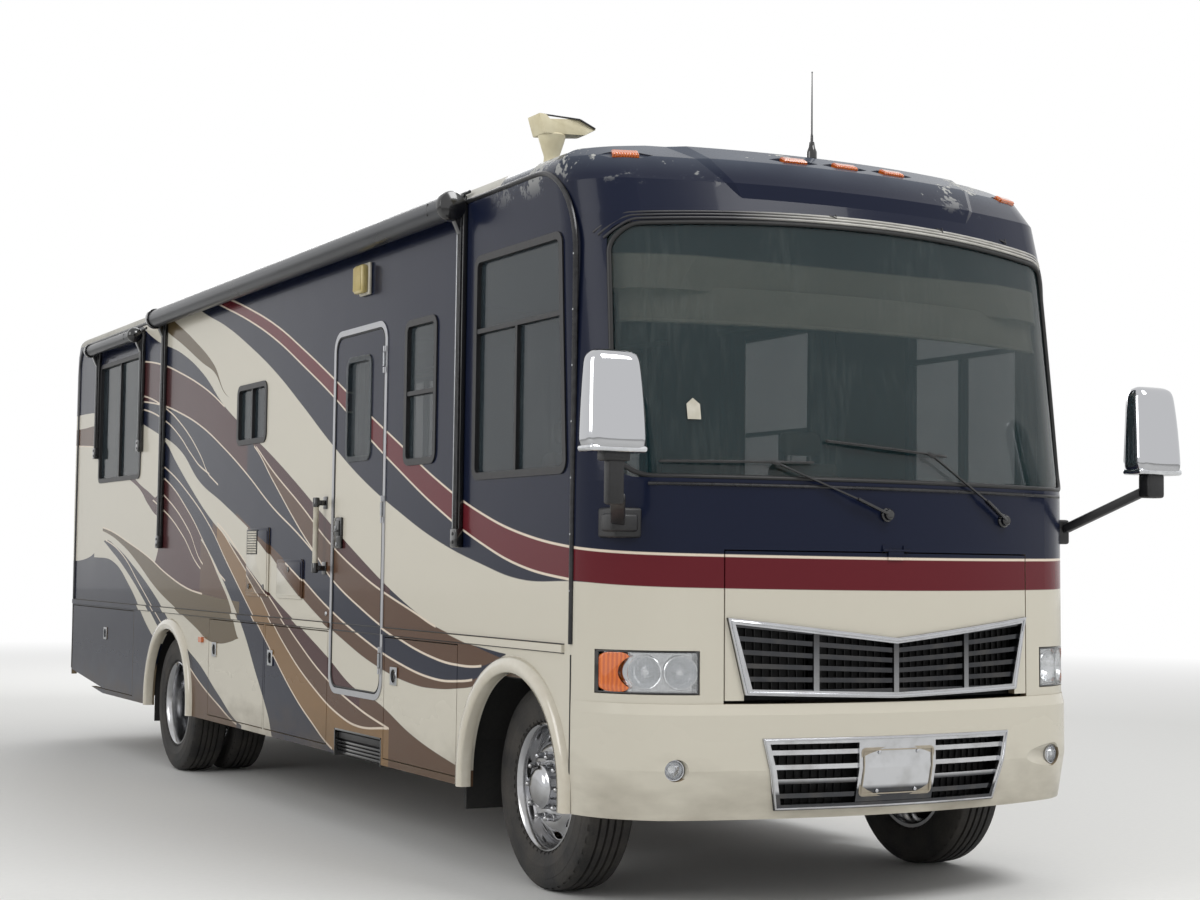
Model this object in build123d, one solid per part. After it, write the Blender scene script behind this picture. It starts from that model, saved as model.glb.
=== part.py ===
from build123d import *
import math
import os

# A gasoline motorhome of about 32 feet on a separate frame, in millimetres, +Z up.
# It faces -Y, its left (driver's) side is +X, and the ground is Z = 0.
# Stations are distances behind the nose, turned into Y by at().

# Overall sizes
BODY_LENGTH = 9700
MIRROR_AHEAD = 125
LADDER_GAP = 90
LADDER_RADIUS = 16
LADDER_REACH = LADDER_GAP + LADDER_RADIUS
WIDTH = 2560
CREST = 3360
BODY_BOTTOM = 415
WALL = 40
FIT = 0.3
DOOR_GAP = 6

# Running gear
WHEELBASE = 5520
FRONT_OVERHANG = 1120
TYRE_RADIUS = 462
TYRE_WIDTH = 250
RIM_RADIUS = 286
RIM_WIDTH = 200
FRONT_TRACK = 2020
DUAL_OUTER_X = 1105
DUAL_SPACING = 290
SPINDLE_RADIUS = 38
KINGPIN_X = 800
KINGPIN_RADIUS = 20
AXLE_BEAM_HEIGHT = 90
AXLE_TUBE_RADIUS = 62
DIFFERENTIAL_RADIUS = 165
DRIVESHAFT_RADIUS = 45
DRIVESHAFT_FRONT_Z = 640
HAND_HOLES = 10
HAND_HOLE_CIRCLE = 222
HAND_HOLE_RADIUS = 17

# Frame rails and floor
RAIL_X = 432
RAIL_HEIGHT = 250
RAIL_FLANGE = 76
RAIL_WEB = 9
RAIL_FRONT = 260
RAIL_REAR = 9450
FLOOR_TOP = 1090
FLOOR_THICKNESS = 140
SPRING_WIDTH = 75
SPRING_THICKNESS = 42
SPRING_HALF_SPAN = 700
CROSSMEMBERS = [300, 2100, 3400, 4900, 6000, 7200, 8500]
CROSSMEMBER_WIDTH = 80
RECEIVER_BORE = 50.8
RECEIVER_TUBE = 76
RECEIVER_Z = 465

# Engine room: the engine sits under a hump in the cab floor
ENGINE_FRONT = 520
ENGINE_STEP = 1330
ENGINE_REAR = 1990
FIREWALL = 570
HUMP_HALF_WIDTH = 400
HUMP_FRONT = 500
HUMP_REAR = 1480
HUMP_TOP = 1340
HUMP_WALL = 30
TANK_FRONT = 7300
TANK_REAR = 8400
TANK_HALF_WIDTH = 360
TANK_BOTTOM = 500
PIPE_X = 572
PIPE_Z = 620
PIPE_RADIUS = 38
PIPE_END = 9560
MUFFLER_RADIUS = 95
MUFFLER_FRONT = 3300
MUFFLER_REAR = 4400
PIPE_HANGERS = [2080, 3250, 5500, 7300, 9200]

# Body panels, by station and height
CAP_SEAM = 560
CAP_ROOF_END = 1350
CAP_SEAM_RADIUS = 400
WALL_TOP = 3200
REAR_SEAM = 9520
RUB_RAIL_Z = 1087
RUB_RAIL_HEIGHT = 33
RUB_RAIL_PROUD = 14
BUMPER_TOP = 893
SIDE_CORNER = 120
CROWN_DROP = 75
FRONT_BOW = 3250
DEPARTURE_STATION = 8470
DEPARTURE_RISE = 120
ARCH_RADIUS = 500
ARCH_CENTRE_Z = 478
FLARE_WIDTH = 57
FLARE_PROUD = 22

# Body sections: height, nose setback, front corner radius, rear setback, rear corner radius
BODY_SECTIONS = [
    (BODY_BOTTOM, 46, 466, 60, 150),
    (620, 0, 466, 40, 150),
    (1815, 12, 466, 0, 150),
    (2965, 216, 330, 0, 150),
    (3120, 262, 330, 20, 150),
    (3240, 372, 350, 60, 190),
    (3315, 520, 380, 130, 230),
    (CREST, 760, 420, 260, 300),
]

# The bumper stands ahead of the cap, with a bevelled top: height, how far ahead
BUMPER_PROUD = 18
BUMPER_BEVEL = 45
BUMPER_SECTIONS = [
    (BODY_BOTTOM, BUMPER_PROUD),
    (620, BUMPER_PROUD),
    (BUMPER_TOP - BUMPER_BEVEL, BUMPER_PROUD),
    (BUMPER_TOP, 4),
]

# The cap's raised brow over the windshield: height, how far ahead of the cap, half width of its
# face, half width at its foot
BROW_PROUD = 12
BROW_FOOT = 10
BROW_SECTIONS = [
    (3035, -4, 600, 640),
    (3120, 14, 640, 700),
    (3240, 24, 700, 770),
    (3315, 40, 735, 830),
    (CREST + 20, 65, 640, 700),
]

# Openings in the front
SHIELD_BOTTOM = 1828
SHIELD_TOP_CENTRE = 2962
SHIELD_TOP_CORNER = 2915
SHIELD_HALF_BOTTOM = 1205
SHIELD_HALF_TOP = 1185
SHIELD_CORNER = 75
SHIELD_RECESS = 10
GLASS = 8
LID_HALF_WIDTH = 802
LID_TOP = 1532
LID_BOTTOM = 907
HOOD_HINGE_STATION = 2
HOOD_HINGE_Z = 1538
HOOD_PLATE = 6
GRILLE_HALF_TOP = 791
GRILLE_HALF_BOTTOM = 716
GRILLE_TOP_OUTER = 1250
GRILLE_TOP_CENTRE = 1165
GRILLE_BOTTOM_OUTER = 930
GRILLE_BOTTOM_CENTRE = 910
GRILLE_RIM = 24
GRILLE_PROUD = 14
GRILLE_DEPTH = 70
SLATS = 6
SLAT_HEIGHT = 20
LOW_GRILLE_HALF_TOP = 646
LOW_GRILLE_HALF_BOTTOM = 576
LOW_GRILLE_TOP = 752
LOW_GRILLE_BOTTOM = 450
LOW_SLATS = 5
PLATE_HALF_WIDTH = 200
LAMP_INNER = 900
LAMP_OUTER = 1244
LAMP_BOTTOM = 930
LAMP_TOP = 1112
LAMP_DEPTH = 90
FOG_X = 998
FOG_Z = 623
FOG_RADIUS = 46
FOG_RECESS = 22
SCOOP_RADIUS = 58
SCOOP_DEPTH = 42
SCOOP_LENGTH = 190

# Amber roof lamps in pointed pockets, three on the brow and two at the corners: x, height, lean
# back from upright, turn to the side
ROOF_LAMPS = [
    (0, 3270, 27, 0),
    (269, 3270, 27, 5),
    (-269, 3270, 27, -5),
    (1048, 3245, 32, 20),
    (-1048, 3245, 32, -20),
]
ROOF_LAMP_WIDTH = 118
ROOF_LAMP_LENGTH = 44
ROOF_LAMP_PROUD = 12
POCKET_DEPTH = 10
POCKET_HALF_WIDTH = 125
POCKET_MARGIN = 6

# Side markers, and the lamps at the rear: inner x, outer x, bottom, top
MARKER_FRONT = 5835
MARKER_REAR = 5905
MARKER_BOTTOM = 915
MARKER_TOP = 950
MARKER_PROUD = 18
TAIL_LAMPS = [
    (940, 1090, 1250, 1650),
    (900, 1000, 3040, 3075),
]
HIGH_LAMP_HALF_WIDTH = 60
TAIL_PROUD = 22

# Wipers in the front view: pivot, arm's end on the blade, outer tip, inner tip
WIPERS = [
    ((-48, 1690), (-600, 1905), (-1060, 1895), (-400, 1905)),
    ((640, 1680), (190, 1965), (-330, 2000), (300, 1955)),
]
WIPER_ARM = 16
WIPER_BLADE = 14
WIPER_CAP_RADIUS = 26

# Side windows: side (-1 right, 1 left), front station at the sill, front station at the top,
# rear station, sill height, top height, transom height or 0, mullion station or 0
WINDOWS = [
    (-1, 612, 682, 1590, 1850, 2910, 2550, 1130),
    (-1, 2030, 2030, 2440, 1950, 2690, 2315, 0),
    (-1, 4630, 4630, 5210, 2180, 2560, 0, 4920),
    (-1, 7520, 7520, 8770, 2050, 2990, 0, 8145),
    (1, 612, 682, 1590, 1850, 2910, 2550, 1130),
    (1, 2250, 2250, 3350, 1950, 2850, 2250, 2800),
    (1, 4200, 4200, 5300, 1950, 2850, 2250, 4750),
    (1, 7520, 7520, 8770, 2050, 2990, 0, 8145),
]
WINDOW_CORNER = 60
WINDOW_FRAME = 34
WINDOW_PROUD = 8
PANE = 6
PANE_RECESS = 14
BAR = 22

# Entry door
DOOR_FRONT = 2680
DOOR_REAR = 3470
DOOR_BOTTOM = 740
DOOR_TOP = 2730
DOOR_CORNER = 110
DOOR_FRAME = 32
DOOR_FRAME_PROUD = 5
DOOR_WINDOW_FRONT = 2900
DOOR_WINDOW_REAR = 3270
DOOR_WINDOW_BOTTOM = 2000
DOOR_WINDOW_TOP = 2570
STEPWELL_DEPTH = 520
DOOR_HINGES = [950, 1735, 2520]
DOOR_HINGE_STATION = DOOR_FRONT + DOOR_FRAME + 3
DOOR_HINGE_PROUD = 10
HINGE_RADIUS = 5
HINGE_HALF = 40
HINGE_END = 30

# Bay doors: node, side, front station, rear station, latch station
BAY_DOORS = [
    ("bay_door_right_1", -1, 1730, 2660, 2520),
    ("bay_door_right_2", -1, 3495, 4580, 4470),
    ("bay_door_right_3", -1, 4602, 5722, 5590),
    ("bay_door_right_4", -1, 7600, 9500, 8420),
    ("bay_door_left_1", 1, 1730, 3455, 3300),
    ("bay_door_left_2", 1, 3480, 5722, 5590),
    ("bay_door_left_3", 1, 7600, 9500, 8420),
]
BAY_TOP = 1076
BAY_BOTTOM = 448
LATCH_Z = 880
LATCH_HALF = 48
LATCH_PROUD = 5
LATCH_CORNER = 14
LATCH_CUP_RADIUS = 34
LATCH_CUP_DEPTH = 22

# Awnings: front station, rear station, roller height, roller radius, arm foot height
AWNINGS = [
    (1670, 6950, 3165, 62, 1540),
    (7440, 8850, 3105, 42, 2250),
]
AWNING_X = 1362
AWNING_ARM = 60
AWNING_ARM_DEPTH = 38

# Hatches in the side wall: front station, rear station, bottom, top
HATCHES = [
    (4530, 4950, 1240, 1660),
    (3920, 4370, 1240, 1470),
]
HATCH_PROUD = 14
PORCH_LIGHT = (2930, 3070, 2890, 3060)
PORCH_LIGHT_PROUD = 60
HANDRAIL_STATION = 3570
HANDRAIL_BOTTOM = 1400
HANDRAIL_TOP = 1810
HANDRAIL_RADIUS = 16
HANDRAIL_OUT = 58

# Roof units: height above the crest, width, length and corner radius of each ring of a cover
AC_STATIONS = [3800, 7800]
AC_SECTIONS = [
    (-60, 700, 1000, 90),
    (130, 700, 1000, 90),
    (235, 620, 880, 90),
    (290, 450, 640, 80),
]
VENTS = [(0, 2700), (0, 5600), (-500, 4800), (0, 6600)]
VENT_SECTIONS = [
    (-150, 400, 400, 30),
    (55, 400, 400, 30),
    (90, 330, 330, 30),
]
ANTENNA_X = -1090
ANTENNA_STATION = 1090
ANTENNA_Z = 3450
ANTENNA_THICKNESS = 50
WHIP_X = -105
WHIP_STATION = 510
WHIP_FOOT = 3400
WHIP_TOP = 3730
LADDER_RAILS = (480, 800)
LADDER_BOTTOM = 1150
LADDER_TOP = 3150
LADDER_RUNGS = 7
LADDER_PITCH = 300
LADDER_FIRST_RUNG = 1230
LADDER_FEET = [1250, 2200, 3050]

# Cab: dashboard, steering wheel, seats and the cabinet over the windshield
DASH_BOTTOM = 1560
DASH_TOP = 1770
DASH_REAR = 640
STEERING_X = 640
STEERING_STATION = 860
STEERING_Z = 1640
STEERING_RADIUS = 225
SEAT_X = 660
SEAT_FRONT = 1090
SEAT_REAR = 1610
SEAT_HALF_WIDTH = 260
SEAT_BOTTOM = 1390
SEAT_TOP = 1530
SEAT_BACK_TOP = 2190
SEAT_LEAN = 8
ARMREST_Z = 1640
OVERHEAD_FRONT = 330
OVERHEAD_BOTTOM = 2640
OVERHEAD_TOP = 3060

# Cabin: partition, then furniture as inner x, outer x, front station, rear station, top
PARTITION_STATION = 5600
PARTITION_THICKNESS = 40
DOORWAY_HALF_WIDTH = 280
DOORWAY_TOP = 3000
SOFA = (500, 1240, 2300, 4100, 1520)
SOFA_BACK_X = 1060
SOFA_BACK_TOP = 1930
GALLEY = (-640, -1240, 3800, 5300, 2000)
DINETTE = (460, 1240, 4300, 5400, 1840)
BED = (-700, 700, 7300, 9200, 1720)

# Mirrors
MIRROR_X = 1420
MIRROR_WIDTH = 270
MIRROR_DEPTH = 150
MIRROR_BOTTOM = 1903
MIRROR_TOP = 2317

OVERALL_LENGTH = BODY_LENGTH + MIRROR_AHEAD + LADDER_REACH
NOSE_Y = MIRROR_AHEAD - OVERALL_LENGTH / 2
HALF_WIDTH = WIDTH / 2
RAIL_TOP = FLOOR_TOP - FLOOR_THICKNESS
RAIL_BOTTOM = RAIL_TOP - RAIL_HEIGHT
FRONT_TYRE_X = FRONT_TRACK / 2
INNER_WALL_X = HALF_WIDTH - WALL


def at(station):
    return NOSE_Y + station


FRONT_AXLE_Y = at(FRONT_OVERHANG)
REAR_AXLE_Y = at(FRONT_OVERHANG + WHEELBASE)


def block(x0, x1, y0, y1, z0, z1):
    """A box between two corners."""
    middle = Pos((x0 + x1) / 2, (y0 + y1) / 2, (z0 + z1) / 2)
    return middle * Box(abs(x1 - x0), abs(y1 - y0), abs(z1 - z0))


def rod(start, end, radius):
    """A round bar from one point to another."""
    along = Vector(*end) - Vector(*start)
    plane = Plane(origin=start, z_dir=along)
    return extrude(plane * Circle(radius), along.length)


def side_prism(outline, x0, x1):
    """An outline in Y and Z, drawn at x0 and pulled to x1."""
    return extrude(Plane.YZ.offset(min(x0, x1)) * outline, abs(x1 - x0))


def front_prism(outline, y0, y1):
    """An outline in X and Z, pulled from y0 to y1."""
    return extrude(Plane.XZ.offset(-max(y0, y1)) * outline, abs(y1 - y0))


def rounded(points, radius):
    """A closed polygon with every corner rounded."""
    face = make_face(Polyline(*points, close=True))
    return fillet(face.vertices(), radius) if radius else face


def joined(solids):
    """Several solids fused into one."""
    total = solids[0]
    for solid in solids[1:]:
        total = total + solid
    return total


def both_sides(solid):
    """A solid and its mirror image across the centre plane."""
    return solid + mirror(solid, Plane.YZ)


def corner_points(half, front_y, bow, radius):
    """The bow's end, the corner arc's middle and its end, for one front corner."""
    centre_x = half - radius
    centre_y = front_y + bow - math.sqrt((bow - radius) ** 2 - centre_x**2)
    reach = bow / (bow - radius)
    tangent = (centre_x * reach, front_y + bow + (centre_y - front_y - bow) * reach)
    start = math.atan2(tangent[1] - centre_y, tangent[0] - centre_x)
    middle = (centre_x + radius * math.cos(start / 2), centre_y + radius * math.sin(start / 2))
    return tangent, middle, (half, centre_y)


def body_section(height, setback, front_radius, rear_setback, rear_radius, inset):
    """One plan outline of the body: bowed nose, round corners, straight sides and rear."""
    half = HALF_WIDTH - inset
    front_y = NOSE_Y + setback + inset
    rear_y = NOSE_Y + BODY_LENGTH - rear_setback - inset
    tangent, middle, side = corner_points(half, front_y, FRONT_BOW - inset, front_radius - inset)
    radius = rear_radius - inset if rear_radius > inset + 20 else 20
    diagonal = radius * (1 - math.sqrt(0.5))
    edges = [
        ThreePointArc((-tangent[0], tangent[1]), (0, front_y), tangent),
        ThreePointArc(tangent, middle, side),
        Line(side, (half, rear_y - radius)),
        ThreePointArc((half, rear_y - radius), (half - diagonal, rear_y - diagonal), (half - radius, rear_y)),
        Line((half - radius, rear_y), (radius - half, rear_y)),
        ThreePointArc((radius - half, rear_y), (diagonal - half, rear_y - diagonal), (-half, rear_y - radius)),
        Line((-half, rear_y - radius), (-side[0], side[1])),
        ThreePointArc((-side[0], side[1]), (-middle[0], middle[1]), (-tangent[0], tangent[1])),
    ]
    return Pos(0, 0, height) * make_face(edges)


def crown_prism(inset):
    """The body's front view: straight sides, round shoulders and a crowned roof."""
    half = HALF_WIDTH - inset
    crest = CREST - inset
    shoulder_z = crest - CROWN_DROP - SIDE_CORNER
    corner = SIDE_CORNER * (1 - math.sqrt(0.5))
    edges = [
        Line((-half, 0), (half, 0)),
        Line((half, 0), (half, shoulder_z)),
        ThreePointArc(
            (half, shoulder_z),
            (half - corner, shoulder_z + SIDE_CORNER - corner),
            (half - SIDE_CORNER, shoulder_z + SIDE_CORNER),
        ),
        ThreePointArc(
            (half - SIDE_CORNER, shoulder_z + SIDE_CORNER),
            (0, crest),
            (SIDE_CORNER - half, shoulder_z + SIDE_CORNER),
        ),
        ThreePointArc(
            (SIDE_CORNER - half, shoulder_z + SIDE_CORNER),
            (corner - half, shoulder_z + SIDE_CORNER - corner),
            (-half, shoulder_z),
        ),
        Line((-half, shoulder_z), (-half, 0)),
    ]
    return front_prism(make_face(edges), NOSE_Y - 200, NOSE_Y + BODY_LENGTH + 200)


BODY_CACHE = {}
BUMPER_CACHE = {}


def body_solid(inset):
    """The whole body's outside as one solid, moved in by inset."""
    if inset not in BODY_CACHE:
        sections = [body_section(*row, inset) for row in BODY_SECTIONS]
        BODY_CACHE[inset] = loft(sections, ruled=True) & crown_prism(inset)
    return BODY_CACHE[inset]


def body_row(height):
    """The body's section row at any height, read between the table's rows or past the last."""
    pairs = list(zip(BODY_SECTIONS, BODY_SECTIONS[1:]))
    low, high = next((pair for pair in pairs if height <= pair[1][0]), pairs[-1])
    share = (height - low[0]) / (high[0] - low[0])
    return [first + share * (second - first) for first, second in zip(low, high)]


def bow_depth(x):
    """How far the bowed nose falls back at a distance from the middle."""
    return FRONT_BOW - math.sqrt(FRONT_BOW**2 - x**2)


def front_station(x, height):
    """How far behind the nose the body's front lies, at a place in the front view."""
    setback, radius = body_row(height)[1:3]
    tangent, middle, side = corner_points(HALF_WIDTH, setback, FRONT_BOW, radius)
    if abs(x) <= tangent[0]:
        return setback + bow_depth(x)
    return side[1] - math.sqrt(radius**2 - (abs(x) - HALF_WIDTH + radius) ** 2)


def brow_ahead(height):
    """How far the brow stands ahead of the cap at a height."""
    low, high = next(pair for pair in zip(BROW_SECTIONS, BROW_SECTIONS[1:]) if height <= pair[1][0])
    return low[1] + (high[1] - low[1]) * (height - low[0]) / (high[0] - low[0])


def bumper_solid(inset):
    """The body's outside as far up as the bumper, which stands ahead of it."""
    if inset not in BUMPER_CACHE:
        sections = []
        for height, ahead in BUMPER_SECTIONS:
            row = body_row(height)
            row[1] -= ahead
            sections.append(body_section(*row, inset))
        BUMPER_CACHE[inset] = loft(sections, ruled=True)
    return BUMPER_CACHE[inset]


def brow_solid():
    """The raised middle of the cap above the windshield, with sloping flanks."""
    rear = at(CAP_ROOF_END)
    sections = []
    for height, ahead, face_half, foot_half in BROW_SECTIONS:
        setback = body_row(height)[1]
        front = at(setback - ahead)
        face = front + bow_depth(face_half)
        foot = at(setback + BROW_FOOT) + bow_depth(foot_half)
        edges = [
            ThreePointArc((-face_half, face), (0, front), (face_half, face)),
            Line((face_half, face), (foot_half, foot)),
            Line((foot_half, foot), (foot_half, rear)),
            Line((foot_half, rear), (-foot_half, rear)),
            Line((-foot_half, rear), (-foot_half, foot)),
            Line((-foot_half, foot), (-face_half, face)),
        ]
        sections.append(Pos(0, 0, height) * make_face(edges))
    return (loft(sections, ruled=True) & crown_prism(-BROW_PROUD)) - body_solid(WALL)


def skin(outer_inset, inner_inset, tool, solid=body_solid):
    """The layer between two insets of a solid, inside a tool."""
    return (solid(outer_inset) & tool) - solid(inner_inset)


def wall_of(outside):
    """The wall that is left of an outside when the room in it is cut out, open below."""
    cavity = body_solid(WALL) + block(
        -INNER_WALL_X, INNER_WALL_X, at(CAP_SEAM), at(REAR_SEAM), 0, BODY_BOTTOM + 10
    )
    floor_hole = extrude(body_section(*BODY_SECTIONS[0], WALL), 10, both=True)
    rear = at(BODY_LENGTH)
    departure = make_face(
        Polyline(
            (at(DEPARTURE_STATION), 0),
            (at(DEPARTURE_STATION), BODY_BOTTOM),
            (rear + 100, BODY_BOTTOM + DEPARTURE_RISE),
            (rear + 100, 0),
            close=True,
        )
    )
    wedge = side_prism(departure, -HALF_WIDTH - 50, HALF_WIDTH + 50)
    return outside - cavity - floor_hole - wedge


def front_region():
    """Everything ahead of the cap's seam, which turns back over the roof."""
    seam = at(CAP_SEAM)
    roof = at(CAP_ROOF_END)
    far = NOSE_Y - 300
    start = WALL_TOP - CAP_SEAM_RADIUS
    diagonal = CAP_SEAM_RADIUS * (1 - math.sqrt(0.5))
    edges = [
        Line((far, 0), (seam, 0)),
        Line((seam, 0), (seam, start)),
        ThreePointArc((seam, start), (seam + diagonal, WALL_TOP - diagonal), (seam + CAP_SEAM_RADIUS, WALL_TOP)),
        Line((seam + CAP_SEAM_RADIUS, WALL_TOP), (roof, WALL_TOP)),
        Line((roof, WALL_TOP), (roof, CREST + 100)),
        Line((roof, CREST + 100), (far, CREST + 100)),
        Line((far, CREST + 100), (far, 0)),
    ]
    return side_prism(make_face(edges), -HALF_WIDTH - 50, HALF_WIDTH + 50)


def lying(z0, z1):
    """Everything between two heights."""
    return block(-1500, 1500, NOSE_Y - 400, NOSE_Y + BODY_LENGTH + 400, z0, z1)


def shield_outline(margin):
    """The windshield's outline in the front view, moved in by margin."""
    bottom = SHIELD_HALF_BOTTOM - margin
    top = SHIELD_HALF_TOP - margin
    edges = [
        Line((-bottom, SHIELD_BOTTOM + margin), (bottom, SHIELD_BOTTOM + margin)),
        Line((bottom, SHIELD_BOTTOM + margin), (top, SHIELD_TOP_CORNER - margin)),
        ThreePointArc(
            (top, SHIELD_TOP_CORNER - margin), (0, SHIELD_TOP_CENTRE - margin), (-top, SHIELD_TOP_CORNER - margin)
        ),
        Line((-top, SHIELD_TOP_CORNER - margin), (-bottom, SHIELD_BOTTOM + margin)),
    ]
    face = make_face(edges)
    return fillet(face.vertices(), SHIELD_CORNER - margin)


def grille_outline(margin):
    """The upper grille's V outline in the front view, moved in by margin."""
    slope = (GRILLE_TOP_OUTER - GRILLE_TOP_CENTRE) / GRILLE_HALF_TOP
    half_top = GRILLE_HALF_TOP - 1.3 * margin
    half_bottom = GRILLE_HALF_BOTTOM - 1.2 * margin
    points = [
        (0, GRILLE_TOP_CENTRE - margin),
        (half_top, GRILLE_TOP_CENTRE - margin + slope * half_top),
        (half_bottom, GRILLE_BOTTOM_OUTER + margin),
        (0, GRILLE_BOTTOM_CENTRE + margin),
        (-half_bottom, GRILLE_BOTTOM_OUTER + margin),
        (-half_top, GRILLE_TOP_CENTRE - margin + slope * half_top),
    ]
    return make_face(Polyline(*points, close=True))


def low_grille_outline(margin):
    """The lower grille's outline in the front view, moved in by margin."""
    top = LOW_GRILLE_HALF_TOP - 1.3 * margin
    bottom = LOW_GRILLE_HALF_BOTTOM - 1.1 * margin
    points = [
        (-bottom, LOW_GRILLE_BOTTOM + margin),
        (bottom, LOW_GRILLE_BOTTOM + margin),
        (top, LOW_GRILLE_TOP - margin),
        (-top, LOW_GRILLE_TOP - margin),
    ]
    return make_face(Polyline(*points, close=True))


FRONT_Y0 = NOSE_Y - 200
FRONT_Y1 = at(CAP_SEAM)


def lid_block(margin):
    """The hood lid's rectangle in the front view, moved in by margin."""
    half = LID_HALF_WIDTH - margin
    bottom = LID_BOTTOM if margin else BUMPER_TOP
    return block(-half, half, FRONT_Y0, at(CAP_SEAM - 160), bottom, LID_TOP - margin)


def hood_barrel(x0, x1):
    """A stretch of the hood hinge's barrel."""
    y = at(HOOD_HINGE_STATION)
    return rod((x0, y, HOOD_HINGE_Z), (x1, y, HOOD_HINGE_Z), HINGE_RADIUS)


def lamp_block(side):
    """The headlamp's rectangle in the front view."""
    return block(side * LAMP_INNER, side * LAMP_OUTER, FRONT_Y0, at(CAP_SEAM - 40), LAMP_BOTTOM, LAMP_TOP)


def fog_bore(radius):
    """The two fog lamps' round bores."""
    bore = rod((FOG_X, FRONT_Y0, FOG_Z), (FOG_X, at(CAP_SEAM - 60), FOG_Z), radius)
    return both_sides(bore)


def fog_scoop():
    """The oval hollow round each fog lamp, deepest at the lamp and running out towards the middle."""
    start_x = FOG_X - SCOOP_LENGTH
    deep = (FOG_X, at(bow_depth(FOG_X) - BUMPER_PROUD - SCOOP_RADIUS + SCOOP_DEPTH), FOG_Z)
    run_out = (start_x, at(bow_depth(start_x) - BUMPER_PROUD - SCOOP_RADIUS), FOG_Z)
    return both_sides(rod(deep, run_out, SCOOP_RADIUS) + Pos(*deep) * Sphere(SCOOP_RADIUS))


def roof_lamp_place(row):
    """The place of a roof lamp on the cap or its brow, with +Z out of the surface."""
    x, height, lean, turn = row
    station = front_station(x, height)
    if abs(x) < BROW_SECTIONS[0][2]:
        station -= brow_ahead(height)
    return Pos(x, at(station), height) * Rot(0, 0, turn) * Rot(lean, 0, 0)


def roof_lamp_pocket(row):
    """The pointed pocket that a roof lamp sits in."""
    half_width = ROOF_LAMP_WIDTH / 2 + POCKET_MARGIN
    half_length = ROOF_LAMP_LENGTH / 2 + POCKET_MARGIN
    outline = Polyline(
        (-POCKET_HALF_WIDTH, 0), (-half_width, -half_length), (half_width, -half_length),
        (POCKET_HALF_WIDTH, 0), (half_width, half_length), (-half_width, half_length), close=True,
    )
    pocket = extrude(make_face(outline), POCKET_DEPTH + 40)
    return roof_lamp_place(row) * Pos(0, 0, -POCKET_DEPTH) * pocket


def window_outline(row, margin):
    """A side window's outline in Y and Z, moved in by margin."""
    side, front_sill, front_top, rear, sill, top, transom, mullion = row
    points = [
        (at(front_sill) + margin, sill + margin),
        (at(rear) - margin, sill + margin),
        (at(rear) - margin, top - margin),
        (at(front_top) + margin, top - margin),
    ]
    return rounded(points, WINDOW_CORNER - margin)


def across(side, outline, inner_x, outer_x):
    """An outline in Y and Z pulled between two distances from the centre plane, on one side."""
    return side_prism(outline, side * inner_x, side * outer_x)


def door_outline(margin):
    """The entry door's outline in Y and Z, moved in by margin."""
    points = [
        (at(DOOR_FRONT) + margin, DOOR_BOTTOM + margin),
        (at(DOOR_REAR) - margin, DOOR_BOTTOM + margin),
        (at(DOOR_REAR) - margin, DOOR_TOP - margin),
        (at(DOOR_FRONT) + margin, DOOR_TOP - margin),
    ]
    return rounded(points, DOOR_CORNER - margin)


def door_hinge(height, half, direction):
    """One barrel of the door's hinge, with its plate towards the door (1) or the frame (-1)."""
    y = at(DOOR_HINGE_STATION)
    x = -HALF_WIDTH - DOOR_HINGE_PROUD
    barrel = Pos(x, y, height) * Cylinder(HINGE_RADIUS, 2 * half)
    outer = x + 3 if direction > 0 else x + 1
    seat = -HALF_WIDTH if direction > 0 else -HALF_WIDTH - DOOR_FRAME_PROUD
    return barrel + block(outer, seat, y, y + direction * 26, height - half, height + half)


def door_window_outline(margin):
    """The entry door window's outline in Y and Z, moved in by margin."""
    points = [
        (at(DOOR_WINDOW_FRONT) + margin, DOOR_WINDOW_BOTTOM + margin),
        (at(DOOR_WINDOW_REAR) - margin, DOOR_WINDOW_BOTTOM + margin),
        (at(DOOR_WINDOW_REAR) - margin, DOOR_WINDOW_TOP - margin),
        (at(DOOR_WINDOW_FRONT) + margin, DOOR_WINDOW_TOP - margin),
    ]
    return rounded(points, WINDOW_CORNER - margin)


def arch_bore(axle_y, radius):
    """A wheel arch's round opening with straight sides below its centre."""
    return side_prism(
        Pos(axle_y, ARCH_CENTRE_Z) * Circle(radius)
        + Pos(axle_y, ARCH_CENTRE_Z / 2) * Rectangle(2 * radius, ARCH_CENTRE_Z),
        -HALF_WIDTH - 60,
        HALF_WIDTH + 60,
    )


def bay_block(row, margin):
    """A bay door's block through the skirt, moved in by margin."""
    name, side, front, rear, latch = row
    outer = HALF_WIDTH + 30
    inner = INNER_WALL_X - 20
    return block(
        side * inner, side * outer, at(front) + margin, at(rear) - margin, BAY_BOTTOM + margin, BAY_TOP - margin
    )


parts = {}


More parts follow.
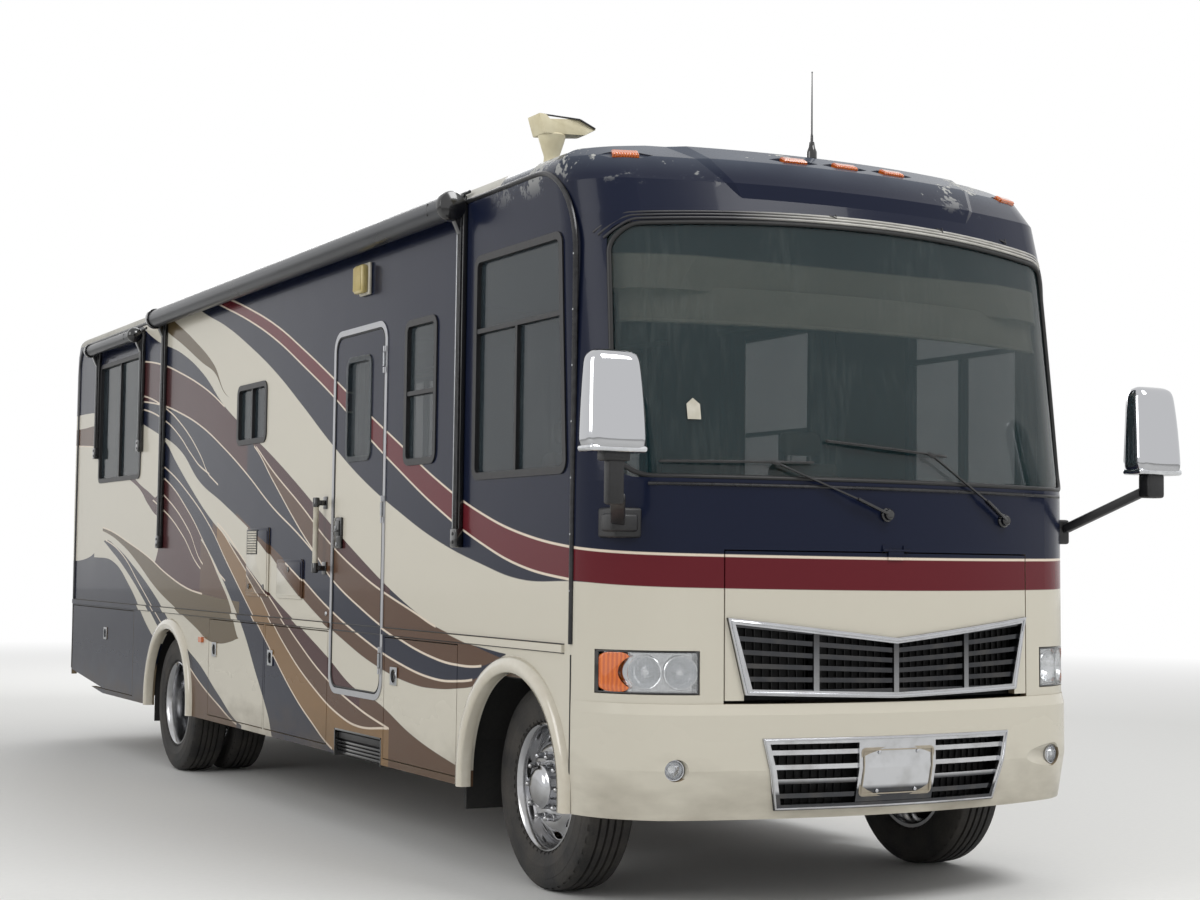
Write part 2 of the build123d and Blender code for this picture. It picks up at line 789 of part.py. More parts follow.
def body_panels():
    """The shell split at its seams into cap, walls, roof, skirts, bumper and rear cap."""
    shell = wall_of(body_solid(0))
    front = front_region()
    ahead = shell & front
    behind = shell - front
    rear_block = block(-1500, 1500, at(REAR_SEAM), at(BODY_LENGTH) + 200, 0, CREST + 100)
    windows = [across(row[0], window_outline(row, 0), INNER_WALL_X - 60, HALF_WIDTH + 60) for row in WINDOWS]
    entry = across(-1, door_outline(0), INNER_WALL_X - 60, HALF_WIDTH + 60)
    arches = arch_bore(FRONT_AXLE_Y, ARCH_RADIUS) + arch_bore(REAR_AXLE_Y, ARCH_RADIUS)

    cap = (ahead & lying(BUMPER_TOP, CREST + 50)) + (brow_solid() & front)
    for row in ROOF_LAMPS:
        cap = cap - roof_lamp_pocket(row)
    cap = cap - front_prism(shield_outline(0), FRONT_Y0, at(CAP_SEAM - 20))
    cap = cap - lid_block(0)
    cap = cap - lamp_block(1) - lamp_block(-1)
    for side in (-1, 1):
        inner = side * (HINGE_HALF + FIT)
        outer = side * (HINGE_HALF + HINGE_END)
        plate = skin(-HOOD_PLATE, 0, block(inner, outer, FRONT_Y0, FRONT_Y1, HOOD_HINGE_Z - 2, HOOD_HINGE_Z + 22))
        cap = cap + plate + hood_barrel(inner, outer)
    parts["front_cap"] = cap

    bumper = wall_of(bumper_solid(0)) & front & lying(0, BUMPER_TOP)
    bumper = bumper - front_prism(low_grille_outline(0), FRONT_Y0, FRONT_Y1) - fog_bore(FOG_RADIUS)
    parts["front_bumper"] = bumper - fog_scoop()

    parts["rear_cap"] = behind & rear_block
    middle = behind - rear_block
    parts["roof"] = middle & lying(WALL_TOP, CREST + 50)
    walls = middle & lying(RUB_RAIL_Z, WALL_TOP)
    skirts = middle & lying(0, RUB_RAIL_Z)
    for name, side in (("right", -1), ("left", 1)):
        half_space = block(0, side * 1500, NOSE_Y - 400, at(BODY_LENGTH) + 400, 0, CREST + 100)
        wall = walls & half_space
        rail = block(
            side * (HALF_WIDTH - 1),
            side * (HALF_WIDTH + RUB_RAIL_PROUD),
            at(CAP_SEAM + 60),
            at(REAR_SEAM - 20),
            RUB_RAIL_Z,
            RUB_RAIL_Z + RUB_RAIL_HEIGHT,
        )
        wall = wall + rail
        for row, hole in zip(WINDOWS, windows):
            if row[0] == side:
                wall = wall - hole
        skirt = (skirts & half_space) - arches
        for axle_y in (FRONT_AXLE_Y, REAR_AXLE_Y):
            ring = arch_bore(axle_y, ARCH_RADIUS + FLARE_WIDTH) - arch_bore(axle_y, ARCH_RADIUS)
            band = block(
                side * (INNER_WALL_X + 5), side * (HALF_WIDTH + FLARE_PROUD), axle_y - 700, axle_y + 700,
                BODY_BOTTOM, RUB_RAIL_Z,
            )
            skirt = skirt + (ring & band)
        for row in BAY_DOORS:
            if row[1] == side:
                skirt = skirt - bay_block(row, 0)
        if side < 0:
            wall = wall - entry
            skirt = skirt - entry
            skirt = skirt - block(-1500, -1000, at(2685), at(3365), 0, 550)
        parts["side_wall_" + name] = wall
        parts["skirt_" + name] = skirt


def glazing():
    """Windshield, side panes and their frames."""
    shield = front_prism(shield_outline(FIT), FRONT_Y0, at(CAP_SEAM - 20))
    parts["windshield"] = skin(SHIELD_RECESS, SHIELD_RECESS + GLASS, shield)
    frames = []
    panes = []
    for row in WINDOWS:
        side, front_sill, front_top, rear, sill, top, transom, mullion = row
        inner = window_outline(row, WINDOW_FRAME)
        ring = window_outline(row, FIT) - inner
        frame = across(side, ring, INNER_WALL_X - 5, HALF_WIDTH + WINDOW_PROUD)
        pane = across(side, inner, HALF_WIDTH - PANE_RECESS - PANE, HALF_WIDTH - PANE_RECESS)
        bars = []
        bar_top = transom if transom else top
        if transom:
            bars.append((at(front_sill), at(rear), transom - BAR / 2, transom + BAR / 2))
        if mullion:
            bars.append((at(mullion) - BAR / 2, at(mullion) + BAR / 2, sill, bar_top))
        for y0, y1, z0, z1 in bars:
            bar = block(side * (INNER_WALL_X - 5), side * (HALF_WIDTH + WINDOW_PROUD - 3), y0, y1, z0, z1)
            bar = bar & across(side, inner, INNER_WALL_X - 20, HALF_WIDTH + 20)
            frame = frame + bar
            pane = pane - bar
        frames.append(frame)
        panes.append(pane)
    ring = door_outline(FIT) - door_outline(DOOR_FRAME)
    door_frame = across(-1, ring, INNER_WALL_X, HALF_WIDTH + DOOR_FRAME_PROUD)
    for height in DOOR_HINGES:
        for above in (-1, 1):
            middle = height + above * (HINGE_HALF + FIT + HINGE_END / 2)
            door_frame = door_frame + door_hinge(middle, HINGE_END / 2, -1)
    frames.append(door_frame)
    parts["window_frames"] = Compound(children=frames)
    parts["side_windows"] = Compound(children=panes)


def front_fittings():
    """Hood lid, both grilles, lamps and plate."""
    opening = front_prism(grille_outline(0), FRONT_Y0, FRONT_Y1) + block(
        -GRILLE_HALF_BOTTOM, GRILLE_HALF_BOTTOM, FRONT_Y0, FRONT_Y1, BUMPER_TOP - 10, GRILLE_BOTTOM_OUTER
    )
    lid = skin(0, WALL, lid_block(DOOR_GAP)) - opening
    plate = skin(-HOOD_PLATE, 0, block(-HINGE_HALF, HINGE_HALF, FRONT_Y0, FRONT_Y1, HOOD_HINGE_Z - 42, LID_TOP - DOOR_GAP))
    bridge = block(
        -HINGE_HALF, HINGE_HALF, at(HOOD_HINGE_STATION - 1), at(HOOD_HINGE_STATION + 5), HOOD_HINGE_Z - 20, HOOD_HINGE_Z
    )
    parts["hood_lid"] = lid + plate + bridge + hood_barrel(-HINGE_HALF, HINGE_HALF)

    depth = GRILLE_DEPTH - GRILLE_PROUD
    ring = front_prism(grille_outline(FIT) - grille_outline(GRILLE_RIM), FRONT_Y0, FRONT_Y1)
    pieces = [skin(-GRILLE_PROUD, depth, ring)]
    inside = front_prism(grille_outline(GRILLE_RIM - 2), FRONT_Y0, FRONT_Y1)
    for x in (-GRILLE_HALF_TOP / 2, 0, GRILLE_HALF_TOP / 2):
        pieces.append(skin(-GRILLE_PROUD / 2, depth, inside & block(x - 13, x + 13, FRONT_Y0, FRONT_Y1, 800, 1300)))
    slope = (GRILLE_TOP_OUTER - GRILLE_TOP_CENTRE) / GRILLE_HALF_TOP
    pitch = (GRILLE_TOP_CENTRE - GRILLE_BOTTOM_CENTRE) / SLATS
    for number in range(SLATS):
        level = GRILLE_BOTTOM_CENTRE + (number + 0.5) * pitch
        rise = slope * number / SLATS
        points = [
            (0, level),
            (GRILLE_HALF_TOP, level + rise * GRILLE_HALF_TOP),
            (GRILLE_HALF_TOP, level + rise * GRILLE_HALF_TOP + SLAT_HEIGHT),
            (0, level + SLAT_HEIGHT),
        ]
        slat = front_prism(make_face(Polyline(*points, close=True)), FRONT_Y0, FRONT_Y1)
        pieces.append(skin(0, depth - 20, inside & both_sides(slat)))
    parts["upper_grille"] = joined(pieces)

    ring = front_prism(low_grille_outline(FIT) - low_grille_outline(GRILLE_RIM), FRONT_Y0, FRONT_Y1)
    pieces = [skin(-GRILLE_PROUD / 2, depth, ring, bumper_solid)]
    inside = front_prism(low_grille_outline(GRILLE_RIM - 2), FRONT_Y0, FRONT_Y1)
    pitch = (LOW_GRILLE_TOP - LOW_GRILLE_BOTTOM) / LOW_SLATS
    for number in range(1, LOW_SLATS):
        level = LOW_GRILLE_BOTTOM + number * pitch
        slat = block(-700, 700, FRONT_Y0, FRONT_Y1, level - SLAT_HEIGHT / 2, level + SLAT_HEIGHT / 2)
        pieces.append(skin(4, depth - 20, inside & slat, bumper_solid))
    holder = block(
        -PLATE_HALF_WIDTH, PLATE_HALF_WIDTH, FRONT_Y0, FRONT_Y1, LOW_GRILLE_BOTTOM + 20, LOW_GRILLE_TOP - 20
    )
    pieces.append(skin(-4, 20, inside & holder, bumper_solid))
    parts["lower_grille"] = joined(pieces)

    lamps = []
    for side in (-1, 1):
        inner = block(
            side * (LAMP_INNER + FIT), side * (LAMP_OUTER - FIT), FRONT_Y0, at(CAP_SEAM - 40),
            LAMP_BOTTOM + FIT, LAMP_TOP - FIT,
        )
        lamps.append(skin(2, LAMP_DEPTH, inner))
        fog = rod((side * FOG_X, FRONT_Y0, FOG_Z), (side * FOG_X, at(CAP_SEAM - 60), FOG_Z), FOG_RADIUS - FIT)
        lamps.append(skin(FOG_RECESS, WALL + BUMPER_PROUD, fog, bumper_solid))
    parts["front_lamps"] = Compound(children=lamps)


def small_lamps():
    """Amber roof lamps, amber side markers and the red lamps at the rear."""
    lamps = []
    for row in ROOF_LAMPS:
        thickness = POCKET_DEPTH - FIT + ROOF_LAMP_PROUD
        lens = Pos(0, 0, ROOF_LAMP_PROUD - thickness / 2) * Box(ROOF_LAMP_WIDTH, ROOF_LAMP_LENGTH, thickness)
        lens = chamfer(lens.faces().sort_by(Axis.Z)[-1].edges(), ROOF_LAMP_PROUD / 2)
        lamps.append(roof_lamp_place(row) * lens)
    for side in (-1, 1):
        lamps.append(
            block(
                side * (HALF_WIDTH + FIT), side * (HALF_WIDTH + MARKER_PROUD), at(MARKER_FRONT), at(MARKER_REAR),
                MARKER_BOTTOM, MARKER_TOP,
            )
        )
    parts["marker_lamps"] = Compound(children=lamps)
    tails = []
    rear = at(BODY_LENGTH)
    high_bottom, high_top = TAIL_LAMPS[1][2:]
    places = [(-HIGH_LAMP_HALF_WIDTH, HIGH_LAMP_HALF_WIDTH, high_bottom, high_top)]
    for inner, outer, bottom, top in TAIL_LAMPS:
        places += [(inner, outer, bottom, top), (-inner, -outer, bottom, top)]
    for inner, outer, bottom, top in places:
        tails.append(skin(-TAIL_PROUD, -FIT, block(inner, outer, rear - 100, rear + 100, bottom, top)))
    parts["tail_lamps"] = Compound(children=tails)


def entry_door():
    """The door with its pull, and its framed pane."""
    leaf = across(-1, door_outline(DOOR_FRAME + DOOR_GAP), INNER_WALL_X, HALF_WIDTH)
    hole = across(-1, door_window_outline(0), INNER_WALL_X - 20, HALF_WIDTH + 20)
    pull = block(-HALF_WIDTH + 1, -HALF_WIDTH - 14, at(3300), at(3390), 1540, 1690)
    door = leaf - hole + pull
    for height in DOOR_HINGES:
        door = door + door_hinge(height, HINGE_HALF, 1)
    parts["entry_door"] = door
    trim = across(-1, door_window_outline(FIT) - door_window_outline(30), INNER_WALL_X + 2, HALF_WIDTH + 8)
    pane = across(-1, door_window_outline(30), HALF_WIDTH - 20, HALF_WIDTH - 14)
    parts["entry_door_window"] = trim + pane


def bay_doors():
    """The baggage doors under the rub rail, each with a latch cup."""
    for row in BAY_DOORS:
        name, side, front, rear, latch = row
        leaf = block(
            side * INNER_WALL_X,
            side * HALF_WIDTH,
            at(front) + DOOR_GAP,
            at(rear) - DOOR_GAP,
            BAY_BOTTOM + DOOR_GAP,
            BAY_TOP - DOOR_GAP,
        )
        plate = Pos(at(latch), LATCH_Z) * RectangleRounded(2 * LATCH_HALF, 2 * LATCH_HALF, LATCH_CORNER)
        cup = rod(
            (side * (HALF_WIDTH - LATCH_CUP_DEPTH), at(latch), LATCH_Z),
            (side * (HALF_WIDTH + 2 * LATCH_PROUD), at(latch), LATCH_Z),
            LATCH_CUP_RADIUS,
        )
        door = leaf + across(side, plate, HALF_WIDTH - 1, HALF_WIDTH + LATCH_PROUD) - cup
        parts[name] = door - departure_wedge(DOOR_GAP)


def departure_wedge(lift):
    """The wedge cut away below the tail."""
    rear = at(BODY_LENGTH)
    slope = DEPARTURE_RISE / (BODY_LENGTH + 100 - DEPARTURE_STATION)
    base = BAY_BOTTOM + lift
    outline = make_face(
        Polyline(
            (at(DEPARTURE_STATION), 0),
            (at(DEPARTURE_STATION), base),
            (rear + 100, base + slope * (BODY_LENGTH + 100 - DEPARTURE_STATION)),
            (rear + 100, 0),
            close=True,
        )
    )
    return side_prism(outline, -HALF_WIDTH - 50, HALF_WIDTH + 50)


def running_gear():
    """Frame, springs, axles, knuckles, rims and tyres."""
    rails = []
    for side in (-1, 1):
        outer = side * (RAIL_X + RAIL_FLANGE / 2)
        inner = side * (RAIL_X - RAIL_FLANGE / 2)
        channel = block(inner, outer, at(RAIL_FRONT), at(RAIL_REAR), RAIL_BOTTOM, RAIL_TOP)
        hollow = block(
            inner - side * 5, outer - side * RAIL_WEB, at(RAIL_FRONT) - 5, at(RAIL_REAR) + 5,
            RAIL_BOTTOM + RAIL_WEB, RAIL_TOP - RAIL_WEB,
        )
        rails.append(channel - hollow)
    web = RAIL_X + RAIL_FLANGE / 2 - RAIL_WEB
    half_member = CROSSMEMBER_WIDTH / 2
    for station in CROSSMEMBERS:
        rails.append(block(-web, web, at(station) - half_member, at(station) + half_member, RAIL_BOTTOM + 20, RAIL_TOP - RAIL_WEB))
    hitch_y = at(RAIL_REAR) - 300
    half_tube = RECEIVER_TUBE / 2
    rails.append(block(-web, web, hitch_y, hitch_y + RECEIVER_TUBE, RECEIVER_Z - half_tube, RECEIVER_Z + half_tube))
    for side in (-1, 1):
        rails.append(
            block(side * (web - 12), side * web, hitch_y, hitch_y + RECEIVER_TUBE, RECEIVER_Z - half_tube, RAIL_BOTTOM + 60)
        )
    rails.append(
        block(-half_tube, half_tube, hitch_y, at(BODY_LENGTH) - 10, RECEIVER_Z - half_tube, RECEIVER_Z + half_tube)
    )
    half_bore = RECEIVER_BORE / 2
    bore = block(
        -half_bore, half_bore, hitch_y + RECEIVER_TUBE, at(BODY_LENGTH), RECEIVER_Z - half_bore, RECEIVER_Z + half_bore
    )
    parts["chassis_frame"] = joined(rails) - bore

    springs = []
    for axle_y, seat in ((FRONT_AXLE_Y, AXLE_BEAM_HEIGHT / 2), (REAR_AXLE_Y, AXLE_TUBE_RADIUS)):
        low = TYRE_RADIUS + seat
        high = RAIL_BOTTOM - SPRING_THICKNESS
        ends = [axle_y - SPRING_HALF_SPAN, axle_y + SPRING_HALF_SPAN]
        lower = ThreePointArc((ends[0], high), (axle_y, low), (ends[1], high))
        upper = ThreePointArc(
            (ends[1], high + SPRING_THICKNESS), (axle_y, low + SPRING_THICKNESS), (ends[0], high + SPRING_THICKNESS)
        )
        leaf = make_face(
            [lower, Line(lower @ 1, upper @ 0), upper, Line(upper @ 1, lower @ 0)]
        )
        for side in (-1, 1):
            x0 = side * RAIL_X - SPRING_WIDTH / 2
            springs.append(side_prism(leaf, x0, x0 + SPRING_WIDTH))
    parts["leaf_springs"] = Compound(children=springs)

    half_height = AXLE_BEAM_HEIGHT / 2
    beam = block(
        -KINGPIN_X + 30, KINGPIN_X - 30, FRONT_AXLE_Y - 45, FRONT_AXLE_Y + 45,
        TYRE_RADIUS - half_height, TYRE_RADIUS + half_height,
    )
    for side in (-1, 1):
        beam = beam + Pos(side * KINGPIN_X, FRONT_AXLE_Y, TYRE_RADIUS) * Cylinder(48, AXLE_BEAM_HEIGHT)
    for side in (-1, 1):
        beam = beam - Pos(side * KINGPIN_X, FRONT_AXLE_Y, TYRE_RADIUS) * Cylinder(
            KINGPIN_RADIUS + FIT, AXLE_BEAM_HEIGHT + 10
        )
    parts["front_axle"] = beam

    for name, side in (("right", -1), ("left", 1)):
        pin = Cylinder(KINGPIN_RADIUS, 190)
        ear_z = half_height + 5 + 20
        ears = Pos(0, 0, ear_z) * Cylinder(46, 40) + Pos(0, 0, -ear_z) * Cylinder(46, 40)
        yoke = Pos(side * 65, 0, 0) * Box(26, 80, 2 * ear_z + 40)
        yoke = yoke + Pos(side * 35, 0, ear_z) * Box(60, 80, 40) + Pos(side * 35, 0, -ear_z) * Box(60, 80, 40)
        eye = Pos(0, 0, 0) * Cylinder(49, AXLE_BEAM_HEIGHT + 10)
        yoke = yoke - eye
        knuckle = Pos(side * KINGPIN_X, FRONT_AXLE_Y, TYRE_RADIUS) * (pin + ears + yoke)
        spindle = rod(
            (side * (KINGPIN_X + 60), FRONT_AXLE_Y, TYRE_RADIUS),
            (side * (FRONT_TYRE_X + 60), FRONT_AXLE_Y, TYRE_RADIUS),
            SPINDLE_RADIUS,
        )
        parts["knuckle_" + name] = knuckle + spindle

    tube_end = DUAL_OUTER_X - 60
    housing = rod((-tube_end, REAR_AXLE_Y, TYRE_RADIUS), (tube_end, REAR_AXLE_Y, TYRE_RADIUS), SPINDLE_RADIUS)
    thick_end = DUAL_OUTER_X - DUAL_SPACING - TYRE_WIDTH / 2 - 20
    housing = housing + rod(
        (-thick_end, REAR_AXLE_Y, TYRE_RADIUS), (thick_end, REAR_AXLE_Y, TYRE_RADIUS), AXLE_TUBE_RADIUS
    )
    housing = housing + Pos(0, REAR_AXLE_Y, TYRE_RADIUS) * Sphere(DIFFERENTIAL_RADIUS)
    shaft = rod(
        (0, at(ENGINE_REAR) - 5, DRIVESHAFT_FRONT_Z), (0, REAR_AXLE_Y - 100, TYRE_RADIUS + 20), DRIVESHAFT_RADIUS
    )
    gearbox = block(-300, 300, at(ENGINE_REAR) - 200, at(ENGINE_REAR), 400, 1000)
    parts["rear_axle"] = housing + (shaft - gearbox)

    for name, side in (("right", -1), ("left", 1)):
        centre = Pos(side * FRONT_TYRE_X, FRONT_AXLE_Y, TYRE_RADIUS) * facing(side)
        parts["front_tyre_" + name] = centre * tyre()
        parts["front_rim_" + name] = centre * rim(RIM_WIDTH / 2 - 10, 1)
        outer = Pos(side * DUAL_OUTER_X, REAR_AXLE_Y, TYRE_RADIUS) * facing(side)
        inner = Pos(side * (DUAL_OUTER_X - DUAL_SPACING), REAR_AXLE_Y, TYRE_RADIUS) * facing(side)
        parts["rear_tyres_" + name] = Compound(children=[outer * tyre(), inner * tyre()])
        parts["rear_rims_" + name] = outer * dual_rims()


def facing(side):
    """Turns a wheel drawn with its axle along +Z, outboard up, to its side of the vehicle."""
    return Rot(0, 90 * side, 0)


def tyre():
    """A tyre, revolved about Z: round shoulders, bulged walls and a flat tread."""
    half = TYRE_WIDTH / 2
    tread = half - 28
    shoulder = TYRE_RADIUS - 26
    bead = half - 26
    edges = [
        Line((RIM_RADIUS, -bead), (RIM_RADIUS, bead)),
        ThreePointArc((RIM_RADIUS, bead), (RIM_RADIUS + 80, half), (shoulder, half - 8)),
        ThreePointArc((shoulder, half - 8), (TYRE_RADIUS - 8, half - 14), (TYRE_RADIUS, tread)),
        Line((TYRE_RADIUS, tread), (TYRE_RADIUS, -tread)),
        ThreePointArc((TYRE_RADIUS, -tread), (TYRE_RADIUS - 8, 14 - half), (shoulder, 8 - half)),
        ThreePointArc((shoulder, 8 - half), (RIM_RADIUS + 80, -half), (RIM_RADIUS, -bead)),
    ]
    return revolve(Plane.XZ * make_face(edges), Axis.Z)


def rim_barrel():
    """The rim's barrel with its two flanges, revolved about Z."""
    half = RIM_WIDTH / 2
    outer = RIM_RADIUS - FIT
    points = [
        (outer - 14, -half),
        (outer, -half),
        (outer, half),
        (outer - 14, half),
        (outer - 26, half - 30),
        (outer - 26, 30 - half),
    ]
    return revolve(Plane.XZ * make_face(Polyline(*points, close=True)), Axis.Z)


def hand_holes():
    """The ring of round holes in a wheel's disc, along Z."""
    turns = [2 * math.pi * number / HAND_HOLES for number in range(HAND_HOLES)]
    return [
        Pos(HAND_HOLE_CIRCLE * math.cos(turn), HAND_HOLE_CIRCLE * math.sin(turn), 0) * Cylinder(HAND_HOLE_RADIUS, 600)
        for turn in turns
    ]


def rim(face, bulge):
    """A disc wheel: barrel, dished disc with hand holes, and hub around the spindle."""
    outer = RIM_RADIUS - 20
    profile = [
        (SPINDLE_RADIUS + FIT, face - 190),
        (95, face - 190),
        (95, face - 40),
        (165, face - 40),
        (outer, face - 70),
        (outer, face - 58),
        (200, face - 14),
        (95, face - 14),
        (95, face + 40),
        (70, face + 62),
        (0, face + 66),
        (0, face + 40),
        (SPINDLE_RADIUS + FIT, face + 40),
    ]
    disc = revolve(Plane.XZ * make_face(Polyline(*profile, close=True)), Axis.Z)
    for hole in hand_holes():
        disc = disc - hole
    return rim_barrel() + disc


def dual_rims():
    """Two barrels back to back on one hub, with the outer disc deep in its barrel."""
    outer = RIM_RADIUS - 8
    middle = -DUAL_SPACING / 2
    profile = [
        (SPINDLE_RADIUS + FIT, middle - 150),
        (110, middle - 150),
        (110, middle - 12),
        (190, middle - 12),
        (outer, middle - 64),
        (outer, middle - 48),
        (200, middle),
        (outer, middle + 48),
        (outer, middle + 64),
        (190, middle + 12),
        (110, middle + 12),
        (105, middle + 120),
        (80, middle + 150),
        (0, middle + 154),
        (0, middle + 120),
        (SPINDLE_RADIUS + FIT, middle + 120),
    ]
    disc = revolve(Plane.XZ * make_face(Polyline(*profile, close=True)), Axis.Z)
    for hole in hand_holes():
        disc = disc - hole
    return rim_barrel() + (Pos(0, 0, -DUAL_SPACING) * rim_barrel()) + disc


def underbody():
    """Engine, radiator, tank, exhaust, floor with the engine hump, and the stepwell."""
    engine = block(-330, 330, at(ENGINE_FRONT), at(ENGINE_STEP), 600, 1240)
    engine = engine + block(-190, 190, at(ENGINE_STEP), at(ENGINE_REAR), 590, 880)
    radiator = block(-390, 390, at(RAIL_FRONT - 70), at(RAIL_FRONT), RAIL_BOTTOM - 60, 1180)
    parts["engine_block"] = Compound(children=[engine, radiator])

    tank = block(-TANK_HALF_WIDTH, TANK_HALF_WIDTH, at(TANK_FRONT), at(TANK_REAR), TANK_BOTTOM, RAIL_TOP)
    parts["fuel_tank"] = tank

    bend = (PIPE_X, at(ENGINE_REAR), PIPE_Z)
    exhaust = rod(bend, (PIPE_X, at(PIPE_END), PIPE_Z), PIPE_RADIUS)
    exhaust = exhaust + rod((160, at(ENGINE_REAR - 100), PIPE_Z + 20), bend, PIPE_RADIUS)
    exhaust = exhaust + Pos(*bend) * Sphere(PIPE_RADIUS) - engine
    exhaust = exhaust + rod(
        (PIPE_X, at(MUFFLER_FRONT), PIPE_Z), (PIPE_X, at(MUFFLER_REAR), PIPE_Z), MUFFLER_RADIUS
    )
    for station in PIPE_HANGERS:
        exhaust = exhaust + block(PIPE_X - 12, PIPE_X + 12, at(station), at(station) + 40, PIPE_Z, RAIL_TOP)
    parts["exhaust"] = exhaust

    floor = body_solid(WALL) & block(-1500, 1500, at(FIREWALL), at(BODY_LENGTH) + 10, RAIL_TOP, FLOOR_TOP)
    firewall = body_solid(WALL) & block(
        -1500, 1500, at(FIREWALL), at(FIREWALL) + HUMP_WALL, RAIL_TOP, DASH_BOTTOM - FIT
    )
    hump = block(
        -HUMP_HALF_WIDTH, HUMP_HALF_WIDTH, at(HUMP_FRONT), at(HUMP_REAR), RAIL_TOP, HUMP_TOP
    )
    hollow = block(
        HUMP_WALL - HUMP_HALF_WIDTH,
        HUMP_HALF_WIDTH - HUMP_WALL,
        at(HUMP_FRONT) - 100,
        at(HUMP_REAR) - HUMP_WALL,
        RAIL_TOP - 10,
        HUMP_TOP - HUMP_WALL,
    )
    floor = floor + firewall + hump - hollow
    well = block(
        -INNER_WALL_X, STEPWELL_DEPTH - INNER_WALL_X, at(DOOR_FRONT), at(DOOR_REAR), DOOR_BOTTOM, FLOOR_TOP + 10
    )
    pan = block(
        -INNER_WALL_X,
        STEPWELL_DEPTH - INNER_WALL_X + 20,
        at(DOOR_FRONT) - 20,
        at(DOOR_REAR) + 20,
        DOOR_BOTTOM - 20,
        FLOOR_TOP,
    )
    tread = block(
        -INNER_WALL_X + STEPWELL_DEPTH / 2,
        STEPWELL_DEPTH - INNER_WALL_X,
        at(DOOR_FRONT),
        at(DOOR_REAR),
        DOOR_BOTTOM,
        (DOOR_BOTTOM + FLOOR_TOP) / 2,
    )
    parts["floor"] = floor + pan - well + tread

    step = block(-HALF_WIDTH + 20, -HALF_WIDTH + 420, at(2700), at(3350), 500, 530)
    step = step + block(-HALF_WIDTH + 60, -HALF_WIDTH + 400, at(2720), at(2760), 530, DOOR_BOTTOM - 20)
    step = step + block(-HALF_WIDTH + 60, -HALF_WIDTH + 400, at(3290), at(3330), 530, DOOR_BOTTOM - 20)
    parts["entry_step"] = step

    flaps = []
    for side in (-1, 1):
        for station, inner in ((FRONT_OVERHANG + 590, 885), (FRONT_OVERHANG + WHEELBASE + 505, 690)):
            flaps.append(block(side * inner, side * 1232, at(station), at(station) + 12, 300, RAIL_TOP))
    parts["mud_flaps"] = Compound(children=flaps)


def side_fittings():
    """Awnings, hatches, porch light, handrail, mirrors and wipers."""
    awnings = []
    for front, rear, height, radius, foot in AWNINGS:
        roller = rod((-AWNING_X, at(front), height), (-AWNING_X, at(rear), height), radius)
        pieces = [roller]
        for start in (front + 20, rear - 80):
            pieces.append(
                block(
                    -HALF_WIDTH - FIT, -HALF_WIDTH - AWNING_ARM_DEPTH, at(start), at(start) + AWNING_ARM,
                    foot, height + radius,
                )
            )
        rail = block(-HALF_WIDTH - FIT, -AWNING_X, at(front + 20), at(rear - 20), height + radius - 24, height + radius - 4)
        pieces.append(rail)
        awnings.append(joined(pieces))
    parts["awnings"] = Compound(children=awnings)

    plates = []
    for row, proud in ((HATCHES[0], HATCH_PROUD), (HATCHES[1], HATCH_PROUD), (PORCH_LIGHT, PORCH_LIGHT_PROUD)):
        front, rear, bottom, top = row
        plate = block(-HALF_WIDTH - FIT, -HALF_WIDTH - proud, at(front), at(rear), bottom, top)
        plates.append(fillet(plate.edges().filter_by(Axis.X), 16))
    rail_x = -HALF_WIDTH - HANDRAIL_OUT
    rail_y = at(HANDRAIL_STATION)
    rail = rod((rail_x, rail_y, HANDRAIL_BOTTOM), (rail_x, rail_y, HANDRAIL_TOP), HANDRAIL_RADIUS)
    for height in (HANDRAIL_BOTTOM, HANDRAIL_TOP - 40):
        rail = rail + block(
            -HALF_WIDTH - FIT, rail_x - HANDRAIL_RADIUS, rail_y - 22, rail_y + 22, height, height + 40
        )
    parts["side_hatches"] = Compound(children=plates + [rail])

    mirrors = []
    for side in (-1, 1):
        head = block(
            side * (MIRROR_X - MIRROR_WIDTH / 2),
            side * (MIRROR_X + MIRROR_WIDTH / 2),
            NOSE_Y - MIRROR_AHEAD,
            NOSE_Y - MIRROR_AHEAD + MIRROR_DEPTH,
            MIRROR_BOTTOM,
            MIRROR_TOP,
        )
        head = fillet(head.edges(), 42)
        foot = block(side * 1085, side * 1200, at(240), at(420), 1600, 1690) - body_solid(-FIT)
        arm_y = NOSE_Y - MIRROR_AHEAD + MIRROR_DEPTH / 2
        arm = rod((side * 1150, at(300), 1650), (side * MIRROR_X, arm_y, 1700), 20)
        post = rod((side * MIRROR_X, arm_y, 1680), (side * MIRROR_X, arm_y, MIRROR_BOTTOM + 60), 22)
        arm = arm - body_solid(-FIT)
        mirrors.append(foot + arm + post + head)
    parts["mirrors"] = Compound(children=mirrors)

    strips = []
    for pivot, elbow, tip_out, tip_in in WIPERS:
        arm = strip(pivot, elbow, WIPER_ARM)
        blade = strip(tip_out, tip_in, WIPER_BLADE)
        cap = front_prism(Pos(*pivot) * Circle(WIPER_CAP_RADIUS), FRONT_Y0, at(CAP_SEAM))
        wiper = skin(-34, -8, front_prism(arm, FRONT_Y0, at(CAP_SEAM)))
        wiper = wiper + skin(-20, -FIT, front_prism(blade, FRONT_Y0, at(CAP_SEAM)))
        wiper = wiper + skin(-38, -FIT, cap)
        strips.append(wiper)
    parts["wipers"] = Compound(children=strips)


def strip(start, end, width):
    """A thin rectangle between two points of a sketch."""
    run = math.dist(start, end)
    turn = math.degrees(math.atan2(end[1] - start[1], end[0] - start[0]))
    return Pos((start[0] + end[0]) / 2, (start[1] + end[1]) / 2) * Rot(0, 0, turn) * Rectangle(run, width)


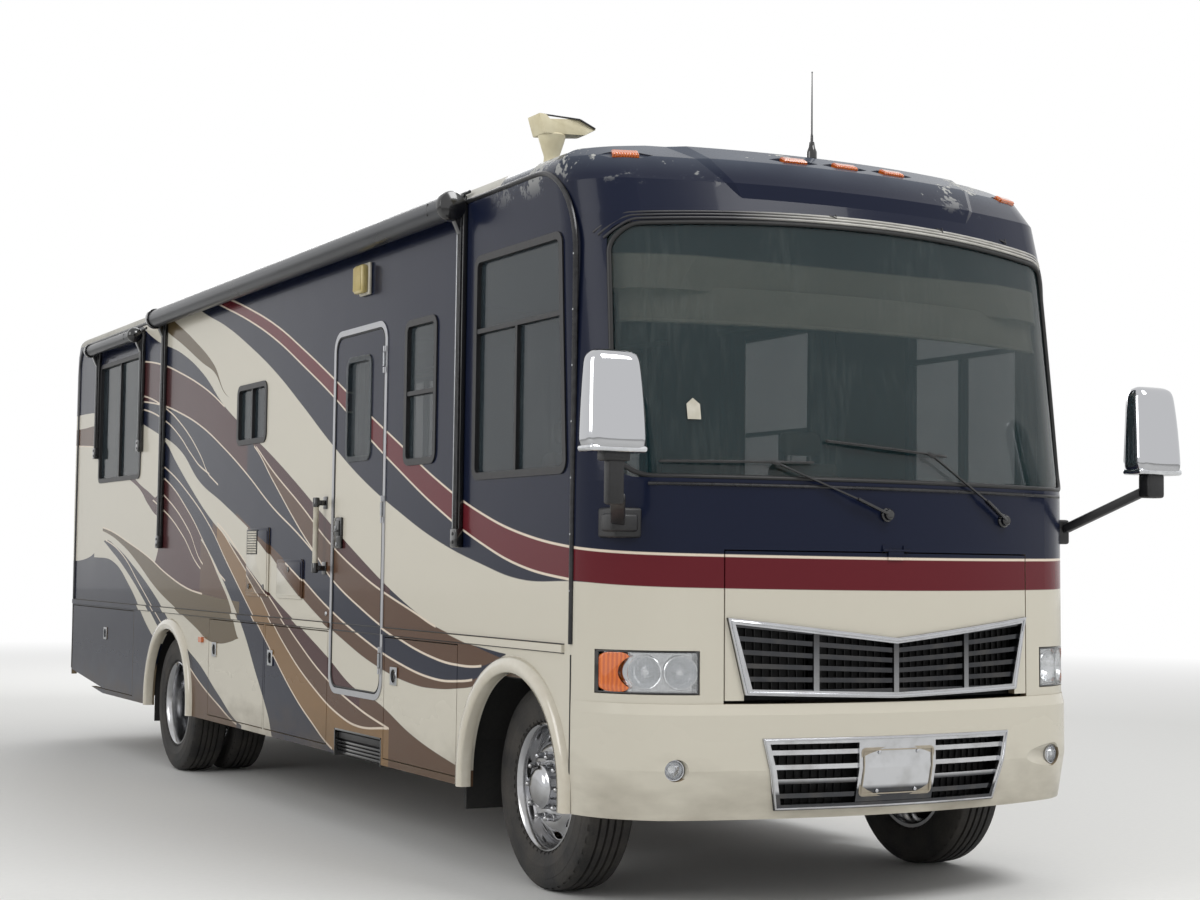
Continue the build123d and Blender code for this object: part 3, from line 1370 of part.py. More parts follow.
def moulded_cover(x, middle_y, sections):
    """A roof unit's cover: rounded rectangles lofted one on another, seated on the roof."""
    rings = [
        Pos(x, middle_y, CREST + height) * RectangleRounded(width, length, radius)
        for height, width, length, radius in sections
    ]
    return loft(rings, ruled=True) - body_solid(-FIT)


def roof_fittings():
    """Air conditioners, vents, antennas and the rear ladder."""
    pieces = [moulded_cover(0, at(station), AC_SECTIONS) for station in AC_STATIONS]
    pieces += [moulded_cover(x, at(station), VENT_SECTIONS) for x, station in VENTS]
    parts["roof_equipment"] = Compound(children=pieces)

    base_y = at(ANTENNA_STATION)
    column = rod((ANTENNA_X, base_y, CREST - 200), (ANTENNA_X, base_y, ANTENNA_Z), 42) - body_solid(-FIT)
    head = Polyline(
        (-165, ANTENNA_Z), (165, ANTENNA_Z), (185, ANTENNA_Z + ANTENNA_THICKNESS),
        (-185, ANTENNA_Z + ANTENNA_THICKNESS), close=True,
    )
    wings = front_prism(Pos(ANTENNA_X, 0) * make_face(head), base_y - 60, base_y + 60)
    whip_y = at(WHIP_STATION)
    whip = rod((WHIP_X, whip_y, CREST - 200), (WHIP_X, whip_y, WHIP_FOOT), 14) - body_solid(-FIT) - brow_solid()
    whip = whip + rod((WHIP_X, whip_y, WHIP_FOOT - 10), (WHIP_X, whip_y + 20, WHIP_TOP), 4)
    parts["antennas"] = Compound(children=[column + wings, whip])

    rear = at(BODY_LENGTH)
    ladder = []
    out = rear + LADDER_GAP
    for x in LADDER_RAILS:
        ladder.append(rod((x, out, LADDER_BOTTOM), (x, out, LADDER_TOP), LADDER_RADIUS))
        for height in LADDER_FEET:
            ladder.append(rod((x, rear - 50, height), (x, out, height), 12) - body_solid(-FIT))
    for number in range(LADDER_RUNGS):
        height = LADDER_FIRST_RUNG + number * LADDER_PITCH
        ladder.append(rod((LADDER_RAILS[0], out, height), (LADDER_RAILS[1], out, height), 14))
    parts["rear_ladder"] = joined(ladder)


def cab_and_cabin():
    """Dashboard, steering wheel, seats, overhead cabinet, partition and furniture."""
    room = body_solid(WALL + FIT)
    dash = room & block(-1500, 1500, NOSE_Y, at(DASH_REAR), DASH_BOTTOM, DASH_TOP)
    parts["dashboard"] = dash
    plane = Plane(origin=(STEERING_X, at(STEERING_STATION), STEERING_Z), z_dir=(0, 0.62, 0.78))
    ring = plane * Torus(STEERING_RADIUS, 15)
    spokes = [
        extrude(plane * (Rot(0, 0, turn) * Pos(STEERING_RADIUS / 2, 0) * Rectangle(STEERING_RADIUS, 26)), 10)
        for turn in (0, 180, 270)
    ]
    column = rod(
        (STEERING_X, at(DASH_REAR - FIT), STEERING_Z - 50), (STEERING_X, at(STEERING_STATION + 2), STEERING_Z + 5), 34
    )
    parts["steering_wheel"] = joined([ring, column - dash] + spokes)

    seats = []
    for x in (-SEAT_X, SEAT_X):
        base = block(x - 180, x + 180, at(SEAT_FRONT + 90), at(SEAT_REAR - 110), FLOOR_TOP, SEAT_BOTTOM)
        cushion = block(
            x - SEAT_HALF_WIDTH, x + SEAT_HALF_WIDTH, at(SEAT_FRONT), at(SEAT_REAR), SEAT_BOTTOM, SEAT_TOP
        )
        cushion = fillet(cushion.edges().filter_by(Axis.X), 45)
        half = SEAT_HALF_WIDTH - 10
        foot = Pos(x, at(SEAT_REAR + 30), SEAT_TOP - 80) * Rot(-SEAT_LEAN, 0, 0)
        back = foot * block(-half, half, -80, 80, 0, SEAT_BACK_TOP - SEAT_TOP + 80)
        arms = joined([
            block(edge - 20, edge + 20, at(SEAT_FRONT + 160), at(SEAT_REAR + 10), ARMREST_Z, ARMREST_Z + 60)
            for edge in (x - half - 20, x + half + 20)
        ])
        seats.append(base + cushion + back + arms)
    parts["cab_seats"] = Compound(children=seats)

    parts["overhead_cabinet"] = room & block(
        -1500, 1500, at(OVERHEAD_FRONT), at(CAP_SEAM + 30), OVERHEAD_BOTTOM, OVERHEAD_TOP
    )

    partition = room & block(
        -1500, 1500, at(PARTITION_STATION), at(PARTITION_STATION + PARTITION_THICKNESS), FLOOR_TOP, CREST
    )
    doorway = block(
        -DOORWAY_HALF_WIDTH, DOORWAY_HALF_WIDTH, at(PARTITION_STATION - 10),
        at(PARTITION_STATION + PARTITION_THICKNESS + 10), FLOOR_TOP, DOORWAY_TOP,
    )
    furniture = [partition - doorway]
    for inner, outer, front, rear, top in (SOFA, GALLEY, DINETTE, BED):
        furniture.append(room & block(inner, outer, at(front), at(rear), FLOOR_TOP, top))
    furniture[1] = furniture[1] + (
        room & block(SOFA_BACK_X, SOFA[1], at(SOFA[2]), at(SOFA[3]), SOFA[4] - 20, SOFA_BACK_TOP)
    )
    parts["cabin_furniture"] = Compound(children=furniture)


body_panels()
glazing()
front_fittings()
small_lamps()
entry_door()
bay_doors()
underbody()
running_gear()
side_fittings()
roof_fittings()
cab_and_cabin()

os.makedirs("parts", exist_ok=True)
for name, shape in parts.items():
    export_step(shape, "parts/" + name + ".step")
    print(name, len(shape.solids()), round(shape.volume / 1e6, 2))
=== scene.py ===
import math

import bpy
from mathutils import Matrix, Vector


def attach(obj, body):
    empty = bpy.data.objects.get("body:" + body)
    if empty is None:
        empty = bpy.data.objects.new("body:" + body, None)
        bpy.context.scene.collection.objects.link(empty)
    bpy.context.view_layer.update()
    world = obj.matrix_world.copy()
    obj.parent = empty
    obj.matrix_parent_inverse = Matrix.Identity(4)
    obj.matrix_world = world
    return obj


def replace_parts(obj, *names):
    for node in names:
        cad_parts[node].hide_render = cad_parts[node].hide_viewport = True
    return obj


# Looks of the motorhome. Metres, +Z up; it faces -Y and its door side is -X.
# Stations are metres behind the nose.
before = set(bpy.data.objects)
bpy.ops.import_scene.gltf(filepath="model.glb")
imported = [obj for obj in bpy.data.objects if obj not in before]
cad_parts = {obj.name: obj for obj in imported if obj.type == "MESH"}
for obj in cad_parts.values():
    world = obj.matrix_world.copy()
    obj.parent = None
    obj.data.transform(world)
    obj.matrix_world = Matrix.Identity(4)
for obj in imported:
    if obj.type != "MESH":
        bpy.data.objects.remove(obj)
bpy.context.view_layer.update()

NOSE_Y = -4.8405
HALF_WIDTH = 1.28
FRONT_AXLE = 1.12
REAR_AXLE = 6.64
AXLE_Z = 0.462
FRONT_TYRE_X = 1.01
DUAL_OUTER_X = 1.105
DUAL_SPACING = 0.29
NOSE_BOW = 3.25

# Just outside the wall on the door side, the cabin's floor, and the inside of the walls
SKIN_X = -1.2805
FLOOR_Z = 1.09
LINING_X = 1.235


def at(station):
    return NOSE_Y + station


def shade(red, green, blue):
    """A colour as it is seen, 0 to 255 a channel, in the linear values that Blender mixes."""
    channels = []
    for level in (red, green, blue):
        share = level / 255
        channels.append(share / 12.92 if share < 0.04 else ((share + 0.055) / 1.055) ** 2.4)
    return (*channels, 1.0)


# Shader maths

# Where the curves of the painted edges end: station and height
CURVE_LENGTH = 9.8
CURVE_TOP = 4.0


class Value:
    """A socket of one material, so that shader maths reads as plain Python."""

    def __init__(self, owner, socket):
        self.owner = owner
        self.socket = socket

    def __add__(self, other):
        return maths("ADD", self, other)

    def __sub__(self, other):
        return maths("SUBTRACT", self, other)

    def __rsub__(self, other):
        return maths("SUBTRACT", other, self)

    def __mul__(self, other):
        return maths("MULTIPLY", self, other)

    def __truediv__(self, other):
        return maths("DIVIDE", self, other)

    __radd__ = __add__
    __rmul__ = __mul__


def maths(operation, *terms, clamp=False):
    """One Math node on sockets and numbers."""
    owner = next(term.owner for term in terms if isinstance(term, Value))
    return owner.node("ShaderNodeMath", {"operation": operation, "use_clamp": clamp}, dict(enumerate(terms)))


def above(value, level, soft=0.003):
    """1 where the value is over the level, 0 where it is under, with a short soft edge."""
    return maths("MULTIPLY_ADD", value - level, 1 / soft, 0.5, clamp=True)


def between(value, low, high):
    """1 between two levels."""
    return above(value, low) * (1 - above(value, high))


def line(value, level, width, soft=0.002):
    """1 on a thin line at a level."""
    return above(width / 2 - maths("ABSOLUTE", value - level), 0, soft)


class Finish:
    """A material's nodes, with the place on the object and the patterns that finishes share."""

    def __init__(self, name):
        self.material = bpy.data.materials.new(name)
        self.material.use_nodes = True
        self.tree = self.material.node_tree
        self.tree.nodes.clear()
        self.place = self.node("ShaderNodeTexCoord", output="Object")
        self.x, self.y, self.z = self.split(self.place)

    def node(self, kind, settings=None, inputs=None, output=0):
        """Adds a node with its settings, then its sockets as numbers or links, and gives one output."""
        new = self.tree.nodes.new(kind)
        for name, setting in (settings or {}).items():
            setattr(new, name, setting)
        for name, level in (inputs or {}).items():
            if isinstance(level, Value):
                self.tree.links.new(level.socket, new.inputs[name])
            else:
                new.inputs[name].default_value = level
        return Value(self, new.outputs[output]) if new.outputs else None

    def split(self, vector):
        """A vector's three numbers."""
        first = self.node("ShaderNodeSeparateXYZ", None, {0: vector})
        outputs = first.socket.node.outputs
        return first, Value(self, outputs[1]), Value(self, outputs[2])

    def stretched(self, *factors):
        """The place with each axis stretched."""
        return self.node("ShaderNodeVectorMath", {"operation": "MULTIPLY"}, {0: self.place, 1: factors})

    def noise(self, scale, detail=3.0, stretch=(1, 1, 1), roughness=0.5):
        """Cloudy noise, 0 to 1 about 0.5; stretch multiplies the place."""
        return self.node(
            "ShaderNodeTexNoise",
            None,
            {"Vector": self.stretched(*stretch), "Scale": scale, "Detail": detail, "Roughness": roughness},
        )

    def cells(self, scale):
        """Distance to scattered points, for pebbled grain."""
        return self.node("ShaderNodeTexVoronoi", None, {"Vector": self.place, "Scale": scale})

    def mix(self, first, second, factor):
        """One colour turning into another."""
        return self.node("ShaderNodeMix", {"data_type": "RGBA"}, {0: factor, 6: first, 7: second}, 2)

    def curve(self, along, points):
        """A height read off a smooth curve through (station, height) points."""
        height = self.node("ShaderNodeFloatCurve", None, {"Factor": 1.0, "Value": along / CURVE_LENGTH})
        mapping = height.socket.node.mapping
        line_curve = mapping.curves[0]
        for station, level in points[1:-1]:
            line_curve.points.new(station / CURVE_LENGTH, level / CURVE_TOP)
        ends = (line_curve.points[0], line_curve.points[-1])
        for point, (station, level) in zip(ends, (points[0], points[-1])):
            point.location = (station / CURVE_LENGTH, level / CURVE_TOP)
        mapping.update()
        return height * CURVE_TOP

    def bump(self, height, depth):
        """A normal from a height, where 1 stands depth metres proud."""
        return self.node("ShaderNodeBump", None, {"Strength": 1.0, "Distance": depth, "Height": height},
                         "Normal")

    def surface(self, colour, roughness, metallic=0.0, normal=None, **constants):
        """Ends the material in a Principled shader. Constants are named with _ for a space."""
        sockets = {"Base Color": colour, "Roughness": roughness, "Metallic": metallic}
        if normal:
            sockets["Normal"] = normal
        for name, level in constants.items():
            sockets[name.replace("_", " ").title().replace("Ior", "IOR")] = level
        shader = self.node("ShaderNodeBsdfPrincipled", None, sockets)
        self.node("ShaderNodeOutputMaterial", None, {"Surface": shader})
        return self.material


# The painted sweeps: (station, height) points along each edge, from the door side
EDGES = {
    "navy_low": [(0, 1.366), (0.5, 1.39), (1.05, 1.392), (1.5, 1.462), (2.0, 1.57), (2.5, 1.72), (3.0, 1.895),
                 (3.5, 2.115), (4.0, 2.363), (4.5, 2.6), (5.0, 2.8), (5.5, 2.975), (6.0, 3.115), (6.5, 3.28),
                 (7.5, 3.6), (9.8, 3.9)],
    "maroon_top": [(0, 1.503), (0.5, 1.53), (1.05, 1.596), (1.5, 1.698), (2.0, 1.862), (2.5, 2.066),
                   (3.0, 2.27), (3.5, 2.485), (4.0, 2.69), (4.5, 2.88), (5.0, 3.031), (5.5, 3.16), (6.5, 3.4),
                   (9.8, 3.9)],
    "maroon_low": [(0, 1.366), (0.6, 1.4), (1.05, 1.451), (1.5, 1.56), (2.0, 1.727), (2.5, 1.93), (3.0, 2.15),
                   (3.5, 2.385), (4.0, 2.595), (4.5, 2.794), (5.0, 2.956), (5.5, 3.092), (6.5, 3.34),
                   (9.8, 3.88)],
    "middle_top": [(0, 1.02), (1.2, 1.055), (1.5, 1.075), (1.75, 1.09), (2.0, 1.147), (2.5, 1.29),
                   (3.0, 1.47), (3.7, 1.755), (4.0, 1.882), (4.5, 2.082), (5.0, 2.265), (5.5, 2.455),
                   (6.0, 2.708), (6.5, 2.884), (7.2, 3.05), (7.6, 3.2), (8.2, 3.6), (9.8, 3.9)],
    "rust_line": [(0, 0.9), (2.0, 1.15), (2.25, 1.207), (2.78, 1.328), (3.0, 1.39), (3.47, 1.55),
                  (4.0, 1.787), (4.5, 1.998), (4.83, 2.16), (5.2, 2.33), (9.8, 3.9)],
    "rust_low": [(0, 0.9), (3.5, 1.38), (3.71, 1.493), (4.0, 1.645), (4.5, 1.942), (4.87, 2.165), (9.8, 3.9)],
    "middle_line": [(0, 1.0), (1.2, 1.04), (1.46, 0.987), (1.75, 0.978), (2.0, 0.995), (2.5, 1.08),
                    (3.0, 1.211), (3.47, 1.369), (3.7, 1.485), (4.0, 1.607), (4.5, 1.783), (5.0, 1.996),
                    (5.5, 2.186), (6.0, 2.35), (6.5, 2.47), (7.0, 2.56), (8.0, 2.66), (9.8, 2.8)],
    "sliver_low": [(0, 0.9), (5.35, 2.40), (5.75, 2.543), (6.0, 2.62), (6.5, 2.746), (7.0, 2.85),
                   (7.5, 2.915), (9.8, 3.1)],
    "bronze_top": [(0, 2.2), (5.4, 2.505), (5.75, 2.746), (6.25, 2.965), (6.75, 3.145), (7.5, 3.4),
                   (9.8, 3.9)],
    "bronze_low": [(0, 2.4), (5.4, 2.505), (5.75, 2.699), (6.0, 2.776), (6.5, 2.95), (6.85, 3.062),
                   (7.5, 3.3), (9.8, 3.8)],
    "middle_low": [(0, 1.1), (1.2, 1.05), (1.5, 0.9), (1.75, 0.865), (2.0, 0.85), (2.25, 0.853),
                   (2.78, 0.923), (3.25, 1.033), (3.75, 1.183), (4.25, 1.378), (4.75, 1.59), (5.5, 1.83),
                   (6.0, 1.975), (6.5, 2.215), (7.12, 2.37), (8.0, 2.54), (8.8, 2.615), (9.8, 2.63)],
    "tan_line": [(0, 1.1), (1.2, 1.05), (1.5, 0.93), (1.75, 0.9), (2.0, 0.896), (2.5, 0.956), (3.0, 1.063),
                 (3.5, 1.202), (4.0, 1.378), (4.5, 1.545), (4.9, 1.66), (5.5, 1.84), (9.8, 2.5)],
    "upper_fan": [(0, 1.0), (5.77, 2.005), (6.0, 2.15), (6.25, 2.29), (6.5, 2.4), (6.8, 2.505), (7.5, 2.66),
                  (9.8, 2.8)],
    "lower_fan": [(0, 1.0), (5.95, 2.065), (6.25, 2.185), (6.5, 2.305), (6.85, 2.43), (7.5, 2.56),
                  (9.8, 2.7)],
    "low_top": [(0, 0.3), (1.62, 0.49), (1.75, 0.507), (2.25, 0.596), (2.78, 0.74), (3.07, 0.783),
                (3.5, 0.93), (4.0, 1.094), (4.5, 1.259), (5.0, 1.455), (5.4, 1.6), (5.8, 1.75), (6.25, 1.96),
                (6.6, 2.14), (6.9, 2.3), (9.8, 3.0)],
    "low_right": [(0, -0.2), (4.3, 0.32), (4.5, 0.542), (4.75, 0.78), (5.01, 1.027), (5.28, 1.217),
                  (5.5, 1.36), (5.95, 1.6), (9.8, 2.9)],
    "claret_line": [(0, 0.2), (2.58, 0.609), (3.0, 0.68), (3.5, 0.808), (4.0, 0.999), (4.5, 1.232),
                    (5.0, 1.45), (5.6, 1.7), (9.8, 2.6)],
    "tan_top": [(0, 0.6), (2.58, 0.609), (3.0, 0.587), (3.25, 0.616), (3.75, 0.761), (4.25, 0.98),
                (4.75, 1.274), (5.2, 1.5), (5.6, 1.68), (9.8, 2.6)],
    "tan_low": [(0, 0.2), (3.2, 0.4), (3.43, 0.443), (3.75, 0.56), (4.0, 0.666), (4.5, 0.94), (5.0, 1.225),
                (5.4, 1.46), (5.75, 1.675), (6.25, 1.9), (6.84, 2.1), (9.8, 2.7)],
    "strip_low": [(0, -0.2), (5.1, 0.97), (5.2, 1.065), (5.31, 1.19), (5.5, 1.32), (5.95, 1.59), (9.8, 2.8)],
    "navy_fan": [(0, 0.2), (5.5, 1.36), (5.8, 1.525), (6.25, 1.78), (6.84, 2.02), (9.8, 2.6)],
    "third_fan": [(0, 0.2), (5.9, 1.43), (6.25, 1.66), (6.84, 1.9), (9.8, 2.6)],
    "fourth_fan": [(0, 0.2), (5.95, 1.40), (6.4, 1.63), (6.84, 1.795), (9.8, 2.4)],
    "olive_top": [(0, 1.22), (5.1, 1.2), (6.0, 1.24), (6.25, 1.264), (6.75, 1.354), (7.25, 1.474),
                  (7.75, 1.57), (8.5, 1.69), (9.8, 1.75)],
    "olive_low": [(0, 0.97), (5.1, 0.97), (5.25, 0.945), (5.5, 0.922), (5.75, 0.935), (6.0, 1.0), (6.5, 1.12),
                  (7.0, 1.246), (7.6, 1.45), (7.9, 1.54), (8.5, 1.66), (9.8, 1.75)],
    "rear_top": [(0, 0.3), (5.01, 0.438), (5.5, 0.6), (5.9, 0.761), (6.22, 0.86), (6.7, 1.045), (7.0, 1.18),
                 (7.6, 1.39), (8.2, 1.555), (8.5, 1.6), (8.8, 1.51), (9.1, 1.455), (9.8, 1.44)],
    "rear_line": [(0, 0.2), (5.105, 0.438), (5.5, 0.533), (5.9, 0.647), (6.25, 0.775), (6.6, 0.9),
                  (6.88, 1.015), (7.5, 1.285), (8.0, 1.495), (8.5, 1.6), (9.8, 1.7)],
    "stripe_top": [(0, 0.2), (6.5, 0.8), (6.88, 0.95), (7.25, 1.12), (7.75, 1.33), (8.25, 1.5), (8.8, 1.64),
                   (9.8, 1.7)],
    "stripe_low": [(0, 0.2), (6.5, 0.62), (6.9, 0.83), (7.25, 0.985), (7.75, 1.255), (8.25, 1.435),
                   (8.75, 1.465), (9.8, 1.44)],
    "claret_rear": [(0, 1.6), (7.0, 1.76), (7.3, 1.86), (7.5, 1.96), (8.0, 2.1), (8.4, 2.24), (8.8, 2.33),
                    (9.3, 2.37), (9.8, 2.39)],
    "claret_rear_top": [(0, 1.7), (7.0, 1.88), (7.3, 1.95), (7.6, 2.03), (8.0, 2.2), (8.4, 2.4), (8.8, 2.505),
                        (9.3, 2.515), (9.8, 2.52)],
}

CREAM = shade(203, 198, 184)
NAVY = shade(20, 26, 46)
MAROON = shade(96, 28, 36)
CLARET = shade(66, 32, 34)
BROWN = shade(86, 60, 42)
BRONZE = shade(128, 98, 62)
OLIVE = shade(94, 80, 56)
PINSTRIPE = shade(222, 208, 190)

# The fanned sweeps end at about this station: on a curl round one height, on a slant over another
FAN_END = 7.0
CURL_Z = 1.62
CURL_STATION = 6.97
CURL_BEND = 3
SLANT_Z = 1.9
SLANT = 0.28

# A first station under 0 or a last one past the tail leaves that side open
PAST_TAIL = 10

# Painted one over another: colour, lower edge, upper edge, first station, last station
SWEEPS = [
    (NAVY, "navy_low", None, -1, PAST_TAIL),
    (MAROON, "maroon_low", "maroon_top", -1, PAST_TAIL),
    (NAVY, "middle_low", "middle_top", 1.2, PAST_TAIL),
    (BROWN, "middle_line", "rust_line", 1.2, 3.5),
    (BROWN, "rust_low", "rust_line", 3.5, 4.9),
    (CLARET, "rust_line", "middle_top", 2.6, 5.0),
    (CLARET, "middle_line", "middle_top", 5.0, 7.6),
    (NAVY, "sliver_low", "middle_top", 5.35, 8.2),
    (BROWN, "middle_low", "tan_line", 1.2, 5.2),
    (OLIVE, "bronze_low", "bronze_top", 5.4, 8.5),
    (NAVY, "low_right", "low_top", 1.6, 6.0),
    (BROWN, "tan_low", "low_top", 1.6, 5.9),
    (BRONZE, "tan_low", "tan_top", 2.58, 5.6),
    (CLARET, "claret_line", "low_top", 3.0, 5.7),
    (CLARET, "olive_low", "low_top", 5.95, FAN_END),
    (NAVY, "navy_fan", "low_top", 5.7, FAN_END),
    (BROWN, "olive_low", "strip_low", 5.1, 5.95),
    (OLIVE, "olive_low", "olive_top", 5.1, 8.6),
    (CREAM, "strip_low", "low_right", 5.05, 5.95),
    (NAVY, None, "rear_top", 5.0, PAST_TAIL),
    (BROWN, None, "rear_line", 5.1, 6.6),
    (CREAM, "stripe_low", "stripe_top", 6.5, 8.85),
    (CLARET, "claret_rear", "claret_rear_top", 7.0, 7.95),
    (BROWN, "claret_rear", "claret_rear_top", 7.95, PAST_TAIL),
]

# Pinstripes: edge, first station, last station
PINSTRIPES = [
    ("maroon_top", -1, 5.7), ("maroon_low", 0.58, 5.9), ("rust_line", 2.0, 4.83), ("rust_low", 3.7, 4.87),
    ("middle_line", 1.46, 7.5), ("sliver_low", 5.5, 7.5), ("tan_line", 1.56, 4.2), ("upper_fan", 5.6, 7.5),
    ("lower_fan", 5.8, 7.5), ("claret_line", 2.58, 5.6), ("tan_top", 2.6, 5.6), ("tan_low", 3.4, FAN_END),
    ("navy_fan", 5.4, FAN_END), ("third_fan", 5.9, FAN_END), ("fourth_fan", 5.95, FAN_END),
    ("olive_top", 5.9, 8.6), ("rear_line", 5.1, 8.5), ("claret_rear", 8.0, PAST_TAIL),
]


# Half the cabin's length, its middle height and half its height, for the mask of its lining
CABIN_REACH = 4.8
CABIN_MIDDLE_Z = 1.9
CABIN_RISE = 1.5


def lining_mask(finish):
    """1 on faces that look into the cabin, 0 on the outside."""
    facing = finish.node("ShaderNodeTexCoord", output="Normal")
    nx, ny, nz = finish.split(facing)
    outward = finish.x * nx / HALF_WIDTH + finish.y * ny / CABIN_REACH
    outward = outward + (finish.z - CABIN_MIDDLE_Z) * nz / CABIN_RISE
    return 1 - above(outward, -0.08, 0.1)


def body_paint():
    """Clear-coated paint with the sweeps, road grime low down, and a coat that peels on top of the cap."""
    paint = Finish("body_paint")
    station = paint.y - NOSE_Y
    edges = {name: paint.curve(station, points) for name, points in EDGES.items()}
    over = {name: above(paint.z, edge, 0.004) for name, edge in edges.items()}
    bulge = paint.z - CURL_Z
    curled = bulge * bulge * CURL_BEND + CURL_STATION
    slanted = (SLANT_Z - paint.z) * SLANT + FAN_END
    fan_end = curled + (slanted - curled) * above(paint.z, SLANT_Z, 0.04)
    before_end = 1 - above(station - fan_end, 0)

    def bounded(mask, first, last):
        if first > 0:
            mask = mask * above(station, first)
        if last < PAST_TAIL:
            mask = mask * (before_end if last == FAN_END else 1 - above(station, last))
        return mask

    colour = CREAM
    for tint, low, high, first, last in SWEEPS:
        mask = over[low] if low else 1 - over[high]
        if low and high:
            mask = mask * (1 - over[high])
        colour = paint.mix(colour, tint, bounded(mask, first, last))
    stripes = None
    for name, first, last in PINSTRIPES:
        mask = bounded(line(paint.z, edges[name], 0.011, 0.003), first, last)
        stripes = maths("MAXIMUM", stripes, mask) if stripes else mask
    colour = paint.mix(colour, PINSTRIPE, stripes)

    sheen = paint.noise(5, 2.0)

    # Weather: chalky patches where the coat has peeled on the cap's top, and grime near the road
    blotch = paint.noise(2.6, 6.0, (1, 1.4, 1.2), 0.62)
    flakes = paint.noise(38, 4.0, (1, 1.3, 1))
    top = above(paint.z, 3.17, 0.16) * (1 - above(station, 1.3, 0.3))
    peeled = above(blotch + flakes * 0.28 - 0.14, 0.615 - 0.02 * top, 0.03) * top
    rim = above(blotch + flakes * 0.28 - 0.14, 0.585, 0.05) * top
    colour = paint.mix(colour, shade(98, 106, 118), top * above(paint.z, 3.2, 0.12) * (0.3 + sheen * 0.5))
    colour = paint.mix(colour, shade(64, 70, 82), rim * 0.8)
    colour = paint.mix(colour, shade(186, 186, 182), peeled)
    grime = paint.noise(3.5, 5.0, (1, 1, 2.5)) * (1 - above(paint.z, 0.62, 0.5))
    colour = paint.mix(colour, shade(96, 84, 68), above(grime, 0.42, 0.4) * 0.5)
    lining = lining_mask(paint)
    weave = paint.noise(240, 2.0)
    # The lining is beige cloth, partly painted darker tan here as the shade inside the cabin
    cloth = paint.mix(shade(124, 110, 90), shade(146, 132, 110), weave)
    colour = paint.mix(colour, cloth, lining)
    dull = maths("MAXIMUM", peeled, lining)
    rough = 0.2 + sheen * 0.08 + dull * 0.5 + grime * 0.3
    wave = paint.noise(1.6, 1.0, (1, 1, 1.4))
    height = wave * 0.5 + flakes * peeled * 0.2 - peeled * 0.12 + weave * lining * 0.05
    return paint.surface(
        colour, rough, 0.0, paint.bump(height, 0.004), ior=1.2, coat_weight=(1 - dull) * 0.22,
        coat_roughness=0.04, coat_ior=1.3,
    )


def plain(name, light, dark, roughness, metallic=0.0, grain=60, depth=0.0, stretch=(1, 1, 1), **constants):
    """A finish with a fine two-tone mottle and a matching bump."""
    finish = Finish(name)
    fine = finish.noise(grain, 4.0, stretch)
    broad = finish.noise(grain / 14, 3.0)
    colour = finish.mix(dark, light, maths("MULTIPLY_ADD", fine + broad, 1.4, -0.9, clamp=True))
    rough = roughness + (broad - 0.5) * 0.16
    normal = finish.bump(fine, depth) if depth else None
    return finish.surface(colour, rough, metallic, normal, **constants)


def chrome():
    """Polished chrome with faint dust that dulls it low down."""
    finish = Finish("chrome")
    dust = finish.noise(9, 5.0) * (1 - above(finish.z, 0.75, 0.6))
    colour = finish.mix(shade(186, 187, 190), shade(118, 112, 102), above(dust, 0.52, 0.35) * 0.45)
    rough = 0.05 + finish.noise(30, 3.0) * 0.05 + dust * 0.22
    return finish.surface(colour, rough, 1.0, finish.bump(finish.noise(6, 2.0), 0.0006))


def grille_chrome():
    """Chromed frame with darker slats set back behind it."""
    finish = Finish("grille_chrome")
    bow = NOSE_BOW - maths("SQRT", NOSE_BOW**2 - finish.x * finish.x)
    depth = finish.y - NOSE_Y - bow
    set_back = above(depth, -0.0035, 0.004)
    dust = finish.noise(12, 5.0)
    colour = finish.mix(shade(206, 207, 210), shade(74, 75, 78), set_back)
    colour = finish.mix(colour, shade(112, 106, 98), above(dust, 0.6, 0.3) * 0.3)
    return finish.surface(colour, 0.1 + dust * 0.14, 0.95, finish.bump(finish.noise(8, 2.0), 0.0005))


def glass(name, tint, alpha):
    """Tinted glass with a film of dust and dried streaks."""
    finish = Finish(name)
    streaks = finish.noise(7, 4.0, (7, 7, 0.5))
    film = finish.noise(2.2, 4.0)
    colour = finish.mix(tint, shade(150, 156, 150), above(streaks * film, 0.34, 0.2) * 0.10)
    clear = alpha + above(streaks * film, 0.34, 0.2) * 0.05
    return finish.surface(colour, 0.03 + film * 0.03, 0.0, None, alpha=clear, ior=1.5)


def lens(name, light, dark, alpha):
    """A lamp's moulded lens with fine ribs."""
    finish = Finish(name)
    ribs = finish.node(
        "ShaderNodeTexWave",
        {"wave_type": "BANDS", "bands_direction": "X", "wave_profile": "SIN"},
        {"Vector": finish.place, "Scale": 28.0, "Distortion": 0.0},
    )
    colour = finish.mix(dark, light, ribs * 0.6 + finish.noise(20, 2.0) * 0.4)
    return finish.surface(
        colour, 0.08 + ribs * 0.04, 0.0, finish.bump(ribs, 0.0012), alpha=alpha, coat_weight=1.0,
        coat_roughness=0.03
    )


def tyre_rubber():
    """Dusty black rubber with grey patches of dust scattered over it."""
    finish = Finish("tyre_rubber")
    fine = finish.noise(90, 5.0)
    broad = finish.noise(7, 4.0)
    colour = finish.mix(shade(26, 26, 27), shade(70, 66, 61), above(broad + fine * 0.3, 0.66, 0.4) * 0.7)
    return finish.surface(colour, 0.62 + broad * 0.25, 0.0, finish.bump(fine + broad, 0.0015))


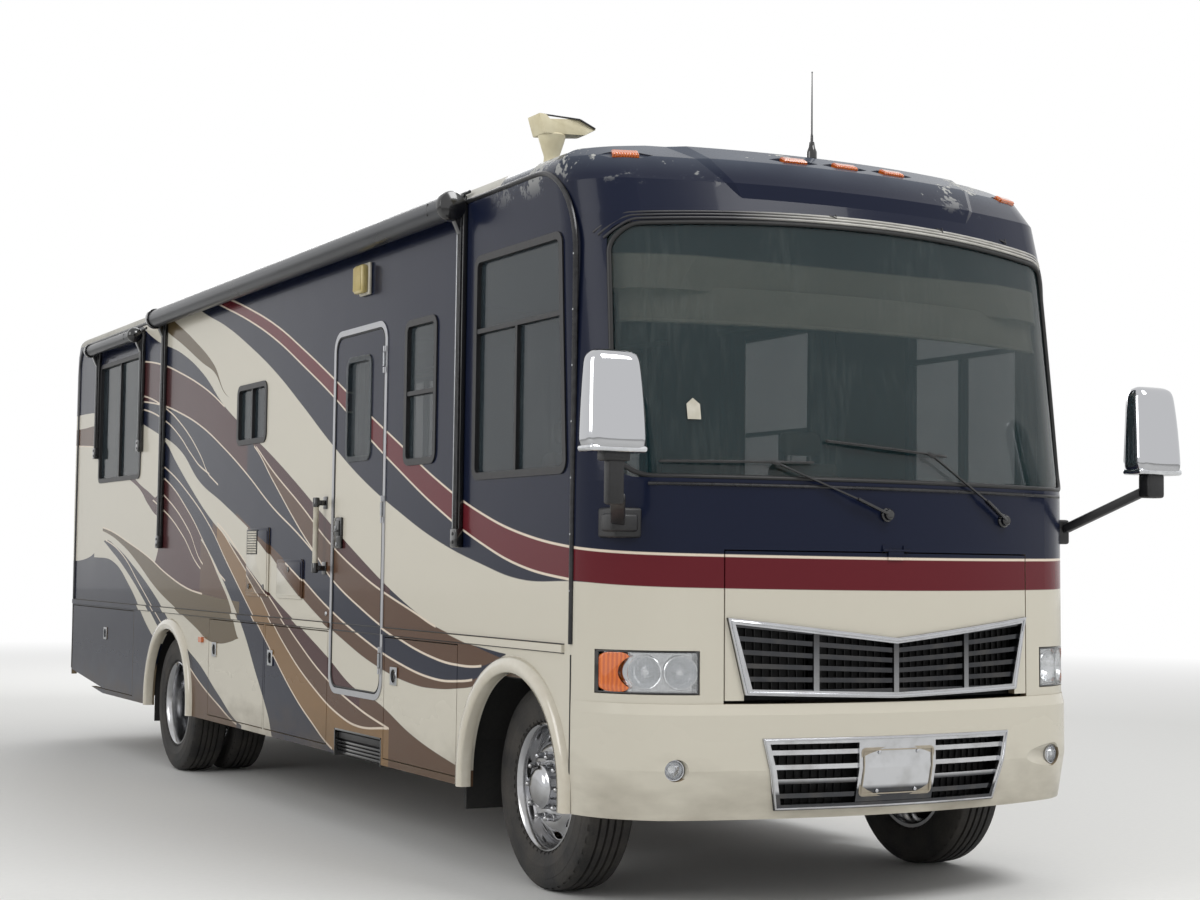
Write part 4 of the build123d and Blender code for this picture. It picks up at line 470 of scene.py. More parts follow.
def roof_skin():
    """A white roof membrane with dirt runs, over a lined ceiling."""
    finish = Finish("roof_skin")
    runs = finish.noise(2.4, 6.0, (3.5, 0.7, 1))
    fine = finish.noise(60, 3.0)
    colour = finish.mix(shade(198, 196, 188), shade(128, 124, 114),
                        above(runs + fine * 0.12, 0.62, 0.5) * 0.45)
    lining = lining_mask(finish)
    # The ceiling's lining is pale cloth, partly painted darker here as the shade inside the cabin
    colour = finish.mix(colour, shade(158, 150, 134), lining)
    return finish.surface(colour, 0.7 + fine * 0.15, 0.0, finish.bump(fine + runs * 2, 0.003))


def wood(name, light, dark):
    """Varnished wood with long grain."""
    finish = Finish(name)
    grain = finish.noise(9, 8.0, (2.5, 2.5, 22), 0.6)
    fine = finish.noise(60, 3.0, (1, 1, 14))
    colour = finish.mix(dark, light, maths("MULTIPLY_ADD", grain * 0.7 + fine * 0.3, 2.4, -0.75, clamp=True))
    return finish.surface(colour, 0.3 + fine * 0.1, 0.0, finish.bump(fine, 0.0006), coat_weight=0.4)


def leather():
    """Tan leather: pebbled grain, creases and worn high spots."""
    finish = Finish("leather")
    pebbles = finish.cells(260)
    creases = finish.noise(16, 5.0)
    wear = finish.noise(4, 3.0)
    colour = finish.mix(shade(150, 128, 100), shade(178, 158, 128), wear)
    colour = finish.mix(colour, shade(112, 92, 70), above(creases, 0.62, 0.2) * 0.4)
    height = pebbles * 0.5 + creases * 0.5
    return finish.surface(colour, 0.5 + pebbles * 0.12, 0.0, finish.bump(height, 0.0014))


def fabric(name, light, dark):
    """Woven cloth with crossing threads."""
    finish = Finish(name)
    threads = {"wave_type": "BANDS", "wave_profile": "SIN"}
    warp = finish.node(
        "ShaderNodeTexWave", {**threads, "bands_direction": "X"}, {"Vector": finish.place, "Scale": 150.0}
    )
    weft = finish.node(
        "ShaderNodeTexWave", {**threads, "bands_direction": "Z"}, {"Vector": finish.place, "Scale": 150.0}
    )
    weave = maths("MAXIMUM", warp, weft)
    fade = finish.noise(3, 3.0)
    colour = finish.mix(dark, light, weave * 0.5 + fade * 0.5)
    return finish.surface(colour, 0.86 + fade * 0.1, 0.0, finish.bump(weave, 0.0008))


def frames_finish():
    """Black window frames, with the entry door's frame in satin aluminium and a black seal."""
    finish = Finish("frames")
    station = finish.y - NOSE_Y
    door = between(station, 2.66, 3.49) * between(finish.z, 0.72, 2.75) * (1 - above(finish.x, -1.0))
    scratches = finish.noise(90, 3.0, (1, 1, 0.1))
    seal = above(finish.x, -1.2795, 0.002)
    metal = door * (1 - seal)
    black = finish.mix(shade(16, 16, 18), shade(34, 34, 36), finish.noise(40, 3.0))
    colour = finish.mix(black, shade(176, 177, 180), metal)
    rough = 0.38 + scratches * 0.12 - metal * 0.1
    return finish.surface(colour, rough, metal * 0.85, finish.bump(scratches, 0.0004))


def brow_trim():
    """The ribbed strip over the windshield: pale aluminium, painted dark as shade towards the door side."""
    finish = Finish("brow_trim")
    # Painted shade: the strip darkens towards the door side, which is out of the light
    pale = above(finish.x, -0.42, 0.5)
    streaks = finish.noise(40, 3.0, (0.3, 1, 1))
    colour = finish.mix(shade(36, 36, 40), finish.mix(shade(150, 148, 142), shade(206, 204, 198), streaks),
                        pale)
    return finish.surface(colour, 0.36 + streaks * 0.1, 0.0, finish.bump(streaks, 0.0004))


def overhead_finish():
    """The cabinet over the windshield: pale, with its upper part painted dark as the shadow that the brow
    casts into the cab.
    """
    finish = Finish("overhead_cabinet")
    grain = finish.noise(90, 4.0)
    pale = finish.mix(shade(206, 200, 178), shade(228, 222, 200), grain)
    # Painted shadow: dark above 2.79 m, where the brow's shade falls
    colour = finish.mix(pale, shade(34, 32, 32), above(finish.z, 2.79, 0.01))
    return finish.surface(colour, 0.55 + grain * 0.1, 0.0, finish.bump(grain, 0.0006))


def dash_finish():
    """Dash moulding: a paler pad on top with lighter blotches, and tan faces."""
    finish = Finish("dash_moulding")
    grain = finish.noise(160, 4.0)
    fade = finish.noise(3, 3.0)
    top = above(finish.z, 1.762, 0.004)
    colour = finish.mix(shade(112, 98, 78), shade(184, 178, 156), top)
    colour = finish.mix(colour, shade(206, 202, 184), fade * top * 0.5)
    return finish.surface(colour, 0.6 + grain * 0.1, 0.0, finish.bump(grain, 0.0008))


FINISHES = {
    "body_paint": body_paint(),
    "roof_skin": roof_skin(),
    "chrome": chrome(),
    "black_trim": plain("black_trim", shade(30, 30, 32), shade(16, 16, 17), 0.42, 0.0, 70, 0.0005),
    "frames": frames_finish(),
    "windshield": glass("windshield_glass", shade(30, 50, 54), 0.5),
    # The side glass's grey-blue tint is real tint, kept lighter as a painted reflection on the panes
    "side_glass": glass("side_glass", shade(50, 60, 66), 0.55),
    "brow_trim": brow_trim(),
    "lamp_clear": lens("lamp_clear", shade(232, 234, 234), shade(205, 208, 210), 0.22),
    "lamp_amber": lens("lamp_amber", shade(232, 120, 28), shade(176, 70, 12), 1.0),
    "lamp_red": lens("lamp_red", shade(190, 24, 20), shade(120, 10, 12), 1.0),
    "reflector": plain("reflector", shade(226, 228, 230), shade(190, 192, 196), 0.12, 1.0, 30),
    "frame_steel": plain("frame_steel", shade(44, 42, 40), shade(22, 21, 21), 0.55, 0.2, 24, 0.002),
    "cast": plain("cast_metal", shade(78, 70, 62), shade(42, 38, 35), 0.72, 0.5, 34, 0.003),
    "steel": plain("dull_steel", shade(120, 112, 104), shade(72, 60, 50), 0.5, 0.8, 20, 0.002),
    "aluminium": plain("satin_aluminium", shade(186, 188, 190), shade(150, 152, 155), 0.3, 1.0, 50, 0.0004),
    "tyre": tyre_rubber(),
    "rubber": plain("rubber", shade(34, 33, 32), shade(18, 18, 18), 0.75, 0.0, 60, 0.001),
    "tank": plain("moulded_tank", shade(38, 38, 38), shade(22, 22, 23), 0.6, 0.0, 30, 0.002),
    "floor_deck": wood("floor_deck", shade(120, 96, 72), shade(76, 58, 44)),
    "white_plastic": plain("white_plastic", shade(212, 208, 196), shade(176, 170, 152), 0.5, 0.0, 20, 0.001),
    "valance": plain("valance", shade(228, 222, 200), shade(206, 200, 178), 0.6, 0.0, 90, 0.0006),
    "overhead": overhead_finish(),
    "dash": dash_finish(),
    "leather": leather(),
    "bedding": fabric("bedding", shade(186, 170, 142), shade(150, 128, 100)),
    "curtain": fabric("curtain", shade(126, 112, 92), shade(94, 82, 66)),
    "cabinet_wood": wood("cabinet_wood", shade(118, 66, 34), shade(70, 36, 18)),
    "arch_paint": plain("arch_paint", shade(206, 200, 184), shade(196, 188, 170), 0.2, 0.0, 24, 0.0,
                        coat_weight=1.0),
    "mirror_glass": plain("mirror_glass", shade(200, 206, 212), shade(180, 186, 192), 0.03, 1.0, 20),
    "canvas": plain("canvas", shade(60, 66, 78), shade(38, 42, 52), 0.8, 0.0, 200, 0.0008),
    "awning_metal": plain("awning_metal", shade(70, 72, 76), shade(34, 36, 40), 0.3, 0.6, 30, 0.0004,
                          (1, 0.02, 1)),
    "aged_lens": plain("aged_lens", shade(206, 190, 132), shade(170, 150, 84), 0.25, 0.0, 16, 0.0006,
                       coat_weight=0.5),
    "aged_plastic": plain("aged_plastic", shade(222, 214, 184), shade(190, 178, 140), 0.5, 0.0, 14, 0.001),
    "grille": grille_chrome(),
    "screen": plain("grille_screen", shade(14, 14, 15), shade(6, 6, 7), 0.7, 0.0, 300, 0.002),
    "seal": plain("seal", shade(22, 22, 23), shade(10, 10, 11), 0.45, 0.0, 80, 0.0006),
    "moulding": plain("moulding", shade(58, 58, 60), shade(24, 24, 26), 0.28, 0.4, 40, 0.0004),
    "gloss_black": plain("gloss_black", shade(20, 20, 22), shade(10, 10, 11), 0.16, 0.0, 40, 0.0,
                         coat_weight=0.6),
    "plate_blank": plain("plate_blank", shade(176, 168, 152), shade(150, 140, 124), 0.4, 0.3, 26, 0.0006),
}

NODE_FINISHES = {
    "body_paint": [
        "front_cap", "front_bumper", "rear_cap", "side_wall_right", "side_wall_left", "skirt_right",
        "skirt_left", "hood_lid", "entry_door", "bay_door_right_1", "bay_door_right_2", "bay_door_right_3",
        "bay_door_right_4", "bay_door_left_1", "bay_door_left_2", "bay_door_left_3",
    ],
    "roof_skin": ["roof"],
    "windshield": ["windshield"],
    "side_glass": ["side_windows", "entry_door_window"],
    "frames": ["window_frames"],
    "grille": ["upper_grille", "lower_grille"],
    "lamp_amber": ["marker_lamps"],
    "lamp_red": ["tail_lamps"],
    "frame_steel": ["chassis_frame", "entry_step"],
    "steel": ["leaf_springs", "exhaust"],
    "cast": ["front_axle", "knuckle_right", "knuckle_left", "rear_axle", "engine_block"],
    "tank": ["fuel_tank"],
    "rubber": ["mud_flaps"],
    "floor_deck": ["floor"],
    "white_plastic": ["roof_equipment"],
    "aluminium": ["rear_ladder"],
    "dash": ["dashboard"],
    "overhead": ["overhead_cabinet"],
}
for finish_name, nodes in NODE_FINISHES.items():
    for node_name in nodes:
        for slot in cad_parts[node_name].material_slots:
            slot.material = FINISHES[finish_name]


# Modelling


def leave():
    """Back to object mode."""
    bpy.ops.object.mode_set(mode="OBJECT")


def alone(piece):
    """Makes one object the only one selected, and the active one."""
    bpy.ops.object.select_all(action="DESELECT")
    piece.select_set(True)
    bpy.context.view_layer.objects.active = piece


def seated(piece):
    """Puts a piece's place and size into its mesh."""
    alone(piece)
    bpy.ops.object.transform_apply(location=True, rotation=True, scale=True)
    return piece


def modified(piece, kind, **settings):
    """Adds one modifier and applies it."""
    alone(piece)
    modifier = piece.modifiers.new(kind.lower(), kind)
    for name, setting in settings.items():
        setattr(modifier, name, setting)
    bpy.ops.object.modifier_apply(modifier=modifier.name)
    return piece


def pick(piece, wanted):
    """Selects in edit mode the faces that a test picks by their middle and normal."""
    alone(piece)
    bpy.ops.object.mode_set(mode="EDIT")
    bpy.ops.mesh.select_mode(type="FACE")
    bpy.ops.mesh.select_all(action="DESELECT")
    leave()
    for face in piece.data.polygons:
        face.select = wanted(face.center, face.normal)
    bpy.ops.object.mode_set(mode="EDIT")


def drawn(points):
    """A line of edges from point to point, left open in edit mode with all of it selected."""
    bpy.ops.object.select_all(action="DESELECT")
    bpy.ops.mesh.primitive_plane_add(size=0.01, location=points[0])
    piece = bpy.context.object
    bpy.ops.object.mode_set(mode="EDIT")
    bpy.ops.mesh.select_mode(type="VERT")
    bpy.ops.mesh.select_all(action="SELECT")
    bpy.ops.mesh.merge(type="CENTER")
    for before, after in zip(points, points[1:]):
        step = Vector(after) - Vector(before)
        bpy.ops.mesh.extrude_vertices_move(TRANSFORM_OT_translate={"value": step})
    bpy.ops.mesh.select_all(action="SELECT")
    return piece


def cleaned():
    """In edit mode: merges doubles, turns faces outward and leaves."""
    bpy.ops.mesh.select_all(action="SELECT")
    bpy.ops.mesh.remove_doubles(threshold=0.00005)
    bpy.ops.mesh.normals_make_consistent(inside=False)
    leave()


def turned(origin, axis, profile, steps=48):
    """A shape turned on a lathe: (distance along the axis, radius) points spun round it."""
    origin, axis = Vector(origin), Vector(axis).normalized()
    side = axis.orthogonal().normalized()
    piece = drawn([origin + axis * along + side * radius for along, radius in profile])
    bpy.ops.mesh.spin(steps=steps, angle=math.tau, center=origin, axis=axis)
    cleaned()
    return seated(piece)


def rod(origin, axis, radius, low, high, steps=32):
    """A plain round bar from low to high along an axis."""
    return turned(origin, axis, [(low, 0), (low, radius), (high, radius), (high, 0)], steps)


def upright(x0, x1, y, z0, z1):
    """A rectangle's corners in the front view."""
    return [(x0, y, z0), (x1, y, z0), (x1, y, z1), (x0, y, z1)]


def slab(outline, pull, corner=0.0, segments=4, edge=0.0):
    """A flat outline with rounded corners, pulled into a slab."""
    piece = drawn(outline)
    bpy.ops.mesh.edge_face_add()
    if corner:
        bpy.ops.mesh.bevel(offset=corner, segments=segments, affect="VERTICES")
    bpy.ops.mesh.select_all(action="SELECT")
    bpy.ops.mesh.extrude_region_move(TRANSFORM_OT_translate={"value": pull})
    cleaned()
    seated(piece)
    if edge:
        modified(piece, "BEVEL", width=edge, segments=2, angle_limit=0.6)
    return piece


def block(x0, x1, y0, y1, z0, z1, edge=0.004, cuts=0):
    """A box between two corners with its edges rounded, cut up where it has to follow a curve."""
    bpy.ops.object.select_all(action="DESELECT")
    middle = ((x0 + x1) / 2, (y0 + y1) / 2, (z0 + z1) / 2)
    bpy.ops.mesh.primitive_cube_add(size=1, location=middle, scale=(abs(x1 - x0), abs(y1 - y0), abs(z1 - z0)))
    piece = seated(bpy.context.object)
    if edge:
        modified(piece, "BEVEL", width=edge, segments=3)
    if cuts:
        alone(piece)
        bpy.ops.object.mode_set(mode="EDIT")
        low, high = min(x0, x1), max(x0, x1)
        for number in range(1, cuts):
            bpy.ops.mesh.select_all(action="SELECT")
            place = (low + (high - low) * number / cuts, 0, 0)
            bpy.ops.mesh.bisect(plane_co=place, plane_no=(1, 0, 0))
        leave()
    return piece


def beam(start, end, width, depth, edge=0.004):
    """A bar of rectangular section between two points."""
    run = Vector(end) - Vector(start)
    bpy.ops.object.select_all(action="DESELECT")
    bpy.ops.mesh.primitive_cube_add(size=1, location=(Vector(start) + Vector(end)) / 2)
    piece = bpy.context.object
    piece.scale = (width, depth, run.length)
    piece.rotation_euler = run.to_track_quat("Z", "Y").to_euler()
    seated(piece)
    return modified(piece, "BEVEL", width=edge, segments=2)


def tube(points, radius, smooth=True, closed=False, fineness=3):
    """A round bar along a path: a smooth curve, or straight runs."""
    bpy.ops.object.select_all(action="DESELECT")
    bpy.ops.curve.primitive_nurbs_path_add(location=(0, 0, 0))
    path = bpy.context.object
    path.data.splines.clear()
    spline = path.data.splines.new("NURBS" if smooth else "POLY")
    spline.points.add(len(points) - 1)
    for point, place in zip(spline.points, points):
        point.co = (*place, 1)
    spline.use_cyclic_u = closed
    if smooth:
        spline.order_u = 3
        spline.use_endpoint_u = not closed
        spline.resolution_u = 6
    path.data.bevel_depth = radius
    path.data.bevel_resolution = fineness
    path.data.use_fill_caps = True
    alone(path)
    bpy.ops.object.convert(target="MESH")
    return seated(bpy.context.object)


def joined(pieces):
    """Several objects made one."""
    bpy.ops.object.select_all(action="DESELECT")
    for piece in pieces:
        piece.select_set(True)
    bpy.context.view_layer.objects.active = pieces[0]
    bpy.ops.object.join()
    return pieces[0]


def copied(piece, place=None):
    """A copy with its own mesh, moved by a matrix."""
    alone(piece)
    bpy.ops.object.duplicate()
    twin = bpy.context.object
    if place:
        twin.matrix_world = place @ twin.matrix_world
    return seated(twin)


def shifted(piece, *steps):
    """A copy moved along x, y and z."""
    return copied(piece, Matrix.Translation(steps))


def mirrored(piece):
    """A copy on the other side of the vehicle, with its faces turned the right way again."""
    twin = copied(piece, Matrix.Scale(-1, 4, (1, 0, 0)))
    inward = volume(twin) * volume(piece) < 0
    if inward:
        alone(twin)
        bpy.ops.object.mode_set(mode="EDIT")
        bpy.ops.mesh.select_all(action="SELECT")
        bpy.ops.mesh.flip_normals()
        leave()
    return twin


def volume(piece):
    """What the faces enclose, seen from far outside: less than 0 when they point inward."""
    return sum(face.center.dot(face.normal) * face.area for face in piece.data.polygons) / 3


def ringed(piece, count, origin, axis, first=0.0):
    """Copies of a piece in a ring round an axis, joined."""
    place = Matrix.Translation(origin)
    around = []
    for number in range(count):
        turn = Matrix.Rotation(first + math.tau * number / count, 4, Vector(axis))
        around.append(copied(piece, place @ turn @ place.inverted()))
    bpy.data.objects.remove(piece)
    return joined(around)


def settled(piece, name, finish, body="body", smooth=35):
    """Ends a piece: it gets its name, shading, finish and the body that it rides on."""
    seated(piece)
    bpy.ops.object.shade_smooth_by_angle(angle=math.radians(smooth))
    piece.name = name
    piece.data.materials.clear()
    piece.data.materials.append(FINISHES[finish])
    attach(piece, body)
    return piece


def both(piece, name, finish, bodies=("body", "body"), smooth=35):
    """Ends a piece that was made on the driver's side, and its mirror image on the door side."""
    twin = mirrored(piece)
    return (
        settled(piece, name + "_left", finish, bodies[0], smooth),
        settled(twin, name + "_right", finish, bodies[1], smooth),
    )


# The body's front: height, setback behind the nose, corner radius
NOSE_ROWS = [
    (0.415, 0.046, 0.466), (0.62, 0.0, 0.466), (1.815, 0.012, 0.466), (2.965, 0.216, 0.33),
    (3.12, 0.262, 0.33), (3.24, 0.372, 0.35), (3.315, 0.52, 0.38), (3.36, 0.76, 0.42),
]


def nose_y(x, z):
    """Y of the body's front at a place in the front view."""
    pairs = list(zip(NOSE_ROWS, NOSE_ROWS[1:]))
    low, high = next((pair for pair in pairs if z <= pair[1][0]), pairs[-1])
    share = (z - low[0]) / (high[0] - low[0])
    setback = low[1] + share * (high[1] - low[1])
    radius = low[2] + share * (high[2] - low[2])
    centre_x = HALF_WIDTH - radius
    if abs(x) <= centre_x * NOSE_BOW / (NOSE_BOW - radius):
        return at(setback + NOSE_BOW - math.sqrt(NOSE_BOW**2 - x**2))
    centre_y = setback + NOSE_BOW - math.sqrt((NOSE_BOW - radius) ** 2 - centre_x**2)
    return at(centre_y - math.sqrt(max(radius**2 - (abs(x) - centre_x) ** 2, 0)))


def wrapped(piece):
    """Lays a piece that was made flat at y = 0 onto the body's front."""
    for vertex in piece.data.vertices:
        vertex.co.y += nose_y(vertex.co.x, vertex.co.z)
    return piece


# Wheels, made on the driver's side: (distance outward from the tyre's middle, radius)
TREAD = [
    (0.108, 0.4465), (0.1, 0.4545), (0.0905, 0.4575), (0.0615, 0.4602), (0.0585, 0.4475), (0.0515, 0.4475),
    (0.0485, 0.461), (0.0245, 0.4618), (0.0215, 0.449), (0.0145, 0.449), (0.0115, 0.462),
]
WALL_PROFILE = [
    (0.0985, 0.2862), (0.109, 0.291), (0.112, 0.3), (0.119, 0.322), (0.1232, 0.345), (0.1246, 0.349),
    (0.1246, 0.355), (0.1238, 0.359), (0.1245, 0.385), (0.1222, 0.405), (0.1205, 0.407), (0.119, 0.418),
    (0.1165, 0.431),
]
FRONT_BARREL = [
    (0.0985, 0.2852), (0.104, 0.284), (0.1055, 0.2795), (0.101, 0.2755), (0.094, 0.268), (0.07, 0.262),
    (0.03, 0.258), (-0.03, 0.256), (-0.08, 0.262), (-0.1, 0.27), (-0.1, 0.2852),
]
FRONT_DISC = [(0.03, 0.259), (0.036, 0.248), (0.044, 0.238), (0.062, 0.206), (0.074, 0.188), (0.0795, 0.172),
              (0.0785, 0.16), (0.076, 0.1)]
FRONT_HUB = [
    (0.075, 0.104), (0.082, 0.1), (0.118, 0.098), (0.126, 0.096), (0.13, 0.088), (0.138, 0.084),
    (0.148, 0.072), (0.1545, 0.05), (0.156, 0.024), (0.156, 0.0),
]
REAR_DISC = [(-0.105, 0.262), (-0.112, 0.252), (-0.12, 0.24), (-0.133, 0.208), (-0.14, 0.19), (-0.143, 0.17),
             (-0.143, 0.1)]
REAR_HUB = [
    (-0.145, 0.112), (-0.13, 0.11), (-0.03, 0.104), (-0.012, 0.098), (0.0, 0.082), (0.006, 0.06),
    (0.009, 0.03), (0.009, 0.0),
]
NUT = [(-0.004, 0.0165), (0.004, 0.0185), (0.008, 0.0175), (0.01, 0.014), (0.04, 0.0128), (0.048, 0.01),
       (0.0525, 0.005), (0.0535, 0.0)]
WHEEL_NUTS = 10
NUT_CIRCLE = 0.1425


def tyre_at(middle):
    """A ribbed tyre with raised bead rings and notched shoulders."""
    half = WALL_PROFILE + TREAD
    profile = half + [(-along, radius) for along, radius in reversed(half)]
    tyre = turned(middle, (1, 0, 0), profile, 96)

    def shoulder(spot, _):
        along = abs(spot.x - middle[0])
        turn = math.atan2(spot.z - middle[2], spot.y - middle[1]) / math.tau * 96
        return 0.1 < along < 0.112 and math.floor(turn) % 2 == 0

    pick(tyre, shoulder)
    bpy.ops.mesh.extrude_region_shrink_fatten(TRANSFORM_OT_shrink_fatten={"value": -0.004})
    leave()
    return tyre


def disc_at(middle, profile):
    """A pressed disc with a ring of long hand holes."""
    disc = turned(middle, (1, 0, 0), profile, 40)

    def in_hole(spot, _):
        radius = math.hypot(spot.y - middle[1], spot.z - middle[2])
        turn = math.atan2(spot.z - middle[2], spot.y - middle[1]) / math.tau * 40
        return 0.21 < radius < 0.235 and math.floor(turn) % 4 in (0, 1)

    pick(disc, in_hole)
    bpy.ops.mesh.delete(type="FACE")
    leave()
    modified(disc, "SOLIDIFY", thickness=0.006, offset=-1)
    return modified(disc, "SUBSURF", levels=2, render_levels=2)


def nuts_at(middle, along):
    """A ring of tall bright nut covers."""
    nut = turned((middle[0] + along, middle[1], middle[2] + NUT_CIRCLE), (1, 0, 0), NUT, 12)
    return ringed(nut, WHEEL_NUTS, middle, (1, 0, 0), 0.31)


def wheels():
    """Front wheels with a bulged disc and big hub, and rear pairs with a deep one."""
    front = (FRONT_TYRE_X, at(FRONT_AXLE), AXLE_Z)
    bodies = ("wheel_front_left", "wheel_front_right")
    tyre = tyre_at(front)
    outer = (DUAL_OUTER_X, at(REAR_AXLE), AXLE_Z)
    to_outer = [end - start for start, end in zip(front, outer)]
    outer_tyre = shifted(tyre, *to_outer)
    inner_tyre = shifted(outer_tyre, -DUAL_SPACING, 0, 0)
    for piece, side in zip(both(tyre, "front_tread", "tyre", bodies, 28), ("left", "right")):
        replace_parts(piece, "front_tyre_" + side)
    barrel = modified(turned(front, (1, 0, 0), FRONT_BARREL, 72), "SOLIDIFY", thickness=0.004, offset=0)
    outer_barrel = shifted(barrel, *to_outer)
    inner_barrel = shifted(outer_barrel, -DUAL_SPACING, 0, 0)
    hub = turned(front, (1, 0, 0), FRONT_HUB, 48)
    wheel = joined([barrel, disc_at(front, FRONT_DISC), hub])
    for piece, side in zip(both(wheel, "front_wheel", "chrome", bodies, 40), ("left", "right")):
        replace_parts(piece, "front_rim_" + side)
    both(nuts_at(front, 0.078), "front_wheel_nuts", "chrome", bodies, 40)

    bodies = ("wheels_rear_left", "wheels_rear_right")
    pair = joined([outer_tyre, inner_tyre])
    for piece, side in zip(both(pair, "rear_treads", "tyre", bodies, 28), ("left", "right")):
        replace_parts(piece, "rear_tyres_" + side)
    hub = turned(outer, (1, 0, 0), REAR_HUB, 48)
    inner_disc = disc_at((outer[0] - DUAL_SPACING, outer[1], outer[2]),
                         [(-a - 0.04, r) for a, r in REAR_DISC])
    wheel = joined([outer_barrel, inner_barrel, disc_at(outer, REAR_DISC), inner_disc, hub])
    for piece, side in zip(both(wheel, "rear_wheels", "chrome", bodies, 40), ("left", "right")):
        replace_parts(piece, "rear_rims_" + side)
    both(nuts_at(outer, -0.142), "rear_wheel_nuts", "chrome", bodies, 40)


def arch_trims():
    """Rounded lips over the wheel arches' flares, and black wells behind them."""
    lip = [(0.497, 1.255), (0.497, 1.298), (0.503, 1.307), (0.53, 1.312), (0.5565, 1.306), (0.567, 1.293),
           (0.5715, 1.279)]
    for name, axle, well_radius in (("front", FRONT_AXLE, 0.61), ("rear", REAR_AXLE, 0.56)):
        centre = Vector((0, at(axle), 0.478))
        rim = drawn([(x, at(axle) - radius, 0.4155) for radius, x in lip])
        bpy.ops.mesh.extrude_region_move(TRANSFORM_OT_translate={"value": (0, 0, 0.0625)})
        bpy.ops.mesh.spin(steps=40, angle=math.pi, center=centre, axis=(1, 0, 0))
        bpy.ops.mesh.extrude_region_move(TRANSFORM_OT_translate={"value": (0, 0, -0.0625)})
        cleaned()
        modified(seated(rim), "SOLIDIFY", thickness=0.003, offset=0)
        both(rim, name + "_arch_lip", "arch_paint", smooth=50)
        well = drawn([(0.64, at(axle) - well_radius, 0.478), (1.236, at(axle) - well_radius, 0.478)])
        bpy.ops.mesh.spin(steps=32, angle=math.pi, center=centre, axis=(1, 0, 0))
        cleaned()
        for vertex in seated(well).data.vertices:
            vertex.co.z = min(vertex.co.z, 0.946)
        modified(well, "SOLIDIFY", thickness=0.003, offset=0)
        both(well, name + "_wheel_well", "rubber")


# The front

def headlamps():
    """Chromed housings with two round bowls, an amber end and a clear cover that wraps the corner."""
    x0, x1, z0, z1 = 0.9035, 1.2405, 0.9335, 1.1085
    middle_z = (z0 + z1) / 2
    amber_x = 1.181
    housing = block(x0, x1, 0.008, 0.05, z0, z1, 0, 14)
    pick(housing, lambda spot, normal: normal.y < -0.9)
    bpy.ops.mesh.delete(type="FACE")
    leave()
    wrapped(housing)
    modified(housing, "SOLIDIFY", thickness=0.003, offset=-1)
    bowls = []
    for x, radius in ((0.976, 0.066), (1.109, 0.066)):
        lean = math.asin((x - 0.814) / 0.466)
        axis = Vector((math.sin(lean), -math.cos(lean), 0))
        rim = Vector((x, nose_y(x, middle_z), middle_z)) - axis * 0.011
        cutter = rod(rim, axis, radius - 0.002, -0.2, 0.02)
        modified(housing, "BOOLEAN", operation="DIFFERENCE", object=cutter)
        bpy.data.objects.remove(cutter)
        bowl = turned(rim, axis, [(0.001, radius + 0.003), (0.002, radius), (-0.004, radius - 0.003),
                                  (-0.022, radius - 0.013), (-0.04, radius - 0.028), (-0.052, radius - 0.042),
                                  (-0.056, 0.014), (-0.056, 0.0)], 24)
        bowls.append(bowl)
        cap = turned(rim, axis, [(-0.056, 0.015), (-0.03, 0.015), (-0.022, 0.011), (-0.018, 0.0)], 20)
        bowls.append(cap)
        bowls.append(turned(rim, axis,
                            [(0.003, radius + 0.001), (0.0045, radius + 0.004), (0.002, radius + 0.0065),
                             (-0.003, radius + 0.006)], 48))
    both(housing, "headlamp_housing", "reflector", smooth=20)
    both(joined(bowls), "headlamp_bowls", "reflector", smooth=8)

    outline = upright(amber_x - 0.03, x1 - 0.006, -0.001, z0 + 0.006, z1 - 0.006)
    amber = slab(outline, (0, 0.016, 0), 0.03, 6, 0.003)
    round_bowl = rod((1.109, 0.0, middle_z), (0, 1, 0), 0.0785, -0.1, 0.1, 48)
    modified(amber, "BOOLEAN", operation="DIFFERENCE", object=round_bowl)
    bpy.data.objects.remove(round_bowl)
    wrapped(amber)
    both(amber, "turn_lens", "lamp_amber")
    cover = block(x0, 1.158, 0.0, 0.0035, z0 + 0.001, z1 - 0.001, 0.001, 20)
    covers = both(wrapped(cover), "headlamp_cover", "lamp_clear")
    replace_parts(covers[0], "front_lamps")
    edging = []
    for low, high in ((z0 - 0.0005, z0 + 0.006), (z1 - 0.006, z1 + 0.0005)):
        edging.append(wrapped(block(x0 - 0.0005, x1 + 0.0015, -0.0015, 0.012, low, high, 0.0015, 18)))
    for low, high in ((x0 - 0.0005, x0 + 0.006), (x1 - 0.005, x1 + 0.0015)):
        edging.append(wrapped(block(low, high, -0.0015, 0.012, z0, z1, 0.0015)))
    both(joined(edging), "headlamp_edging", "gloss_black")

    fog_z = 0.623
    spot = Vector((0.998, nose_y(0.998, fog_z) + 0.012, fog_z))
    axis = (0.3, -1, 0)
    bezel = turned(spot, axis,
                   [(-0.03, 0.0455), (0.004, 0.0455), (0.007, 0.043), (0.006, 0.039), (-0.012, 0.037)], 40)
    bowl = turned(spot, axis, [(-0.012, 0.037), (-0.026, 0.03), (-0.036, 0.016), (-0.038, 0.0)], 40)
    glass_lens = turned(spot, axis, [(0.001, 0.0395), (0.006, 0.032), (0.009, 0.018), (0.01, 0.0)], 40)
    both(bezel, "fog_bezel", "chrome")
    both(bowl, "fog_bowl", "reflector", smooth=12)
    both(glass_lens, "fog_lens", "lamp_clear")


